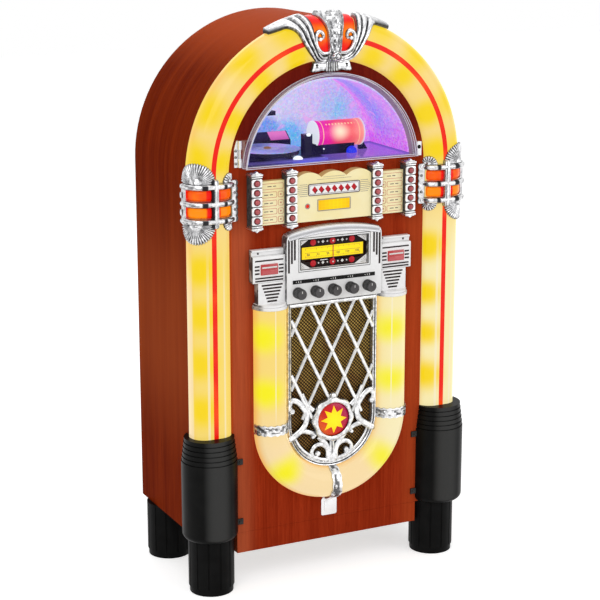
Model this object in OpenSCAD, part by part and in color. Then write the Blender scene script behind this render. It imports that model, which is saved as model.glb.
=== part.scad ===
// Floor-standing jukebox radio: arched cabinet, light tubes, disc window, key rails and radio fascia.
// Millimetres, +Z up, the front faces -Y, the origin lies on the floor under the middle of the object.

/* [Cabinet] */
// Width over the side walls
cabinet_w = 542; // [520:1:640]
// Depth from the front of the light tubes to the back
cabinet_d = 292; // [270:1:380]
// Height of the centre of the arch above the floor
arch_z = 782; // [760:1:880]
// Height of the cabinet bottom above the floor
foot_h = 108; // [70:1:115]
// Thickness of the side walls and of the arch
wall_t = 12; // [8:1:18]
// Thickness of the baffle board
baffle_t = 12; // [8:1:18]
// Thickness of the base board
base_t = 15; // [10:1:24]
// Thickness of the back panel
back_t = 5; // [4:0.5:9]
// Width and depth of the cleat that carries the back panel
cleat_w = 15; // [10:1:24]
// Height of the skirt board under the front panel
skirt_h = 40; // [15:1:60]
// Distance from the skirt board's ends to the front feet
skirt_gap = 3; // [1:0.5:10]
// Set-back of the front panel from the front of the light tubes
panel_set = 14; // [10:1:20]
// Clearance between fixed pieces
fit_gap = 0.3; // [0.1:0.05:0.6]

/* [Light tubes] */
// Width of a light tube
tube_w = 78; // [66:1:86]
// Depth of a light tube
tube_d = 36; // [30:1:44]
// Radius of the front corners of a light tube
tube_round = 28; // [18:1:30]
// Wall of a light tube
tube_wall = 2.5; // [1.5:0.5:4]
// Distance from the cabinet side to the centre line of a tube
tube_inset = 34; // [30:1:42]
// Width of the red stripe
stripe_w = 9; // [5:0.5:14]
// Thickness of the red stripe
stripe_t = 1.5; // [1:0.25:2.25]
// How far the stripe stands proud of the tube
stripe_proud = 0.5; // [0.25:0.25:0.75]

/* [Feet and boots] */
// Radius of a foot
foot_r = 43; // [30:1:46]
// Radius of the ring that a foot stands on
foot_ring_r = 41; // [25:1:42]
// Height of that ring
foot_ring_h = 12; // [5:1:30]
// Distance of the front feet behind the front of the tubes
foot_front = 31; // [26:1:45]
// Distance of the rear feet from the back
foot_rear = 54; // [50:1:90]
// Number of grooves round a foot
foot_grooves = 12; // [6:1:20]
// Radius of a groove
foot_groove_r = 1.5; // [0.75:0.25:3]
// Radius of a boot
boot_r = 52; // [50:1:58]
// Height of a boot
boot_h = 196; // [150:1:260]
// How far a boot stands in front of the tubes
boot_proud = 28; // [20:1:34]
// How far a boot's centre lies outside the tube's centre line
boot_shift = 4.5; // [0:0.5:6]
// Radius of a boot's bottom edge
boot_round = 12; // [4:1:20]
// Thickness of a boot's floor
boot_floor = 10; // [4:1:20]
// Height of the ringed collar
collar_h = 45; // [30:1:70]
// Number of rings on the collar
collar_rings = 5; // [3:1:8]
// How much each ring is narrower than the one below
collar_step = 1.1; // [0.4:0.1:1.2]
// Depth and height of the groove between two rings
collar_groove = 1.4; // [0.6:0.1:1.6]
// Side of the square ear that fixes a boot to the panel
ear_w = 11; // [9:0.5:16]
// Thickness of an ear
ear_t = 3; // [2:0.5:5]

/* [Clasps and crown] */
// Drop of the clasp centre below the arch centre
clasp_drop = 42; // [30:1:60]
// How far the clasp bars stand proud of the tube
clasp_proud = 13; // [8:1:15]
// Height of a clasp bar
clasp_bar_h = 13; // [8:1:18]
// Distance between clasp bars
clasp_pitch = 31; // [24:1:38]
// Width of the upright bar over the stripe
clasp_upright_w = 12; // [6:1:18]
// Thickness of the side flanges
clasp_flange_t = 5; // [3:0.5:7]
// Radius of the large shell fans
fan_r = 38; // [28:1:42]
// Radius of the small shell fans
small_fan_r = 17; // [12:1:18]
// Direction of the shell fans round the tube, from the front, in degrees
fan_turn = 45; // [35:1:55]
// Thickness of the fans over the tube
fan_t = 6; // [3:0.5:7]
// Thickness of the amber lenses over the tube
lens_t = 4; // [2:0.5:6]
// Thickness of the crown over the tube
crown_t = 11; // [8:1:14]
// Half width of the crown's foot plate
crown_plate_w = 41; // [30:1:50]
// Thickness of the crown's foot plate
crown_plate_t = 5; // [3:0.5:8]
// How much narrower the foot plate is at its top, on each side
crown_plate_taper = 5; // [0:0.5:8]
// Gap between the crown's foot plate and the window door
crown_gap = 2; // [1:0.25:6]
// Distance of the foot plate's screws from its ends
crown_screw_in = 11; // [7:0.5:14]
// Radius of the rosette above the foot plate
rosette_r = 9; // [5:0.5:14]

/* [Window door] */
// Distance from the panel's edge to the door's arch
door_margin = 21.5; // [18:0.5:30]
// Height of the door's bottom edge above the arch centre
door_low = 14; // [8:1:30]
// Depth of the door
door_d = 18; // [12:1:24]
// Wall of the door
door_wall = 3; // [2:0.5:5]
// Gap between door and panel
door_gap = 0.5; // [0.4:0.1:1.5]
// How far the door overlaps the window opening
door_overlap = 12; // [8:1:20]
// Height of the hinge
hinge_h = 48; // [36:1:60]
// Height of the hinge above the door's bottom edge
hinge_low = 3; // [1:0.5:10]
// Radius of the hinge pin
hinge_pin_r = 2; // [1.5:0.1:2.4]
// Outer radius of the hinge knuckles
knuckle_r = 3.6; // [3:0.1:4]
// Distance of the hinge pin in front of the panel
hinge_off = 4.2; // [4:0.1:6]
// Distance of the hinge pin outside the door's arch
hinge_out = 5; // [4.5:0.5:8]
// Width of the hinge leaf
leaf_w = 10; // [9:0.5:12]
// Thickness of the hinge leaf
leaf_t = 2; // [1.5:0.25:3]
// Height of the leaf's lowest screw above its lower end
leaf_screw_low = 6.7; // [4:0.1:9]
// Distance between the leaf's screws
leaf_screw_pitch = 11.5; // [8:0.25:13]
// Running clearance of pins and shafts, on the radius
run_gap = 0.05; // [0.02:0.01:0.1]
// End clearance of the middle knuckle
knuckle_gap = 0.4; // [0.3:0.1:1]
// Width of the door catch
catch_w = 9; // [5:0.5:10]
// Depth of the door catch
catch_d = 12; // [6:0.5:18]
// Height of the door catch
catch_h = 26; // [12:1:40]

/* [Display box] */
// Depth of the display box behind the front of the panel
box_d = 150; // [130:1:200]
// Wall of the display box
box_wall = 3; // [2:0.5:6]
// Radius of the disc platter
platter_r = 58; // [50:1:60]
// Thickness of the platter
platter_t = 9; // [5:0.5:14]
// Radius of the disc
disc_r = 60; // [40:0.5:60]
// Thickness of the disc
disc_t = 1.2; // [1:0.1:3]
// Radius of the platter's spindle
spindle_r = 4; // [2.5:0.1:7]
// Gap between the disc and the side of the display box
disc_gap = 4.2; // [2:0.1:8]
// Share of the display's spare width that lies between the disc and the post
spare_share = 0.3; // [0.1:0.05:0.6]
// Distance of the platter behind the front of the panel
platter_y = 62; // [60:1:70]
// Thickness of the deck plate
deck_t = 3; // [2:0.5:6]
// Height of the ring under the platter
deck_ring_h = 5; // [3:0.5:10]
// Radius of the ring under the platter
deck_ring_r = 46; // [30:1:50]
// Gap between the deck plate and the drum's cradle
deck_gap = 1; // [0.5:0.25:4]
// Width of the wedge cover behind the platter
wedge_w = 78; // [50:1:84]
// Depth of the wedge cover
wedge_d = 20; // [12:0.5:21]
// Height of the wedge cover at its back
wedge_h = 32; // [20:1:50]
// Height of the wedge cover at its front
wedge_low_h = 17; // [6:1:19]
// Gap between the platter and the wedge cover
wedge_gap = 3; // [1.5:0.5:5]
// Side of the square post
post_w = 16; // [8:0.5:20]
// Height of the post
post_h = 34; // [20:1:60]
// Distance of the post's centre behind the front of the panel
post_y = 76; // [60:1:100]
// Reach of the lamp arm from the box's widest place
lamp_arm_w = 85; // [70:1:100]
// Depth of the lamp arm
lamp_arm_d = 18; // [10:1:26]
// Thickness of the lamp arm
lamp_arm_t = 8; // [4:0.5:12]
// Radius of the lamp drum
drum_r = 25; // [18:0.5:28]
// Length of the lamp drum
drum_len = 94; // [70:1:110]
// Distance of the drum behind the front of the panel
drum_y = 72; // [60:1:90]
// Height of the drum's underside above the floor of the box
drum_low = 11; // [8:0.5:20]
// Thickness of the drum's end caps
drum_end_t = 3; // [2:0.25:6]
// Radius of the drum's end caps
drum_end_r = 16; // [10:0.5:17.5]
// Depth of the drum's cradle
cradle_d = 34; // [24:1:36]
// Depth to which the drum lies in its cradle
cradle_lap = 8; // [4:0.5:12]
// Height of the lamp arm above the floor of the box
lamp_arm_z = 78; // [70:1:90]

/* [Key rails] */
// Distance of the inner rails from the middle
rail_inner_x = 87.5; // [86:0.5:92]
// Gap between the outer rails and the clasps
rail_side_gap = 17.5; // [6:0.5:26]
// Width of a rail
rail_w = 21; // [17:0.5:24]
// Depth of a rail
rail_d = 24; // [19:0.5:30]
// Height of a rail
rail_h = 104; // [94:1:120]
// Wall of a rail
rail_wall = 2; // [1.5:0.25:3]
// Gap between the door and the rails
rail_drop = 7; // [4:0.5:12]
// Distance between keys
key_pitch = 17; // [14:0.25:17.5]
// Radius of a key cap
key_r = 4.8; // [3:0.1:5.5]
// Height of a key cap's straight edge in front of the rail
key_edge_h = 2.6; // [2.1:0.1:4]
// Height of a key cap's dome
key_dome_h = 1.2; // [0.6:0.1:3]
// Radial clearance of a key in its hole
key_gap = 0.35; // [0.3:0.05:0.6]
// Travel of a key
key_travel = 1.5; // [0.8:0.1:2]
// Width of the key's collar behind the rail's face
key_collar = 1.4; // [0.8:0.1:2]
// Thickness of that collar
key_collar_t = 1.6; // [1:0.1:3]
// Radius of a key's stem
key_stem_r = 2.4; // [1.5:0.1:3]
// Height of the switch behind a key
switch_h = 3; // [2:0.25:6]
// Radius of the round tips on a rail's ends
rail_tip_r = 4; // [2:0.25:5]
// Depth of those tips
rail_tip_d = 6; // [3:0.5:10]

/* [Title panels] */
// Depth of the title panel
title_d = 18; // [14:0.5:22]
// Depth of the label panels
label_d = 13; // [8:0.5:18]
// Height of the panels up to the valleys of the scallops
title_h = 90; // [80:1:92]
// Height of the scallops
scallop_h = 10; // [5:0.5:12]
// Wall of the panels
title_wall = 3; // [2:0.5:4]
// Width of the display
lcd_w = 65; // [40:1:90]
// Height of the display
lcd_h = 19; // [12:0.5:26]
// Height of the display's centre above the panels' lower edge
lcd_z = 28.5; // [20:0.5:40]
// Radius of the remote eye
eye_r = 3.5; // [2:0.5:6]
// Distance of the remote eye from the middle
eye_x = 54; // [50:1:66]

/* [Radio fascia] */
// Gap between the rails and the top of the fascia
fascia_drop = 3; // [1:0.5:10]
// Width of the fascia's middle body
fascia_w = 196; // [184:1:200]
// Height of the middle body at its sides
fascia_h = 128; // [120:1:140]
// Rise of the arched top
fascia_rise = 11; // [5:0.5:20]
// Depth of the middle body
fascia_d = 22; // [20:0.5:28]
// Wall of the fascia
fascia_wall = 3; // [2:0.25:4]
// Distance of the wings' ends from the middle
wing_x = 163.5; // [156:0.5:175]
// Depth of the wings
wing_d = 17; // [14:0.5:20]
// Height of the wings
wing_h = 49; // [42:1:56]
// Height of the ledge on top of a wing
ledge_h = 11; // [5:0.5:16]
// Depth of that ledge
ledge_d = 10; // [6:0.5:13]
// Height of the block under a wing
block_h = 44; // [36:1:50]
// Half width of the block under a wing
block_half = 28; // [24:0.5:30]
// Width of the dial opening
dial_w = 140; // [120:1:150]
// Height of the dial opening
dial_h = 55; // [54:1:68]
// Height of the dial's centre above the bottom of the fascia
dial_z = 89; // [84:1:92]
// Depth of the dial recess
dial_recess = 9; // [7:0.5:10]
// Thickness of the dial face
dial_t = 2; // [1.5:0.25:2.5]
// Height of the dial scale
scale_h = 23; // [14:1:30]
// Distance between the pointer's end stop and the edge of the dial opening
pointer_margin = 14; // [13:0.5:25]
// Width of the pointer
pointer_w = 1.4; // [1:0.1:3]
// Radius of the pointer's guide rod
rod_r = 1.5; // [1:0.1:1.8]
// Distance of the guide rod behind the dial face
rod_set = 5; // [4.5:0.25:5.5]
// Width of the pointer's carriage
carriage_w = 10; // [6:0.5:12]
// Height of the pointer's slot in the dial face
slot_h = 2.4; // [2:0.1:4]
// Distance of that slot below the scale
slot_drop = 3; // [2:0.25:6]
// Width of the lip round the dial opening
dial_lip = 3; // [2:0.25:4]
// Knob spacing
knob_pitch = 36; // [28:0.5:37]
// Height of the knobs above the bottom of the fascia
knob_z = 20; // [16:0.5:24]
// Shift of the knob row to the left
knob_shift = 4; // [0:0.5:6]
// Radius of a knob
knob_r = 9; // [6:0.25:11]
// Radius of a knob's skirt
knob_skirt_r = 10.5; // [7:0.25:12.5]
// Length of a knob
knob_len = 20; // [12:0.5:24]
// Length of a knob's skirt
knob_skirt_len = 7; // [3:0.5:10]
// Radius of a knob's shaft
shaft_r = 3; // [2:0.1:4]
// Length of a knob's shaft behind the knob
shaft_len = 9; // [6:0.5:10]
// Width of the power and light buttons
push_w = 34.5; // [24:0.5:40]
// Height of the power and light buttons
push_h = 20; // [14:0.5:26]
// How far these buttons stand proud
push_proud = 2.6; // [2:0.1:5]
// Travel of these buttons
push_travel = 2; // [1:0.1:2.5]
// Clearance round these buttons
push_gap = 0.35; // [0.3:0.05:0.8]
// Width and thickness of these buttons' collars
push_collar = 2; // [1.5:0.25:3]
// Number of slats on the block under a wing
slat_count = 6; // [3:1:7]
// Width of the topmost slat
slat_w = 34; // [20:1:44]
// How much each slat is narrower than the one above
slat_step = 3.4; // [0:0.2:4]
// Distance between slats
slat_pitch = 6; // [4:0.25:6]
// Height of a slat or width of a groove
slat_h = 2; // [1:0.25:3]
// Depth of the slats and grooves
slat_d = 1.5; // [0.5:0.25:1.75]
// Number of upright grooves on each side of the dial
groove_count = 3; // [1:1:3]
// Distance between those grooves
groove_pitch = 6; // [4:0.5:7]
// Radius of the potentiometers behind the knobs
pot_r = 8; // [6:0.25:12]

/* [Lower front] */
// Radius of the path of the U tube
u_path_r = 125; // [115:1:132]
// Radius of the U tube's section
u_tube_r = 31; // [24:0.5:34]
// Distance of the section's centre in front of the panel
u_lift = 4.6; // [0.5:0.1:8]
// Length of the U tube's legs
u_leg = 233; // [200:1:260]
// Width of the grille's rim
rim_w = 6; // [4:0.5:10]
// Distance of the grille's front from the panel
grille_lift = 16; // [12:0.5:22]
// Thickness of the grille's bars
grille_t = 6; // [3:0.5:8]
// Width of a grille bar
bar_w = 5.5; // [3:0.25:8]
// Width of a grille diamond
diamond_w = 52; // [40:1:70]
// Height of a grille diamond
diamond_h = 105; // [80:1:140]
// Thickness of the grille cloth on its card
cloth_t = 2.5; // [1.5:0.25:4]
// Radius of the medallion
medal_r = 32; // [20:0.5:36]
// Width of the ring round the medallion
medal_rim = 9; // [5:0.5:12]
// Height of that ring in front of the grille
medal_lift = 8; // [5:0.5:14]
// Height of the medallion's dome
medal_dome = 5; // [2:0.5:5]
// Direction of the upper scroll rings above the horizontal, in degrees
scroll_high = 28; // [15:1:40]
// Direction of the lower scroll rings below the horizontal, in degrees
scroll_low = 48; // [35:1:65]
// Height of the bands round the U tube
band_h = 24; // [14:0.5:34]
// Thickness of the bands and of the strap
band_t = 3; // [2:0.25:5]
// Width of the strap over the bottom of the U tube
strap_w = 20; // [12:0.5:26]
// Width of the tab under the strap
tab_w = 33; // [22:1:44]
// Length of the tab
tab_h = 40; // [20:1:46]

/* [Inside] */
// Radius of a loudspeaker's flange
speaker_r = 62; // [50:1:66]
// Depth of a loudspeaker behind the baffle
speaker_d = 48; // [35:1:70]
// Thickness of a loudspeaker's flange
speaker_flange_t = 4; // [2:0.5:6]
// Width of a loudspeaker's flange round its hole
speaker_flange_w = 10; // [8:0.5:14]
// Gap between the loudspeakers
speaker_gap = 8; // [3:1:20]
// Height of the lower loudspeaker above the centre of the grille's round end
speaker_rise = 20; // [0:1:40]
// Radius of a loudspeaker's magnet
magnet_r = 34; // [25:1:38]
// Thickness of a loudspeaker's magnet
magnet_h = 16; // [8:1:18]
// Thickness of a loudspeaker's pressed basket
basket_t = 2; // [1:0.25:3]
// Radius of the wiring hole behind the fascia
wire_hole_r = 20; // [10:1:30]
// Width of the power chassis
chassis_w = 170; // [120:1:220]
// Depth of the power chassis
chassis_d = 110; // [80:1:130]
// Height of the power chassis
chassis_h = 36; // [24:1:50]
// Side of the mains transformer
transformer_w = 58; // [40:1:70]
// Height of the mains transformer
transformer_h = 46; // [30:1:60]
// Thickness of the circuit boards
board_t = 1.6; // [1:0.1:2.4]
// Width of the light boards in the columns
light_board_w = 20; // [10:1:40]
// Width of the mains inlet
inlet_w = 34; // [28:1:50]
// Height of the mains inlet
inlet_h = 28; // [22:1:40]
// Depth of the mains inlet
inlet_d = 24; // [14:1:40]
// Wall of the mains inlet
inlet_wall = 5; // [3:0.5:8]
// Height of the mains inlet above the cabinet bottom
inlet_z = 60; // [40:1:90]
// Number of vent slots in each row of the back panel
vent_count = 9; // [4:1:12]
// Width of a vent slot
vent_w = 90; // [40:1:100]
// Height of a vent slot
vent_h = 6; // [3:0.5:10]
// Distance between vent slots
vent_pitch = 14; // [11:0.5:20]
// Radius of the screw heads
head_r = 2.6; // [2.2:0.1:3]
// Radius of the screw shanks
shank_r = 1.3; // [0.8:0.1:1.8]
// Height of the screw heads
head_h = 1.4; // [1:0.1:2]
// How deep the screws reach into the wood
screw_depth = 9; // [5:0.5:12]

/* [Hidden] */
$fn = 64;
// Overlap that keeps cuts clean
cut = 1;
// Keys on each rail
key_rows = 5;
half_w = cabinet_w / 2;
// Depth planes
tube_y = -(cabinet_d - boot_proud) / 2;
panel_y = tube_y + panel_set;
seat_y = tube_y + tube_d;
baffle_y = seat_y + baffle_t;
back_y = tube_y + cabinet_d;
back_in_y = back_y - back_t;
panel_t = seat_y - panel_y;
// Tubes and the edge of the front panel
tube_x = half_w - tube_inset;
panel_r = tube_x - tube_w / 2 - fit_gap;
inner_r = half_w - wall_t - fit_gap;
cover_gap = stripe_proud + fit_gap;
stripe_y = tube_y - stripe_proud;
stripe_back_y = stripe_y + stripe_t;
clasp_z = arch_z - clasp_drop;
base_top = foot_h + base_t;
column_low = foot_h + boot_floor + fit_gap;
// Feet and boots
foot_front_y = tube_y + foot_front;
foot_rear_y = back_y - foot_rear;
boot_x = tube_x + boot_shift;
boot_y = tube_y - boot_proud + boot_r;
boot_top = foot_h + boot_h;
collar_pitch = collar_h / collar_rings;
skirt_half = tube_x - foot_r - skirt_gap;
ear_x = boot_x - sqrt(pow(boot_r, 2) - pow(panel_y - boot_y, 2)) - ear_w / 2;
ear_low = foot_h + boot_round + ear_w;
ear_high = boot_top - collar_h - ear_w;
// Door and window
door_r = panel_r - door_margin;
door_back_y = panel_y - door_gap;
door_front_y = door_back_y - door_d;
door_z = arch_z + door_low;
window_r = door_r - door_overlap;
window_low = door_low + box_wall + door_gap;
hinge_x = -door_r - hinge_out;
hinge_y = panel_y - hinge_off;
hinge_z = door_z + hinge_low;
knuckle_h = hinge_h / 3;
tab_clear = knuckle_r + knuckle_gap;
tab_end = -sqrt(pow(door_r - door_wall, 2) - pow(door_low + hinge_low + hinge_h, 2));
leaf_screw_x = hinge_x - (leaf_w + knuckle_r) / 2;
// Crown and clasps
plate_top = panel_r - fit_gap;
plate_low = door_r + crown_gap;
plate_mid = (plate_low + plate_top) / 2;
rosette_y = tube_y - crown_t - fan_t;
crown_screw_x = crown_plate_w - crown_screw_in;
clasp_reach = tube_w / 2 + clasp_proud;
clasp_tall = clasp_pitch + clasp_bar_h / 2;
clasp_screw_x = tube_x - tube_w / 2 - clasp_proud / 2;
// Display box
floor_z = arch_z + window_low;
platter_z = floor_z + deck_t + deck_ring_h + fit_gap;
box_in_y = panel_y + box_d - box_wall - fit_gap;
platter_mid_y = panel_y + platter_y;
drum_mid_y = panel_y + drum_y;
drum_z = floor_z + drum_low + drum_r;
cradle_half = drum_len / 2 + drum_end_t;
disc_z = platter_z + platter_t + run_gap;
// Half width of the box at the tops of the disc and of the drum, and the width that is spare between them
disc_side = sqrt(pow(window_r, 2) - pow(disc_z + disc_t - arch_z, 2));
drum_side = sqrt(pow(window_r, 2) - pow(drum_z + drum_r - arch_z, 2));
spare_w = disc_side + drum_side - disc_gap - 2 * disc_r - post_w - deck_gap - 2 * cradle_half;
platter_x = disc_side - disc_gap - disc_r;
deck_right = disc_r - platter_x + spare_share * spare_w + post_w;
drum_x = deck_right + deck_gap + cradle_half;
// Key rails and title panels
rail_top = door_z - rail_drop;
rail_mid = rail_top - rail_h / 2;
rail_low = rail_top - rail_h;
rail_y = panel_y - rail_d;
rail_outer_x = tube_x - clasp_reach - rail_side_gap - rail_w / 2;
rail_x = [-rail_outer_x, -rail_inner_x, rail_inner_x, rail_outer_x];
rail_names = ["a", "b", "c", "d"];
switch_y = panel_y - board_t;
key_back_y = switch_y - switch_h - key_travel - fit_gap;
title_low = rail_low + (rail_h - title_h) / 2;
title_half = rail_inner_x - rail_w / 2 - fit_gap;
title_top = title_low + title_h;
lcd_mid_z = title_low + lcd_z;
scallop_span = 2 * title_half / 3;
scallop_r = (pow(scallop_span / 2, 2) + pow(scallop_h, 2)) / (2 * scallop_h);
label_in = rail_inner_x + rail_w / 2 + fit_gap;
label_out = rail_outer_x - rail_w / 2 - fit_gap;
title_box_y = panel_y - title_d;
label_box_y = panel_y - label_d;
// Fascia
fascia_top = rail_low - fascia_drop;
fascia_side_top = fascia_top - fascia_rise;
fascia_low = fascia_side_top - fascia_h;
fascia_y = panel_y - fascia_d;
fascia_half = fascia_w / 2;
fascia_arc_r = (pow(fascia_half, 2) + pow(fascia_rise, 2)) / (2 * fascia_rise);
wing_y = panel_y - wing_d;
wing_in = fascia_half - fascia_wall;
wing_low = fascia_low + block_h;
wing_mid_x = (fascia_half + wing_x) / 2;
wing_top = wing_low + wing_h;
push_z = wing_low + wing_h / 2;
push_collar_y = wing_y + fascia_wall + push_gap;
push_switch_y = push_collar_y + push_collar + push_travel + push_gap;
dial_mid_z = fascia_low + dial_z;
dial_face_y = fascia_y + dial_recess;
dial_back_y = dial_face_y + dial_t;
slot_z = dial_mid_z - scale_h / 2 - slot_drop;
rod_y = dial_back_y + rod_set;
rod_half = dial_w / 2 - dial_lip;
pointer_travel = dial_w / 2 - pointer_margin;
knob_row_z = fascia_low + knob_z;
knob_names = ["volume_knob", "treble_knob", "tuning_knob", "bass_knob", "band_knob"];
pot_front_y = fascia_y + fascia_wall + fit_gap;
pot_back_y = fascia_y + shaft_len + cut;
// Lower front
u_z = fascia_low - u_leg;
u_y = panel_y - u_lift;
grille_r = u_path_r - u_tube_r - fit_gap;
grille_top = fascia_low - fit_gap;
grille_y = panel_y - grille_lift;
grille_back_y = grille_y + grille_t;
medal_y = grille_y - medal_lift;
medal_out = medal_r + medal_rim;
medal_dome_r = (pow(medal_r, 2) + pow(medal_dome, 2)) / (2 * medal_dome);
scroll_space = grille_r - rim_w - medal_out;
scroll_r = (scroll_space - bar_w) / 2 + fit_gap;
scroll_way = medal_out + scroll_space / 2;
lattice_z = (grille_top + u_z + medal_r) / 2;
lattice_angle = atan(diamond_w / diamond_h);
strap_z = u_z - u_path_r;
tab_top = strap_z - u_tube_r;
// A band is straight, so it clears the bend of the tube by this sag and the fit
band_gap = u_path_r - sqrt(pow(u_path_r, 2) - pow(band_h / 2, 2)) + fit_gap;
// The strap is straight along X, so it clears the curved bottom of the tube by this sag and the fit
strap_gap = u_path_r + u_tube_r - sqrt(pow(u_path_r + u_tube_r, 2) - pow(strap_w / 2, 2)) + fit_gap;
// Inside
speaker_hole_r = speaker_r - speaker_flange_w;
speaker_z = [u_z + speaker_rise, u_z + speaker_rise + 2 * speaker_r + speaker_gap];
wire_hole_z = fascia_low + fascia_h / 2;
chassis_y = (baffle_y + back_in_y) / 2 + speaker_d / 2;
inlet_x = half_w / 2;
inlet_mid_z = foot_h + inlet_z;
socket_w = inlet_w - 2 * inlet_wall;
socket_h = inlet_h - 2 * inlet_wall;
vent_z = (foot_h + arch_z) / 2;
// Directions of the back panel's screws round the arch, in degrees
back_screw_turns = [45, 90, 135];
back_screw_r = inner_r - cleat_w / 2;

function key_name(rail, row) = str("select_button_", rail_names[rail], row + 1);
function key_z(row) = rail_mid + ((key_rows - 1) / 2 - row) * key_pitch;

// Flat outlines, drawn in the front view with the arch centre at zero
module arch_outline(r, drop) {
    intersection() {
        circle(r);
        translate([-r, 0]) square([2 * r, r]);
    }
    translate([-r, -drop]) square([2 * r, drop]);
}

module window_outline(r, low) {
    intersection() {
        circle(r);
        translate([-r, low]) square([2 * r, r - low]);
    }
}

// Outline of the grille with its lower round end centred at zero
module grille_outline(r, rise) {
    intersection() {
        circle(r);
        translate([-r, -r]) square([2 * r, r]);
    }
    translate([-r, 0]) square([2 * r, rise]);
}

// Stands a front-view outline up between two depths, with its zero at height z
module stand(y_front, y_back, z) {
    translate([0, y_back, z]) rotate([90, 0, 0]) linear_extrude(y_back - y_front) children();
}

// Box given by its two opposite corners
module span(low, high) {
    translate(low) cube(high - low);
}

// Cylinder along Y between two depths
module along_y(x, y_front, y_back, z, r) {
    translate([x, y_front, z]) rotate([-90, 0, 0]) cylinder(h = y_back - y_front, r = r);
}

// Cylinder along X between two places
module along_x(x_low, x_high, y, z, r) {
    translate([x_low, y, z]) rotate([0, 90, 0]) cylinder(h = x_high - x_low, r = r);
}

module both_sides() {
    children();
    mirror([1, 0, 0]) children();
}

// Section of a light tube, grown outward by g, with its front at zero and its flat back at tube_d
module tube_section(g) {
    half = tube_w / 2 + g;
    corner = tube_round + g;
    intersection() {
        union() {
            for (side = [-1, 1]) translate([side * (half - corner), tube_round]) circle(corner);
            translate([corner - half, -g]) square([2 * (half - corner), corner]);
            translate([-half, tube_round]) square([2 * half, tube_d - tube_round]);
        }
        translate([-half, -g]) square([2 * half, tube_d + g]);
    }
}

module tube_ring(inner, outer) {
    difference() {
        tube_section(outer);
        tube_section(inner);
    }
}

// Sweeps a tube section round the arch
module arch_sweep() {
    translate([0, tube_y, arch_z]) rotate([90, 0, 0]) rotate_extrude(angle = 180)
        translate([tube_x, 0]) mirror([0, 1]) children();
}

// Raises a tube section along the right-hand column
module column_sweep(z_low, z_high) {
    translate([tube_x, tube_y, z_low]) linear_extrude(z_high - z_low) children();
}

// Space that the front panel takes, grown by the fit
module panel_space() {
    stand(panel_y - fit_gap, seat_y + cut, arch_z) arch_outline(panel_r + fit_gap, arch_z);
}

// Space that the cabinet takes behind the tubes, grown by the fit
module cabinet_space() {
    stand(seat_y - fit_gap, back_y + cut, arch_z) arch_outline(half_w + fit_gap, arch_z);
}

// Holes for the loudspeakers and for the wires of the fascia
module sound_holes(y_front, y_back) {
    for (z = speaker_z) along_y(0, y_front, y_back, z, speaker_hole_r);
    along_y(0, y_front, y_back, wire_hole_z, wire_hole_r);
}

// Screws that hold fittings to the front panel: place, depth of the head's seat, height
function front_screws() = concat(
    [for (i = [0:2]) [leaf_screw_x, panel_y - leaf_t, hinge_z + leaf_screw_low + i * leaf_screw_pitch]],
    [for (side = [-1, 1]) [side * crown_screw_x, panel_y - crown_plate_t, arch_z + plate_mid]],
    [for (side = [-1, 1]) for (z = [ear_low, ear_high]) [side * ear_x, panel_y - ear_t, z]],
    [for (side = [-1, 1]) for (way = [-1, 1])
        [side * clasp_screw_x, panel_y - clasp_flange_t, clasp_z + way * clasp_pitch / 2]]
);

module screw_holes() {
    for (p = front_screws()) along_y(p[0], p[1] - cut, panel_y + screw_depth, p[2], shank_r + run_gap);
}

// Places of the back panel's screws, in the front view
function back_screws() = concat(
    [for (side = [-1, 1]) for (z = [base_top + cleat_w, (base_top + arch_z) / 2, arch_z])
        [side * back_screw_r, z]],
    [for (a = back_screw_turns) [back_screw_r * cos(a), arch_z + back_screw_r * sin(a)]]
);

module cabinet_shell() {
    color("#7a2c18") difference() {
        stand(seat_y, back_y, arch_z) arch_outline(half_w, arch_z - foot_h);
        stand(seat_y - cut, back_in_y - cleat_w, arch_z) arch_outline(half_w - wall_t, arch_z - foot_h + cut);
        stand(back_in_y - cleat_w - cut, back_in_y, arch_z)
            arch_outline(half_w - wall_t - cleat_w, arch_z - base_top);
        stand(back_in_y - cleat_w - cut, back_in_y, arch_z)
            translate([wall_t - half_w, foot_h - arch_z - cut])
                square([cabinet_w - 2 * wall_t, base_t + cut]);
        stand(back_in_y, back_y + cut, arch_z) arch_outline(half_w - wall_t, arch_z - foot_h + cut);
        for (p = back_screws()) along_y(p[0], back_in_y - screw_depth, back_y, p[1], shank_r + run_gap);
    }
}

module baffle_board() {
    color("#8a6a48") difference() {
        stand(seat_y, baffle_y, arch_z) arch_outline(inner_r, arch_z - base_top);
        stand(seat_y - cut, baffle_y + cut, arch_z)
            window_outline(window_r + box_wall + fit_gap, window_low - box_wall - fit_gap);
        sound_holes(seat_y - cut, baffle_y + cut);
    }
}

module front_panel() {
    color("#8a2c16") difference() {
        stand(panel_y, seat_y, arch_z) arch_outline(panel_r, arch_z - foot_h);
        stand(panel_y - cut, seat_y + cut, arch_z)
            window_outline(window_r + box_wall + fit_gap, window_low - box_wall - fit_gap);
        sound_holes(panel_y - cut, seat_y + cut);
        screw_holes();
    }
    color("#8a2c16") span([-skirt_half, panel_y, foot_h - skirt_h], [skirt_half, seat_y, foot_h - fit_gap]);
}

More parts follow.
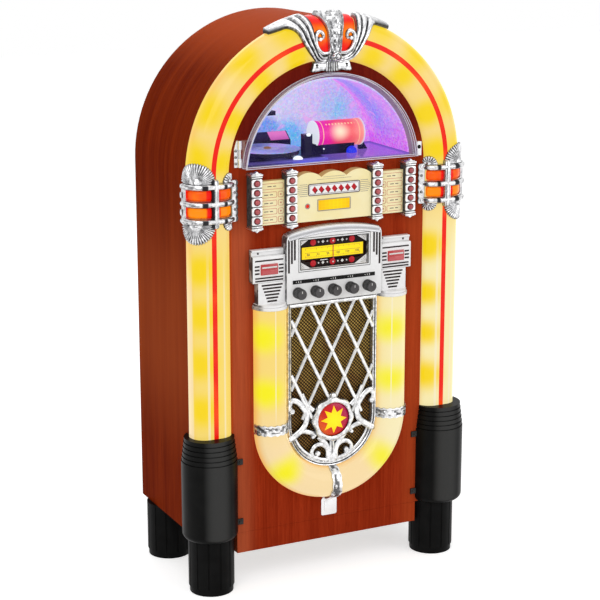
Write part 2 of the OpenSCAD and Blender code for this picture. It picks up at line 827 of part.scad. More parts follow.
module back_panel() {
    color("#5a4030") difference() {
        stand(back_in_y, back_y, arch_z) arch_outline(inner_r, arch_z - foot_h);
        for (i = [0 : vent_count - 1]) for (side = [-1, 1])
            translate([side * inner_r / 2 - vent_w / 2, back_in_y - cut, vent_z + i * vent_pitch])
                cube([vent_w, back_t + 2 * cut, vent_h]);
        span(
            [inlet_x - inlet_w / 2 - fit_gap, back_in_y - cut, inlet_mid_z - inlet_h / 2 - fit_gap],
            [inlet_x + inlet_w / 2 + fit_gap, back_y + cut, inlet_mid_z + inlet_h / 2 + fit_gap]);
        for (p = back_screws()) {
            along_y(p[0], back_in_y - cut, back_y + cut, p[1], shank_r + run_gap);
            along_y(p[0], back_y - head_h, back_y + cut, p[1], head_r + run_gap);
        }
    }
}

module base_board() {
    color("#6a3a22") span([-inner_r, seat_y, foot_h], [inner_r, back_in_y, base_top]);
}

module one_foot() {
    difference() {
        union() {
            cylinder(h = foot_h, r = foot_ring_r);
            translate([0, 0, foot_ring_h]) cylinder(h = foot_h - foot_ring_h, r = foot_r);
        }
        for (i = [0 : foot_grooves - 1]) rotate(i * 360 / foot_grooves)
            translate([foot_r, 0, foot_ring_h - cut])
                cylinder(h = foot_h - foot_ring_h + 2 * cut, r = foot_groove_r);
    }
}

module feet() {
    color("#1c1c1d") for (side = [-1, 1]) for (y = [foot_front_y, foot_rear_y])
        translate([side * tube_x, y, 0]) one_foot();
}

// A boot as a turned piece: rounded bottom edge, plain body and a collar of rings
module boot_turning() {
    body_h = boot_h - collar_h;
    rotate_extrude() {
        square([boot_r - boot_round, body_h]);
        translate([0, boot_round]) square([boot_r, body_h - boot_round]);
        translate([boot_r - boot_round, boot_round]) intersection() {
            circle(boot_round);
            translate([0, -boot_round]) square(boot_round);
        }
        for (i = [0 : collar_rings - 1]) translate([0, body_h + i * collar_pitch]) {
            ring_r = boot_r - (i + 1) * collar_step;
            square([ring_r - collar_groove, collar_pitch]);
            translate([0, collar_groove]) square([ring_r, collar_pitch - collar_groove]);
        }
    }
}

module right_boot() {
    difference() {
        union() {
            translate([boot_x, boot_y, foot_h]) boot_turning();
            for (z = [ear_low, ear_high])
                span([ear_x - ear_w / 2, panel_y - ear_t, z - ear_w / 2], [boot_x, panel_y, z + ear_w / 2]);
        }
        column_sweep(foot_h + boot_floor, boot_top + cut) tube_section(cover_gap);
        panel_space();
        cabinet_space();
        screw_holes();
    }
}

module column_boots() {
    color("#2b2b2d") both_sides() right_boot();
}

module stripe_ring(y_front, y_back, w) {
    stand(y_front, y_back, arch_z) intersection() {
        difference() {
            circle(tube_x + w / 2);
            circle(tube_x - w / 2);
        }
        translate([-cabinet_w, 0]) square([2 * cabinet_w, cabinet_w]);
    }
}

module stripe_leg(y_front, y_back, w, z_low, z_high) {
    span([tube_x - w / 2, y_front, z_low], [tube_x + w / 2, y_back, z_high]);
}

module arch_tube() {
    difference() {
        union() {
            arch_sweep() tube_ring(-tube_wall, 0);
            both_sides() column_sweep(clasp_z, arch_z) tube_ring(-tube_wall, 0);
        }
        stripe_ring(tube_y - cut, stripe_back_y, stripe_w);
        both_sides() stripe_leg(tube_y - cut, stripe_back_y, stripe_w, clasp_z - cut, arch_z);
    }
}

module column_tube() {
    difference() {
        column_sweep(column_low, clasp_z - fit_gap) tube_ring(-tube_wall, 0);
        stripe_leg(tube_y - cut, stripe_back_y, stripe_w, column_low - cut, clasp_z);
    }
}

module light_tubes() {
    color("#ffe9a8") arch_tube();
    color("#ffe9a8") both_sides() column_tube();
}

module red_stripes() {
    color("#f23c12") {
        stripe_ring(stripe_y, stripe_back_y, stripe_w);
        both_sides() stripe_leg(stripe_y, stripe_back_y, stripe_w, clasp_z, arch_z);
    }
    color("#f23c12") both_sides()
        stripe_leg(stripe_y, stripe_back_y, stripe_w, column_low, clasp_z - fit_gap);
}

// A half-round shell fan that lies on the tube, facing out along the given turn, above the clasp bars
module shell_fan(r, turn, up) {
    bar_edge = up * (clasp_pitch + clasp_bar_h / 2 - cut);
    z_low = clasp_z + min(bar_edge, bar_edge + up * r);
    intersection() {
        column_sweep(z_low, z_low + r) tube_ring(cover_gap, fan_t);
        translate([tube_x, tube_y + tube_round, clasp_z + bar_edge]) rotate([90, 0, turn])
            cylinder(h = tube_w, r = r);
    }
}

// Plate of a clasp on the front panel, grown by g
module clasp_plate(g) {
    plate_x = tube_x - tube_w / 2;
    span([plate_x - clasp_proud - g, panel_y - clasp_flange_t - g, clasp_z - clasp_tall - g],
        [plate_x + g, panel_y, clasp_z + clasp_tall + g]);
}

module right_clasp() {
    flange_x = tube_x + clasp_reach;
    difference() {
        union() {
            for (i = [-1:1]) {
                z = clasp_z + i * clasp_pitch;
                column_sweep(z - clasp_bar_h / 2, z + clasp_bar_h / 2) tube_ring(cover_gap, clasp_proud);
            }
            span([tube_x - clasp_upright_w / 2, tube_y - clasp_proud, clasp_z - clasp_tall - clasp_bar_h / 2],
                [tube_x + clasp_upright_w / 2, tube_y - cover_gap, clasp_z + clasp_tall + clasp_bar_h / 2]);
            span([flange_x - clasp_flange_t, seat_y - tube_d / 2, clasp_z - clasp_tall],
                [flange_x, seat_y, clasp_z + clasp_tall]);
            clasp_plate(0);
            for (up = [-1, 1]) {
                shell_fan(fan_r, fan_turn, up);
                shell_fan(small_fan_r, -fan_turn, up);
            }
        }
        column_sweep(clasp_z - 2 * clasp_tall, clasp_z + 2 * clasp_tall) tube_section(cover_gap);
        panel_space();
        screw_holes();
    }
}

module side_clasps() {
    color("#d9dadb") both_sides() right_clasp();
}

// Right wing of the crown in the front view, measured from the arch centre
crown_wing = [[20, 200], [36, 196], [52, 212], [64, 236], [82, 254], [140, 244], [146, 258], [112, 280],
    [56, 296], [40, 252], [38, 236], [22, 216]];
crown_band = [[-10, 186], [10, 186], [12, 240], [27, 272], [27, 300], [-27, 300], [-27, 272], [-12, 240]];
crown_lens = [[12, 240], [22, 216], [38, 236], [40, 252], [56, 296], [27, 300], [27, 272]];
// The crown's outlines are drawn for this radius of the arch
crown_base_r = 237;

// Moves a crown outline with the arch it sits on
module crown_outline(points) {
    translate([0, tube_x - crown_base_r]) polygon(points);
}

module crown() {
    color("#dcdddf") difference() {
        union() {
            intersection() {
                arch_sweep() tube_ring(cover_gap, crown_t);
                stand(tube_y - crown_t - cut, seat_y + cut, arch_z) {
                    crown_outline(crown_wing);
                    mirror([1, 0]) crown_outline(crown_wing);
                    crown_outline(crown_band);
                }
            }
            stand(panel_y - crown_plate_t, panel_y, arch_z)
                polygon([[-crown_plate_w, plate_low], [crown_plate_w, plate_low],
                    [crown_plate_w - crown_plate_taper, plate_top],
                    [crown_plate_taper - crown_plate_w, plate_top]]);
            along_y(0, rosette_y, tube_y + tube_round, arch_z + plate_top - rosette_r / 2, rosette_r);
        }
        arch_sweep() tube_section(cover_gap);
        panel_space();
        screw_holes();
    }
}

module amber_lenses() {
    color("#ff6a14") both_sides() intersection() {
        arch_sweep() tube_ring(cover_gap, lens_t);
        stand(tube_y - crown_t - cut, seat_y, arch_z) crown_outline(crown_lens);
    }
    color("#ff6a14") both_sides() for (i = [-1, 0]) difference() {
        z = clasp_z + i * clasp_pitch;
        column_sweep(z + clasp_bar_h / 2, z + clasp_pitch - clasp_bar_h / 2) tube_ring(cover_gap, lens_t);
        panel_space();
        clasp_plate(fit_gap);
        span([tube_x - clasp_upright_w / 2, tube_y - clasp_proud, clasp_z - clasp_pitch],
            [tube_x + clasp_upright_w / 2, tube_y, clasp_z + clasp_pitch]);
    }
}

module door_fittings() {
    color("#e4e5e7") difference() {
        union() {
            intersection() {
                span([hinge_x - leaf_w, panel_y - leaf_t, hinge_z], [hinge_x, panel_y, hinge_z + hinge_h]);
                stand(panel_y - leaf_t - cut, panel_y + cut, arch_z) circle(panel_r - fit_gap);
            }
            for (z = [hinge_z, hinge_z + 2 * knuckle_h])
                translate([hinge_x, hinge_y, z]) cylinder(h = knuckle_h, r = knuckle_r);
            translate([hinge_x, hinge_y, hinge_z]) cylinder(h = hinge_h, r = hinge_pin_r);
        }
        translate([hinge_x, hinge_y, hinge_z + knuckle_h - knuckle_gap]) difference() {
            cylinder(h = knuckle_h + 2 * knuckle_gap, r = knuckle_r + knuckle_gap);
            translate([0, 0, -cut]) cylinder(h = knuckle_h + 2 * cut + 2 * knuckle_gap, r = hinge_pin_r);
        }
        screw_holes();
    }
    color("#e4e5e7") span([door_r + fit_gap, panel_y - catch_d, door_z],
        [door_r + fit_gap + catch_w, panel_y, door_z + catch_h]);
}

module window_door() {
    tab_x = hinge_x + tab_clear;
    color([0.8, 0.88, 1, 0.35]) difference() {
        union() {
            stand(door_front_y, door_back_y, arch_z) window_outline(door_r, door_low);
            span([tab_x, door_front_y, hinge_z], [tab_end, door_back_y, hinge_z + hinge_h]);
            translate([hinge_x, hinge_y, hinge_z + knuckle_h]) cylinder(h = knuckle_h, r = knuckle_r);
            span([hinge_x, hinge_y - hinge_pin_r, hinge_z + knuckle_h],
                [tab_x + cut, hinge_y + hinge_pin_r, hinge_z + 2 * knuckle_h]);
        }
        stand(door_front_y + door_wall, door_back_y + cut, arch_z)
            window_outline(door_r - door_wall, door_low + door_wall);
        translate([hinge_x, hinge_y, hinge_z]) cylinder(h = hinge_h, r = hinge_pin_r + run_gap);
    }
}

module display_box() {
    color("#5a48c8") difference() {
        stand(panel_y, panel_y + box_d, arch_z) window_outline(window_r + box_wall, window_low - box_wall);
        stand(panel_y - cut, panel_y + box_d - box_wall, arch_z) window_outline(window_r, window_low);
    }
}

// Space inside the display box, drawn in by the fit
module box_space() {
    stand(panel_y, box_in_y, arch_z) window_outline(window_r - fit_gap, window_low);
}

// Deck plate with its ring and spindle, a wedge cover and a post, and the lamp arm on the side wall
module cd_deck() {
    deck_top = floor_z + deck_t;
    spindle_h = deck_t + deck_ring_h + platter_t + 2 * disc_t;
    color("#23232c") {
        intersection() {
            span([-window_r, platter_mid_y - platter_r, floor_z], [deck_right, box_in_y, deck_top]);
            box_space();
        }
        translate([-platter_x, platter_mid_y, floor_z]) {
            cylinder(h = deck_t + deck_ring_h, r = deck_ring_r);
            cylinder(h = spindle_h, r = spindle_r);
        }
        translate([-platter_x, platter_mid_y + disc_r + wedge_gap, deck_top]) rotate([90, 0, 90])
            linear_extrude(wedge_w) polygon([[0, 0], [wedge_d, 0], [wedge_d, wedge_h], [0, wedge_low_h]]);
        translate([deck_right - post_w, panel_y + post_y - post_w / 2, deck_top])
            cube([post_w, post_w, post_h]);
    }
    color("#1e1e26") intersection() {
        translate([-window_r, platter_mid_y, floor_z + lamp_arm_z])
            cube([lamp_arm_w, lamp_arm_d, lamp_arm_t]);
        box_space();
    }
}

module cd_platter() {
    color("#17171b") translate([-platter_x, platter_mid_y, platter_z]) difference() {
        cylinder(h = platter_t, r = platter_r);
        translate([0, 0, -cut]) cylinder(h = platter_t + 2 * cut, r = spindle_r + run_gap);
    }
    color("#c9cdea") translate([-platter_x, platter_mid_y, disc_z]) difference() {
        cylinder(h = disc_t, r = disc_r);
        translate([0, 0, -cut]) cylinder(h = disc_t + 2 * cut, r = spindle_r + run_gap);
    }
}

module lamp_drum() {
    color("#e8486a") along_x(drum_x - drum_len / 2, drum_x + drum_len / 2, drum_mid_y, drum_z, drum_r);
    color("#f2f2f4") along_x(drum_x - cradle_half, drum_x + cradle_half, drum_mid_y, drum_z, drum_end_r);
    color("#20202a") difference() {
        span([drum_x - cradle_half, drum_mid_y - cradle_d / 2, floor_z],
            [drum_x + cradle_half, drum_mid_y + cradle_d / 2, drum_z - drum_r + cradle_lap]);
        along_x(drum_x - drum_len, drum_x + drum_len, drum_mid_y, drum_z, drum_r + fit_gap);
    }
}

module one_rail(x) {
    difference() {
        union() {
            span([x - rail_w / 2, rail_y, rail_low], [x + rail_w / 2, panel_y, rail_top]);
            for (z = [rail_low, rail_top])
                along_y(x, rail_y + rail_wall, rail_y + rail_wall + rail_tip_d, z, rail_tip_r);
        }
        span([x - rail_w / 2 + rail_wall, rail_y + rail_wall, rail_low + rail_wall],
            [x + rail_w / 2 - rail_wall, panel_y + cut, rail_top - rail_wall]);
        for (row = [0 : key_rows - 1])
            along_y(x, rail_y - cut, rail_y + 2 * rail_wall, key_z(row), key_r + key_gap);
    }
}

module button_rails() {
    color("#dfe0e2") for (x = rail_x) one_rail(x);
}

// A key: domed cap, collar behind the rail's face and a stem that reaches for its switch
module key(rail, row) {
    dome_r = (pow(key_r, 2) + pow(key_dome_h, 2)) / (2 * key_dome_h);
    collar_set = rail_wall + key_gap;
    color("#b41420") translate([rail_x[rail], rail_y, key_z(row)]) rotate([-90, 0, 0]) {
        rotate_extrude() {
            translate([0, -key_edge_h]) square([key_r, key_edge_h + collar_set]);
            intersection() {
                translate([0, dome_r - key_edge_h - key_dome_h]) circle(dome_r);
                translate([0, -key_edge_h - key_dome_h]) square([key_r, key_dome_h]);
            }
        }
        translate([0, 0, collar_set]) cylinder(h = key_collar_t, r = key_r + key_collar);
        cylinder(h = key_back_y - rail_y, r = key_stem_r);
    }
}

module title_outline(inset) {
    half = title_half - inset;
    intersection() {
        union() {
            translate([-half, inset]) square([2 * half, title_h - 2 * inset - scallop_h]);
            for (i = [-1:1]) translate([i * scallop_span, title_h - scallop_r]) circle(scallop_r - inset);
        }
        translate([-half, inset]) square([2 * half, title_h]);
    }
}

module label_box(x_low, x_high) {
    difference() {
        span([x_low, label_box_y, title_low], [x_high, panel_y, title_top - scallop_h]);
        span([x_low + title_wall, label_box_y + title_wall, title_low + title_wall],
            [x_high - title_wall, panel_y + cut, title_top - scallop_h - title_wall]);
    }
}

module title_panels() {
    color("#f0dfa2") difference() {
        stand(title_box_y, panel_y, title_low) title_outline(0);
        stand(title_box_y + title_wall, panel_y + cut, title_low) title_outline(title_wall);
        span([-lcd_w / 2 - fit_gap, title_box_y - cut, lcd_mid_z - lcd_h / 2 - fit_gap],
            [lcd_w / 2 + fit_gap, title_box_y + 2 * title_wall, lcd_mid_z + lcd_h / 2 + fit_gap]);
        along_y(-eye_x, title_box_y - cut, title_box_y + 2 * title_wall, lcd_mid_z, eye_r + fit_gap);
    }
    color("#f0dfa2") label_box(label_in, label_out);
    color("#f0dfa2") label_box(-label_out, -label_in);
}

module lcd_display() {
    color("#f6c800") span([-lcd_w / 2, title_box_y + cut, lcd_mid_z - lcd_h / 2],
        [lcd_w / 2, title_box_y + title_wall + cut, lcd_mid_z + lcd_h / 2]);
    color("#a01818") along_y(-eye_x, title_box_y + cut / 2, title_box_y + title_wall + cut, lcd_mid_z, eye_r);
}

module fascia_outline(inset) {
    half = fascia_half - inset;
    intersection() {
        translate([0, fascia_h + fascia_rise - fascia_arc_r]) circle(fascia_arc_r - inset);
        translate([-half, inset]) square([2 * half, fascia_h + fascia_rise]);
    }
}

// Right wing of the fascia with the block that the U tube runs up to, drawn in by the wall
module wing_solid(inset) {
    back = panel_y + (inset > 0 ? cut : 0);
    span([wing_in, wing_y + inset, wing_low + inset], [wing_x - inset, back, wing_top - inset]);
    span([wing_in, panel_y - ledge_d + inset, wing_top - 2 * inset],
        [wing_x - inset, back, wing_top + ledge_h - inset]);
    span([u_path_r - block_half + inset, wing_y + inset, fascia_low + inset],
        [u_path_r + block_half - inset, back, wing_low + 2 * inset]);
}

// Shallow slats that get shorter towards the bottom of the block
module block_slats() {
    for (i = [1 : slat_count]) {
        half = (slat_w - (i - 1) * slat_step) / 2;
        z = wing_low - i * slat_pitch;
        span([u_path_r - half, wing_y - cut, z], [u_path_r + half, wing_y + slat_d, z + slat_h]);
    }
}

// Shallow upright grooves beside the dial
module dial_grooves() {
    for (i = [1 : groove_count]) {
        x = fascia_half - i * groove_pitch;
        span([x - slat_h, fascia_y - cut, dial_mid_z - dial_h / 2],
            [x, fascia_y + slat_d, dial_mid_z + dial_h / 2]);
    }
}

module radio_fascia() {
    color("#e9e9ea") difference() {
        union() {
            difference() {
                stand(fascia_y, panel_y, fascia_low) fascia_outline(0);
                stand(fascia_y + fascia_wall, panel_y + cut, fascia_low) fascia_outline(fascia_wall);
            }
            both_sides() difference() {
                wing_solid(0);
                wing_solid(fascia_wall);
            }
            span([-dial_w / 2 - dial_lip, fascia_y, dial_mid_z - dial_h / 2 - dial_lip],
                [dial_w / 2 + dial_lip, dial_face_y, dial_mid_z + dial_h / 2 + dial_lip]);
        }
        span([-dial_w / 2, fascia_y - cut, dial_mid_z - dial_h / 2],
            [dial_w / 2, dial_face_y + cut, dial_mid_z + dial_h / 2]);
        for (i = [-2:2])
            along_y(i * knob_pitch - knob_shift, fascia_y - cut, fascia_y + fascia_wall + cut, knob_row_z,
                shaft_r + run_gap);
        both_sides() {
            push_half = [push_w / 2 + push_gap, push_h / 2 + push_gap];
            span([wing_mid_x - push_half[0], wing_y - cut, push_z - push_half[1]],
                [wing_mid_x + push_half[0], wing_y + 2 * fascia_wall, push_z + push_half[1]]);
            block_slats();
            dial_grooves();
        }
    }
}

// Dial plate with a slot for the pointer's neck and, behind it, the guide rod on two brackets
module dial_face() {
    color("#1b1712") difference() {
        span([-dial_w / 2 - dial_lip, dial_face_y, dial_mid_z - dial_h / 2 - dial_lip],
            [dial_w / 2 + dial_lip, dial_back_y, dial_mid_z + dial_h / 2 + dial_lip]);
        span([-pointer_travel - pointer_w, dial_face_y - cut, slot_z - slot_h / 2],
            [pointer_travel + pointer_w, dial_back_y + cut, slot_z + slot_h / 2]);
    }
    color("#8a8a8e") {
        along_x(-rod_half, rod_half, rod_y, slot_z, rod_r);
        for (side = [-1, 1]) span(
            [side * rod_half - dial_lip / 2, dial_back_y, slot_z - 2 * rod_r],
            [side * rod_half + dial_lip / 2, rod_y + 2 * rod_r, slot_z + 2 * rod_r]);
    }
}

module dial_pointer() {
    needle_y = dial_face_y - 2 * pointer_w;
    carriage_y = dial_back_y + key_gap;
    color("#c81e1e") difference() {
        union() {
            span([-pointer_w / 2, needle_y, slot_z - slot_h / 4],
                [pointer_w / 2, needle_y + pointer_w, dial_mid_z + scale_h / 2]);
            span([-pointer_w / 2, needle_y, slot_z - slot_h / 4],
                [pointer_w / 2, carriage_y + cut, slot_z + slot_h / 4]);
            span([-carriage_w / 2, carriage_y, slot_z - 2 * rod_r],
                [carriage_w / 2, rod_y + 2 * rod_r, slot_z + 2 * rod_r]);
        }
        along_x(-carriage_w, carriage_w, rod_y, slot_z, rod_r + run_gap);
    }
}

// A knob with its shaft: skirt, fluted grip and a shaft that runs in the fascia and its potentiometer
module knob(i) {
    x = i * knob_pitch - knob_shift;
    grip_y = fascia_y - knob_len;
    skirt_y = fascia_y - knob_skirt_len;
    color("#2a2a2c") difference() {
        union() {
            along_y(x, grip_y, fascia_y - fit_gap, knob_row_z, knob_r);
            along_y(x, skirt_y, fascia_y - fit_gap, knob_row_z, knob_skirt_r);
            along_y(x, skirt_y, fascia_y + shaft_len, knob_row_z, shaft_r);
        }
        span([x - pointer_w / 2, grip_y - cut, knob_row_z + knob_r / 3],
            [x + pointer_w / 2, grip_y + cut, knob_row_z + knob_r + cut]);
    }
}

module volume_knob() knob(-2);
module treble_knob() knob(-1);
module tuning_knob() knob(0);
module bass_knob() knob(1);
module band_knob() knob(2);

module push_button(side) {
    x = side * wing_mid_x;
    color("#c01c24") {
        span([x - push_w / 2, wing_y - push_proud, push_z - push_h / 2],
            [x + push_w / 2, push_collar_y, push_z + push_h / 2]);
        span([x - push_w / 2 - push_collar, push_collar_y, push_z - push_h / 2 - push_collar],
            [x + push_w / 2 + push_collar, push_collar_y + push_collar, push_z + push_h / 2 + push_collar]);
    }
}

module power_button() push_button(-1);
module light_button() push_button(1);

module u_section(r) {
    intersection() {
        circle(r);
        translate([-r, -r]) square([2 * r, r + u_lift]);
    }
}

module u_ring(inner, outer) {
    difference() {
        u_section(outer);
        circle(inner);
    }
}

module u_tube() {
    color("#ffe9a8") {
        both_sides() translate([u_path_r, u_y, u_z]) linear_extrude(u_leg - fit_gap)
            u_ring(u_tube_r - tube_wall, u_tube_r);
        translate([0, u_y, u_z]) rotate([-90, 0, 0]) rotate_extrude(angle = 180) translate([u_path_r, 0])
            u_ring(u_tube_r - tube_wall, u_tube_r);
    }
}

// Diagonal bars that cross at the lattice's middle
module lattice() {
    reach = grille_top - u_z + grille_r;
    steps = ceil(reach / diamond_w);
    for (tilt = [-1, 1]) for (i = [-steps : steps])
        translate([i * diamond_w, lattice_z - u_z]) rotate(tilt * lattice_angle)
            translate([-bar_w / 2, -2 * reach]) square([bar_w, 4 * reach]);
}

// Puts a copy at each of the four scroll rings round the medallion
module at_scrolls() {
    for (a = [scroll_high, 180 - scroll_high, -scroll_low, scroll_low - 180])
        translate([scroll_way * cos(a), scroll_way * sin(a)]) children();
}

// The casting in the front view: rim, lattice, scroll rings and the bar under the medallion
module grille_face() {
    rise = grille_top - u_z;
    difference() {
        grille_outline(grille_r, rise);
        grille_outline(grille_r - rim_w, rise - rim_w);
    }
    intersection() {
        grille_outline(grille_r - rim_w / 2, rise);
        union() {
            difference() {
                lattice();
                at_scrolls() circle(scroll_r);
                circle(medal_r);
                translate([-grille_r, -grille_r]) square([2 * grille_r, grille_r]);
            }
            at_scrolls() difference() {
                circle(scroll_r + bar_w / 2);
                circle(scroll_r - bar_w / 2);
            }
            translate([-bar_w, -grille_r]) square([2 * bar_w, grille_r - medal_r]);
        }
    }
}

// Band round one leg of the U tube
module leg_band() {
    translate([u_path_r, u_y, u_z - band_h / 2]) linear_extrude(band_h)
        u_ring(u_tube_r + band_gap, u_tube_r + band_gap + band_t);
}

// Strap over the bottom of the U tube with its tab on the panel
module bottom_strap() {
    intersection() {
        difference() {
            along_x(-strap_w / 2, strap_w / 2, u_y, strap_z, u_tube_r + strap_gap + band_t);
            along_x(-strap_w, strap_w, u_y, strap_z, u_tube_r + strap_gap);
        }
        span([-strap_w, u_y - 2 * u_tube_r, strap_z - 2 * u_tube_r],
            [strap_w, panel_y, strap_z + 2 * u_tube_r]);
    }
    span([-tab_w / 2, panel_y - band_t, tab_top - tab_h], [tab_w / 2, panel_y, tab_top - strap_gap]);
}

// The bands and the strap, which hook over the rim of the grille
module tube_bands() {
    difference() {
        union() {
            both_sides() leg_band();
            bottom_strap();
        }
        stand(grille_y - fit_gap, panel_y + cut, u_z)
            grille_outline(grille_r + band_gap + fit_gap, grille_top - u_z);
    }
}

module speaker_grille() {
    color("#d8d9dc") difference() {
        union() {
            stand(grille_y, grille_back_y, u_z) grille_face();
            stand(grille_y, panel_y - cloth_t, u_z) difference() {
                grille_outline(grille_r, grille_top - u_z);
                grille_outline(grille_r - rim_w, grille_top - u_z - rim_w);
            }
            along_y(0, medal_y, grille_back_y, u_z, medal_out);
        }
        along_y(0, medal_y - cut, grille_back_y + cut, u_z, medal_r + fit_gap);
    }
    color("#d8d9dc") tube_bands();
}

module medallion() {
    face = grille_t + medal_lift - medal_dome;
    color("#d8301c") translate([0, grille_back_y, u_z]) rotate([90, 0, 0]) rotate_extrude() {
        square([medal_r, face]);
        intersection() {
            translate([0, face + medal_dome - medal_dome_r]) circle(medal_dome_r);
            translate([0, face]) square([medal_r, medal_dome]);
        }
    }
}

module grille_cloth() {
    color("#6a4e22") stand(panel_y - cloth_t, panel_y, u_z) grille_outline(grille_r, grille_top - u_z);
}

// A loudspeaker on the back of the baffle: pressed basket with flange and magnet, and its paper cone
module speaker(z) {
    throat = speaker_hole_r - basket_t;
    cup = speaker_d - magnet_h;
    coil = magnet_r - 2 * basket_t;
    translate([0, baffle_y, z]) rotate([-90, 0, 0]) {
        color("#4a4a4e") rotate_extrude() polygon([[throat, 0], [speaker_r, 0], [speaker_r, speaker_flange_t],
            [throat + basket_t, speaker_flange_t], [magnet_r, cup], [magnet_r, speaker_d], [0, speaker_d],
            [0, cup - basket_t], [magnet_r - basket_t, cup - basket_t], [throat, speaker_flange_t]]);
        color("#1c1a18") rotate_extrude() polygon([[0, cup - 2 * basket_t], [coil, cup - 2 * basket_t],
            [throat - fit_gap, speaker_flange_t], [throat - fit_gap, 0], [throat - basket_t, 0],
            [throat - basket_t, speaker_flange_t], [coil - basket_t, cup - 3 * basket_t],
            [0, cup - 3 * basket_t]]);
    }
}

module speakers() {
    for (z = speaker_z) speaker(z);
}

// Board inside a rail with one switch behind each key
module key_board(x) {
    half = rail_w / 2 - rail_wall - fit_gap;
    span([x - half, switch_y, rail_low + rail_wall + fit_gap],
        [x + half, panel_y, rail_top - rail_wall - fit_gap]);
    for (row = [0 : key_rows - 1])
        translate([x - half / 2, switch_y - switch_h, key_z(row) - half / 2]) cube([half, switch_h, half]);
}

// Board behind the knobs with one potentiometer for each shaft
module control_board() {
    half = 2 * knob_pitch + pot_r;
    difference() {
        union() {
            span([-half - knob_shift, pot_back_y, knob_row_z - pot_r],
                [half - knob_shift, pot_back_y + board_t, knob_row_z + pot_r]);
            for (i = [-2:2]) along_y(i * knob_pitch - knob_shift, pot_front_y, pot_back_y, knob_row_z, pot_r);
        }
        for (i = [-2:2]) along_y(i * knob_pitch - knob_shift, pot_front_y - cut, pot_back_y, knob_row_z,
            shaft_r + run_gap);
    }
}

module circuit_boards() {
    color("#1f6b3a") for (x = rail_x) key_board(x);
    color("#1f6b3a") control_board();
    color("#1f6b3a") for (side = [-1, 1]) span(
        [side * wing_mid_x - push_w / 4, push_switch_y, push_z - push_h / 4],
        [side * wing_mid_x + push_w / 4, panel_y, push_z + push_h / 4]);
    color("#e8e8e0") both_sides() span([tube_x - light_board_w / 2, seat_y - board_t, boot_top],
        [tube_x + light_board_w / 2, seat_y, clasp_z - fit_gap]);
    color("#1f6b3a") translate([-chassis_w / 2, chassis_y - chassis_d / 2, base_top + chassis_h])
        cube([chassis_w / 2 - transformer_w / 2, chassis_d, board_t]);
}

module power_supply() {
    color("#9a9a9e") translate([-chassis_w / 2, chassis_y - chassis_d / 2, base_top])
        cube([chassis_w, chassis_d, chassis_h]);
    color("#5a5a60") translate([0, chassis_y - transformer_w / 2, base_top + chassis_h])
        cube([transformer_w, transformer_w, transformer_h]);
}

module mains_inlet() {
    color("#141416") difference() {
        span([inlet_x - inlet_w / 2, back_y - inlet_d, inlet_mid_z - inlet_h / 2],
            [inlet_x + inlet_w / 2, back_y, inlet_mid_z + inlet_h / 2]);
        span([inlet_x - socket_w / 2, back_y - inlet_d + inlet_wall, inlet_mid_z - socket_h / 2],
            [inlet_x + socket_w / 2, back_y + cut, inlet_mid_z + socket_h / 2]);
    }
}

module screws() {
    color("#c8c8cc") for (p = front_screws()) {
        along_y(p[0], p[1] - head_h, p[1], p[2], head_r);
        along_y(p[0], p[1] - head_h / 2, panel_y + screw_depth - fit_gap, p[2], shank_r);
    }
    color("#c8c8cc") for (p = back_screws()) {
        along_y(p[0], back_y - head_h, back_y, p[1], head_r);
        along_y(p[0], back_in_y - screw_depth + fit_gap, back_y - head_h / 2, p[1], shank_r);
    }
}

cabinet_shell();
baffle_board();
front_panel();
back_panel();
base_board();
feet();
column_boots();
light_tubes();
red_stripes();
side_clasps();
crown();
amber_lenses();
door_fittings();
window_door();
display_box();
cd_deck();
cd_platter();
lamp_drum();
button_rails();
title_panels();
lcd_display();
radio_fascia();
dial_face();
dial_pointer();
power_button();
light_button();
u_tube();
speaker_grille();
medallion();
grille_cloth();
speakers();
circuit_boards();
power_supply();
mains_inlet();
screws();
volume_knob();
treble_knob();
tuning_knob();
bass_knob();
band_knob();
for (rail = [0:3]) for (row = [0:4])
    key(rail, row);
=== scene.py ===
"""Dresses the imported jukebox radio: its meshes, finishes, studio light and camera."""
import logging
import math
from dataclasses import dataclass, field
from enum import Enum
from typing import Callable, ClassVar, Sequence, Union

import bmesh
import bpy
import numpy as np
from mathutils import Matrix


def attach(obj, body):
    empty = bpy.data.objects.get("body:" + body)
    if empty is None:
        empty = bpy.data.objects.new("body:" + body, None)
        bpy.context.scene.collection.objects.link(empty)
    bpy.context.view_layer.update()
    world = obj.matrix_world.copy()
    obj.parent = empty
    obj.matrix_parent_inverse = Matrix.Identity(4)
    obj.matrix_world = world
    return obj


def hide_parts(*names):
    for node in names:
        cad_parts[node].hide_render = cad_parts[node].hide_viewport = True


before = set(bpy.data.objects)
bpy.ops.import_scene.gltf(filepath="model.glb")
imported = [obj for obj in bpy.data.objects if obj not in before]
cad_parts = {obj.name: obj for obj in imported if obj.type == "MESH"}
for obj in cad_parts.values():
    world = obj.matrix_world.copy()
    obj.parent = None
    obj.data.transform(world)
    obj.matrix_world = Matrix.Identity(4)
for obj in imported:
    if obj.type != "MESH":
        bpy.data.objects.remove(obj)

LOG = logging.getLogger("jukebox_radio")
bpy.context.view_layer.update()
MM = 0.001
ROOT = "cabinet"

Colour = tuple[float, float, float]
Point = Sequence[float]
Operand = Union["Sock", float]
Value = Union["Sock", float, Sequence[float]]
Stops = Sequence[tuple[float, Colour]]


def operator(operation: str, swap: bool = False) -> Callable[["Sock", Operand], "Sock"]:
    """Makes the method of a Python operator, which adds one Math node.

    Args:
        operation: Operation of the Math node.
        swap: Whether the socket is the second operand.

    Returns:
        The method.
    """
    def method(self: "Sock", other: Operand) -> "Sock":
        """Adds the node for this socket and another value."""
        operands = {int(swap): self, int(not swap): other}
        return self.graph.node("ShaderNodeMath", {"operation": operation}, operands)

    return method


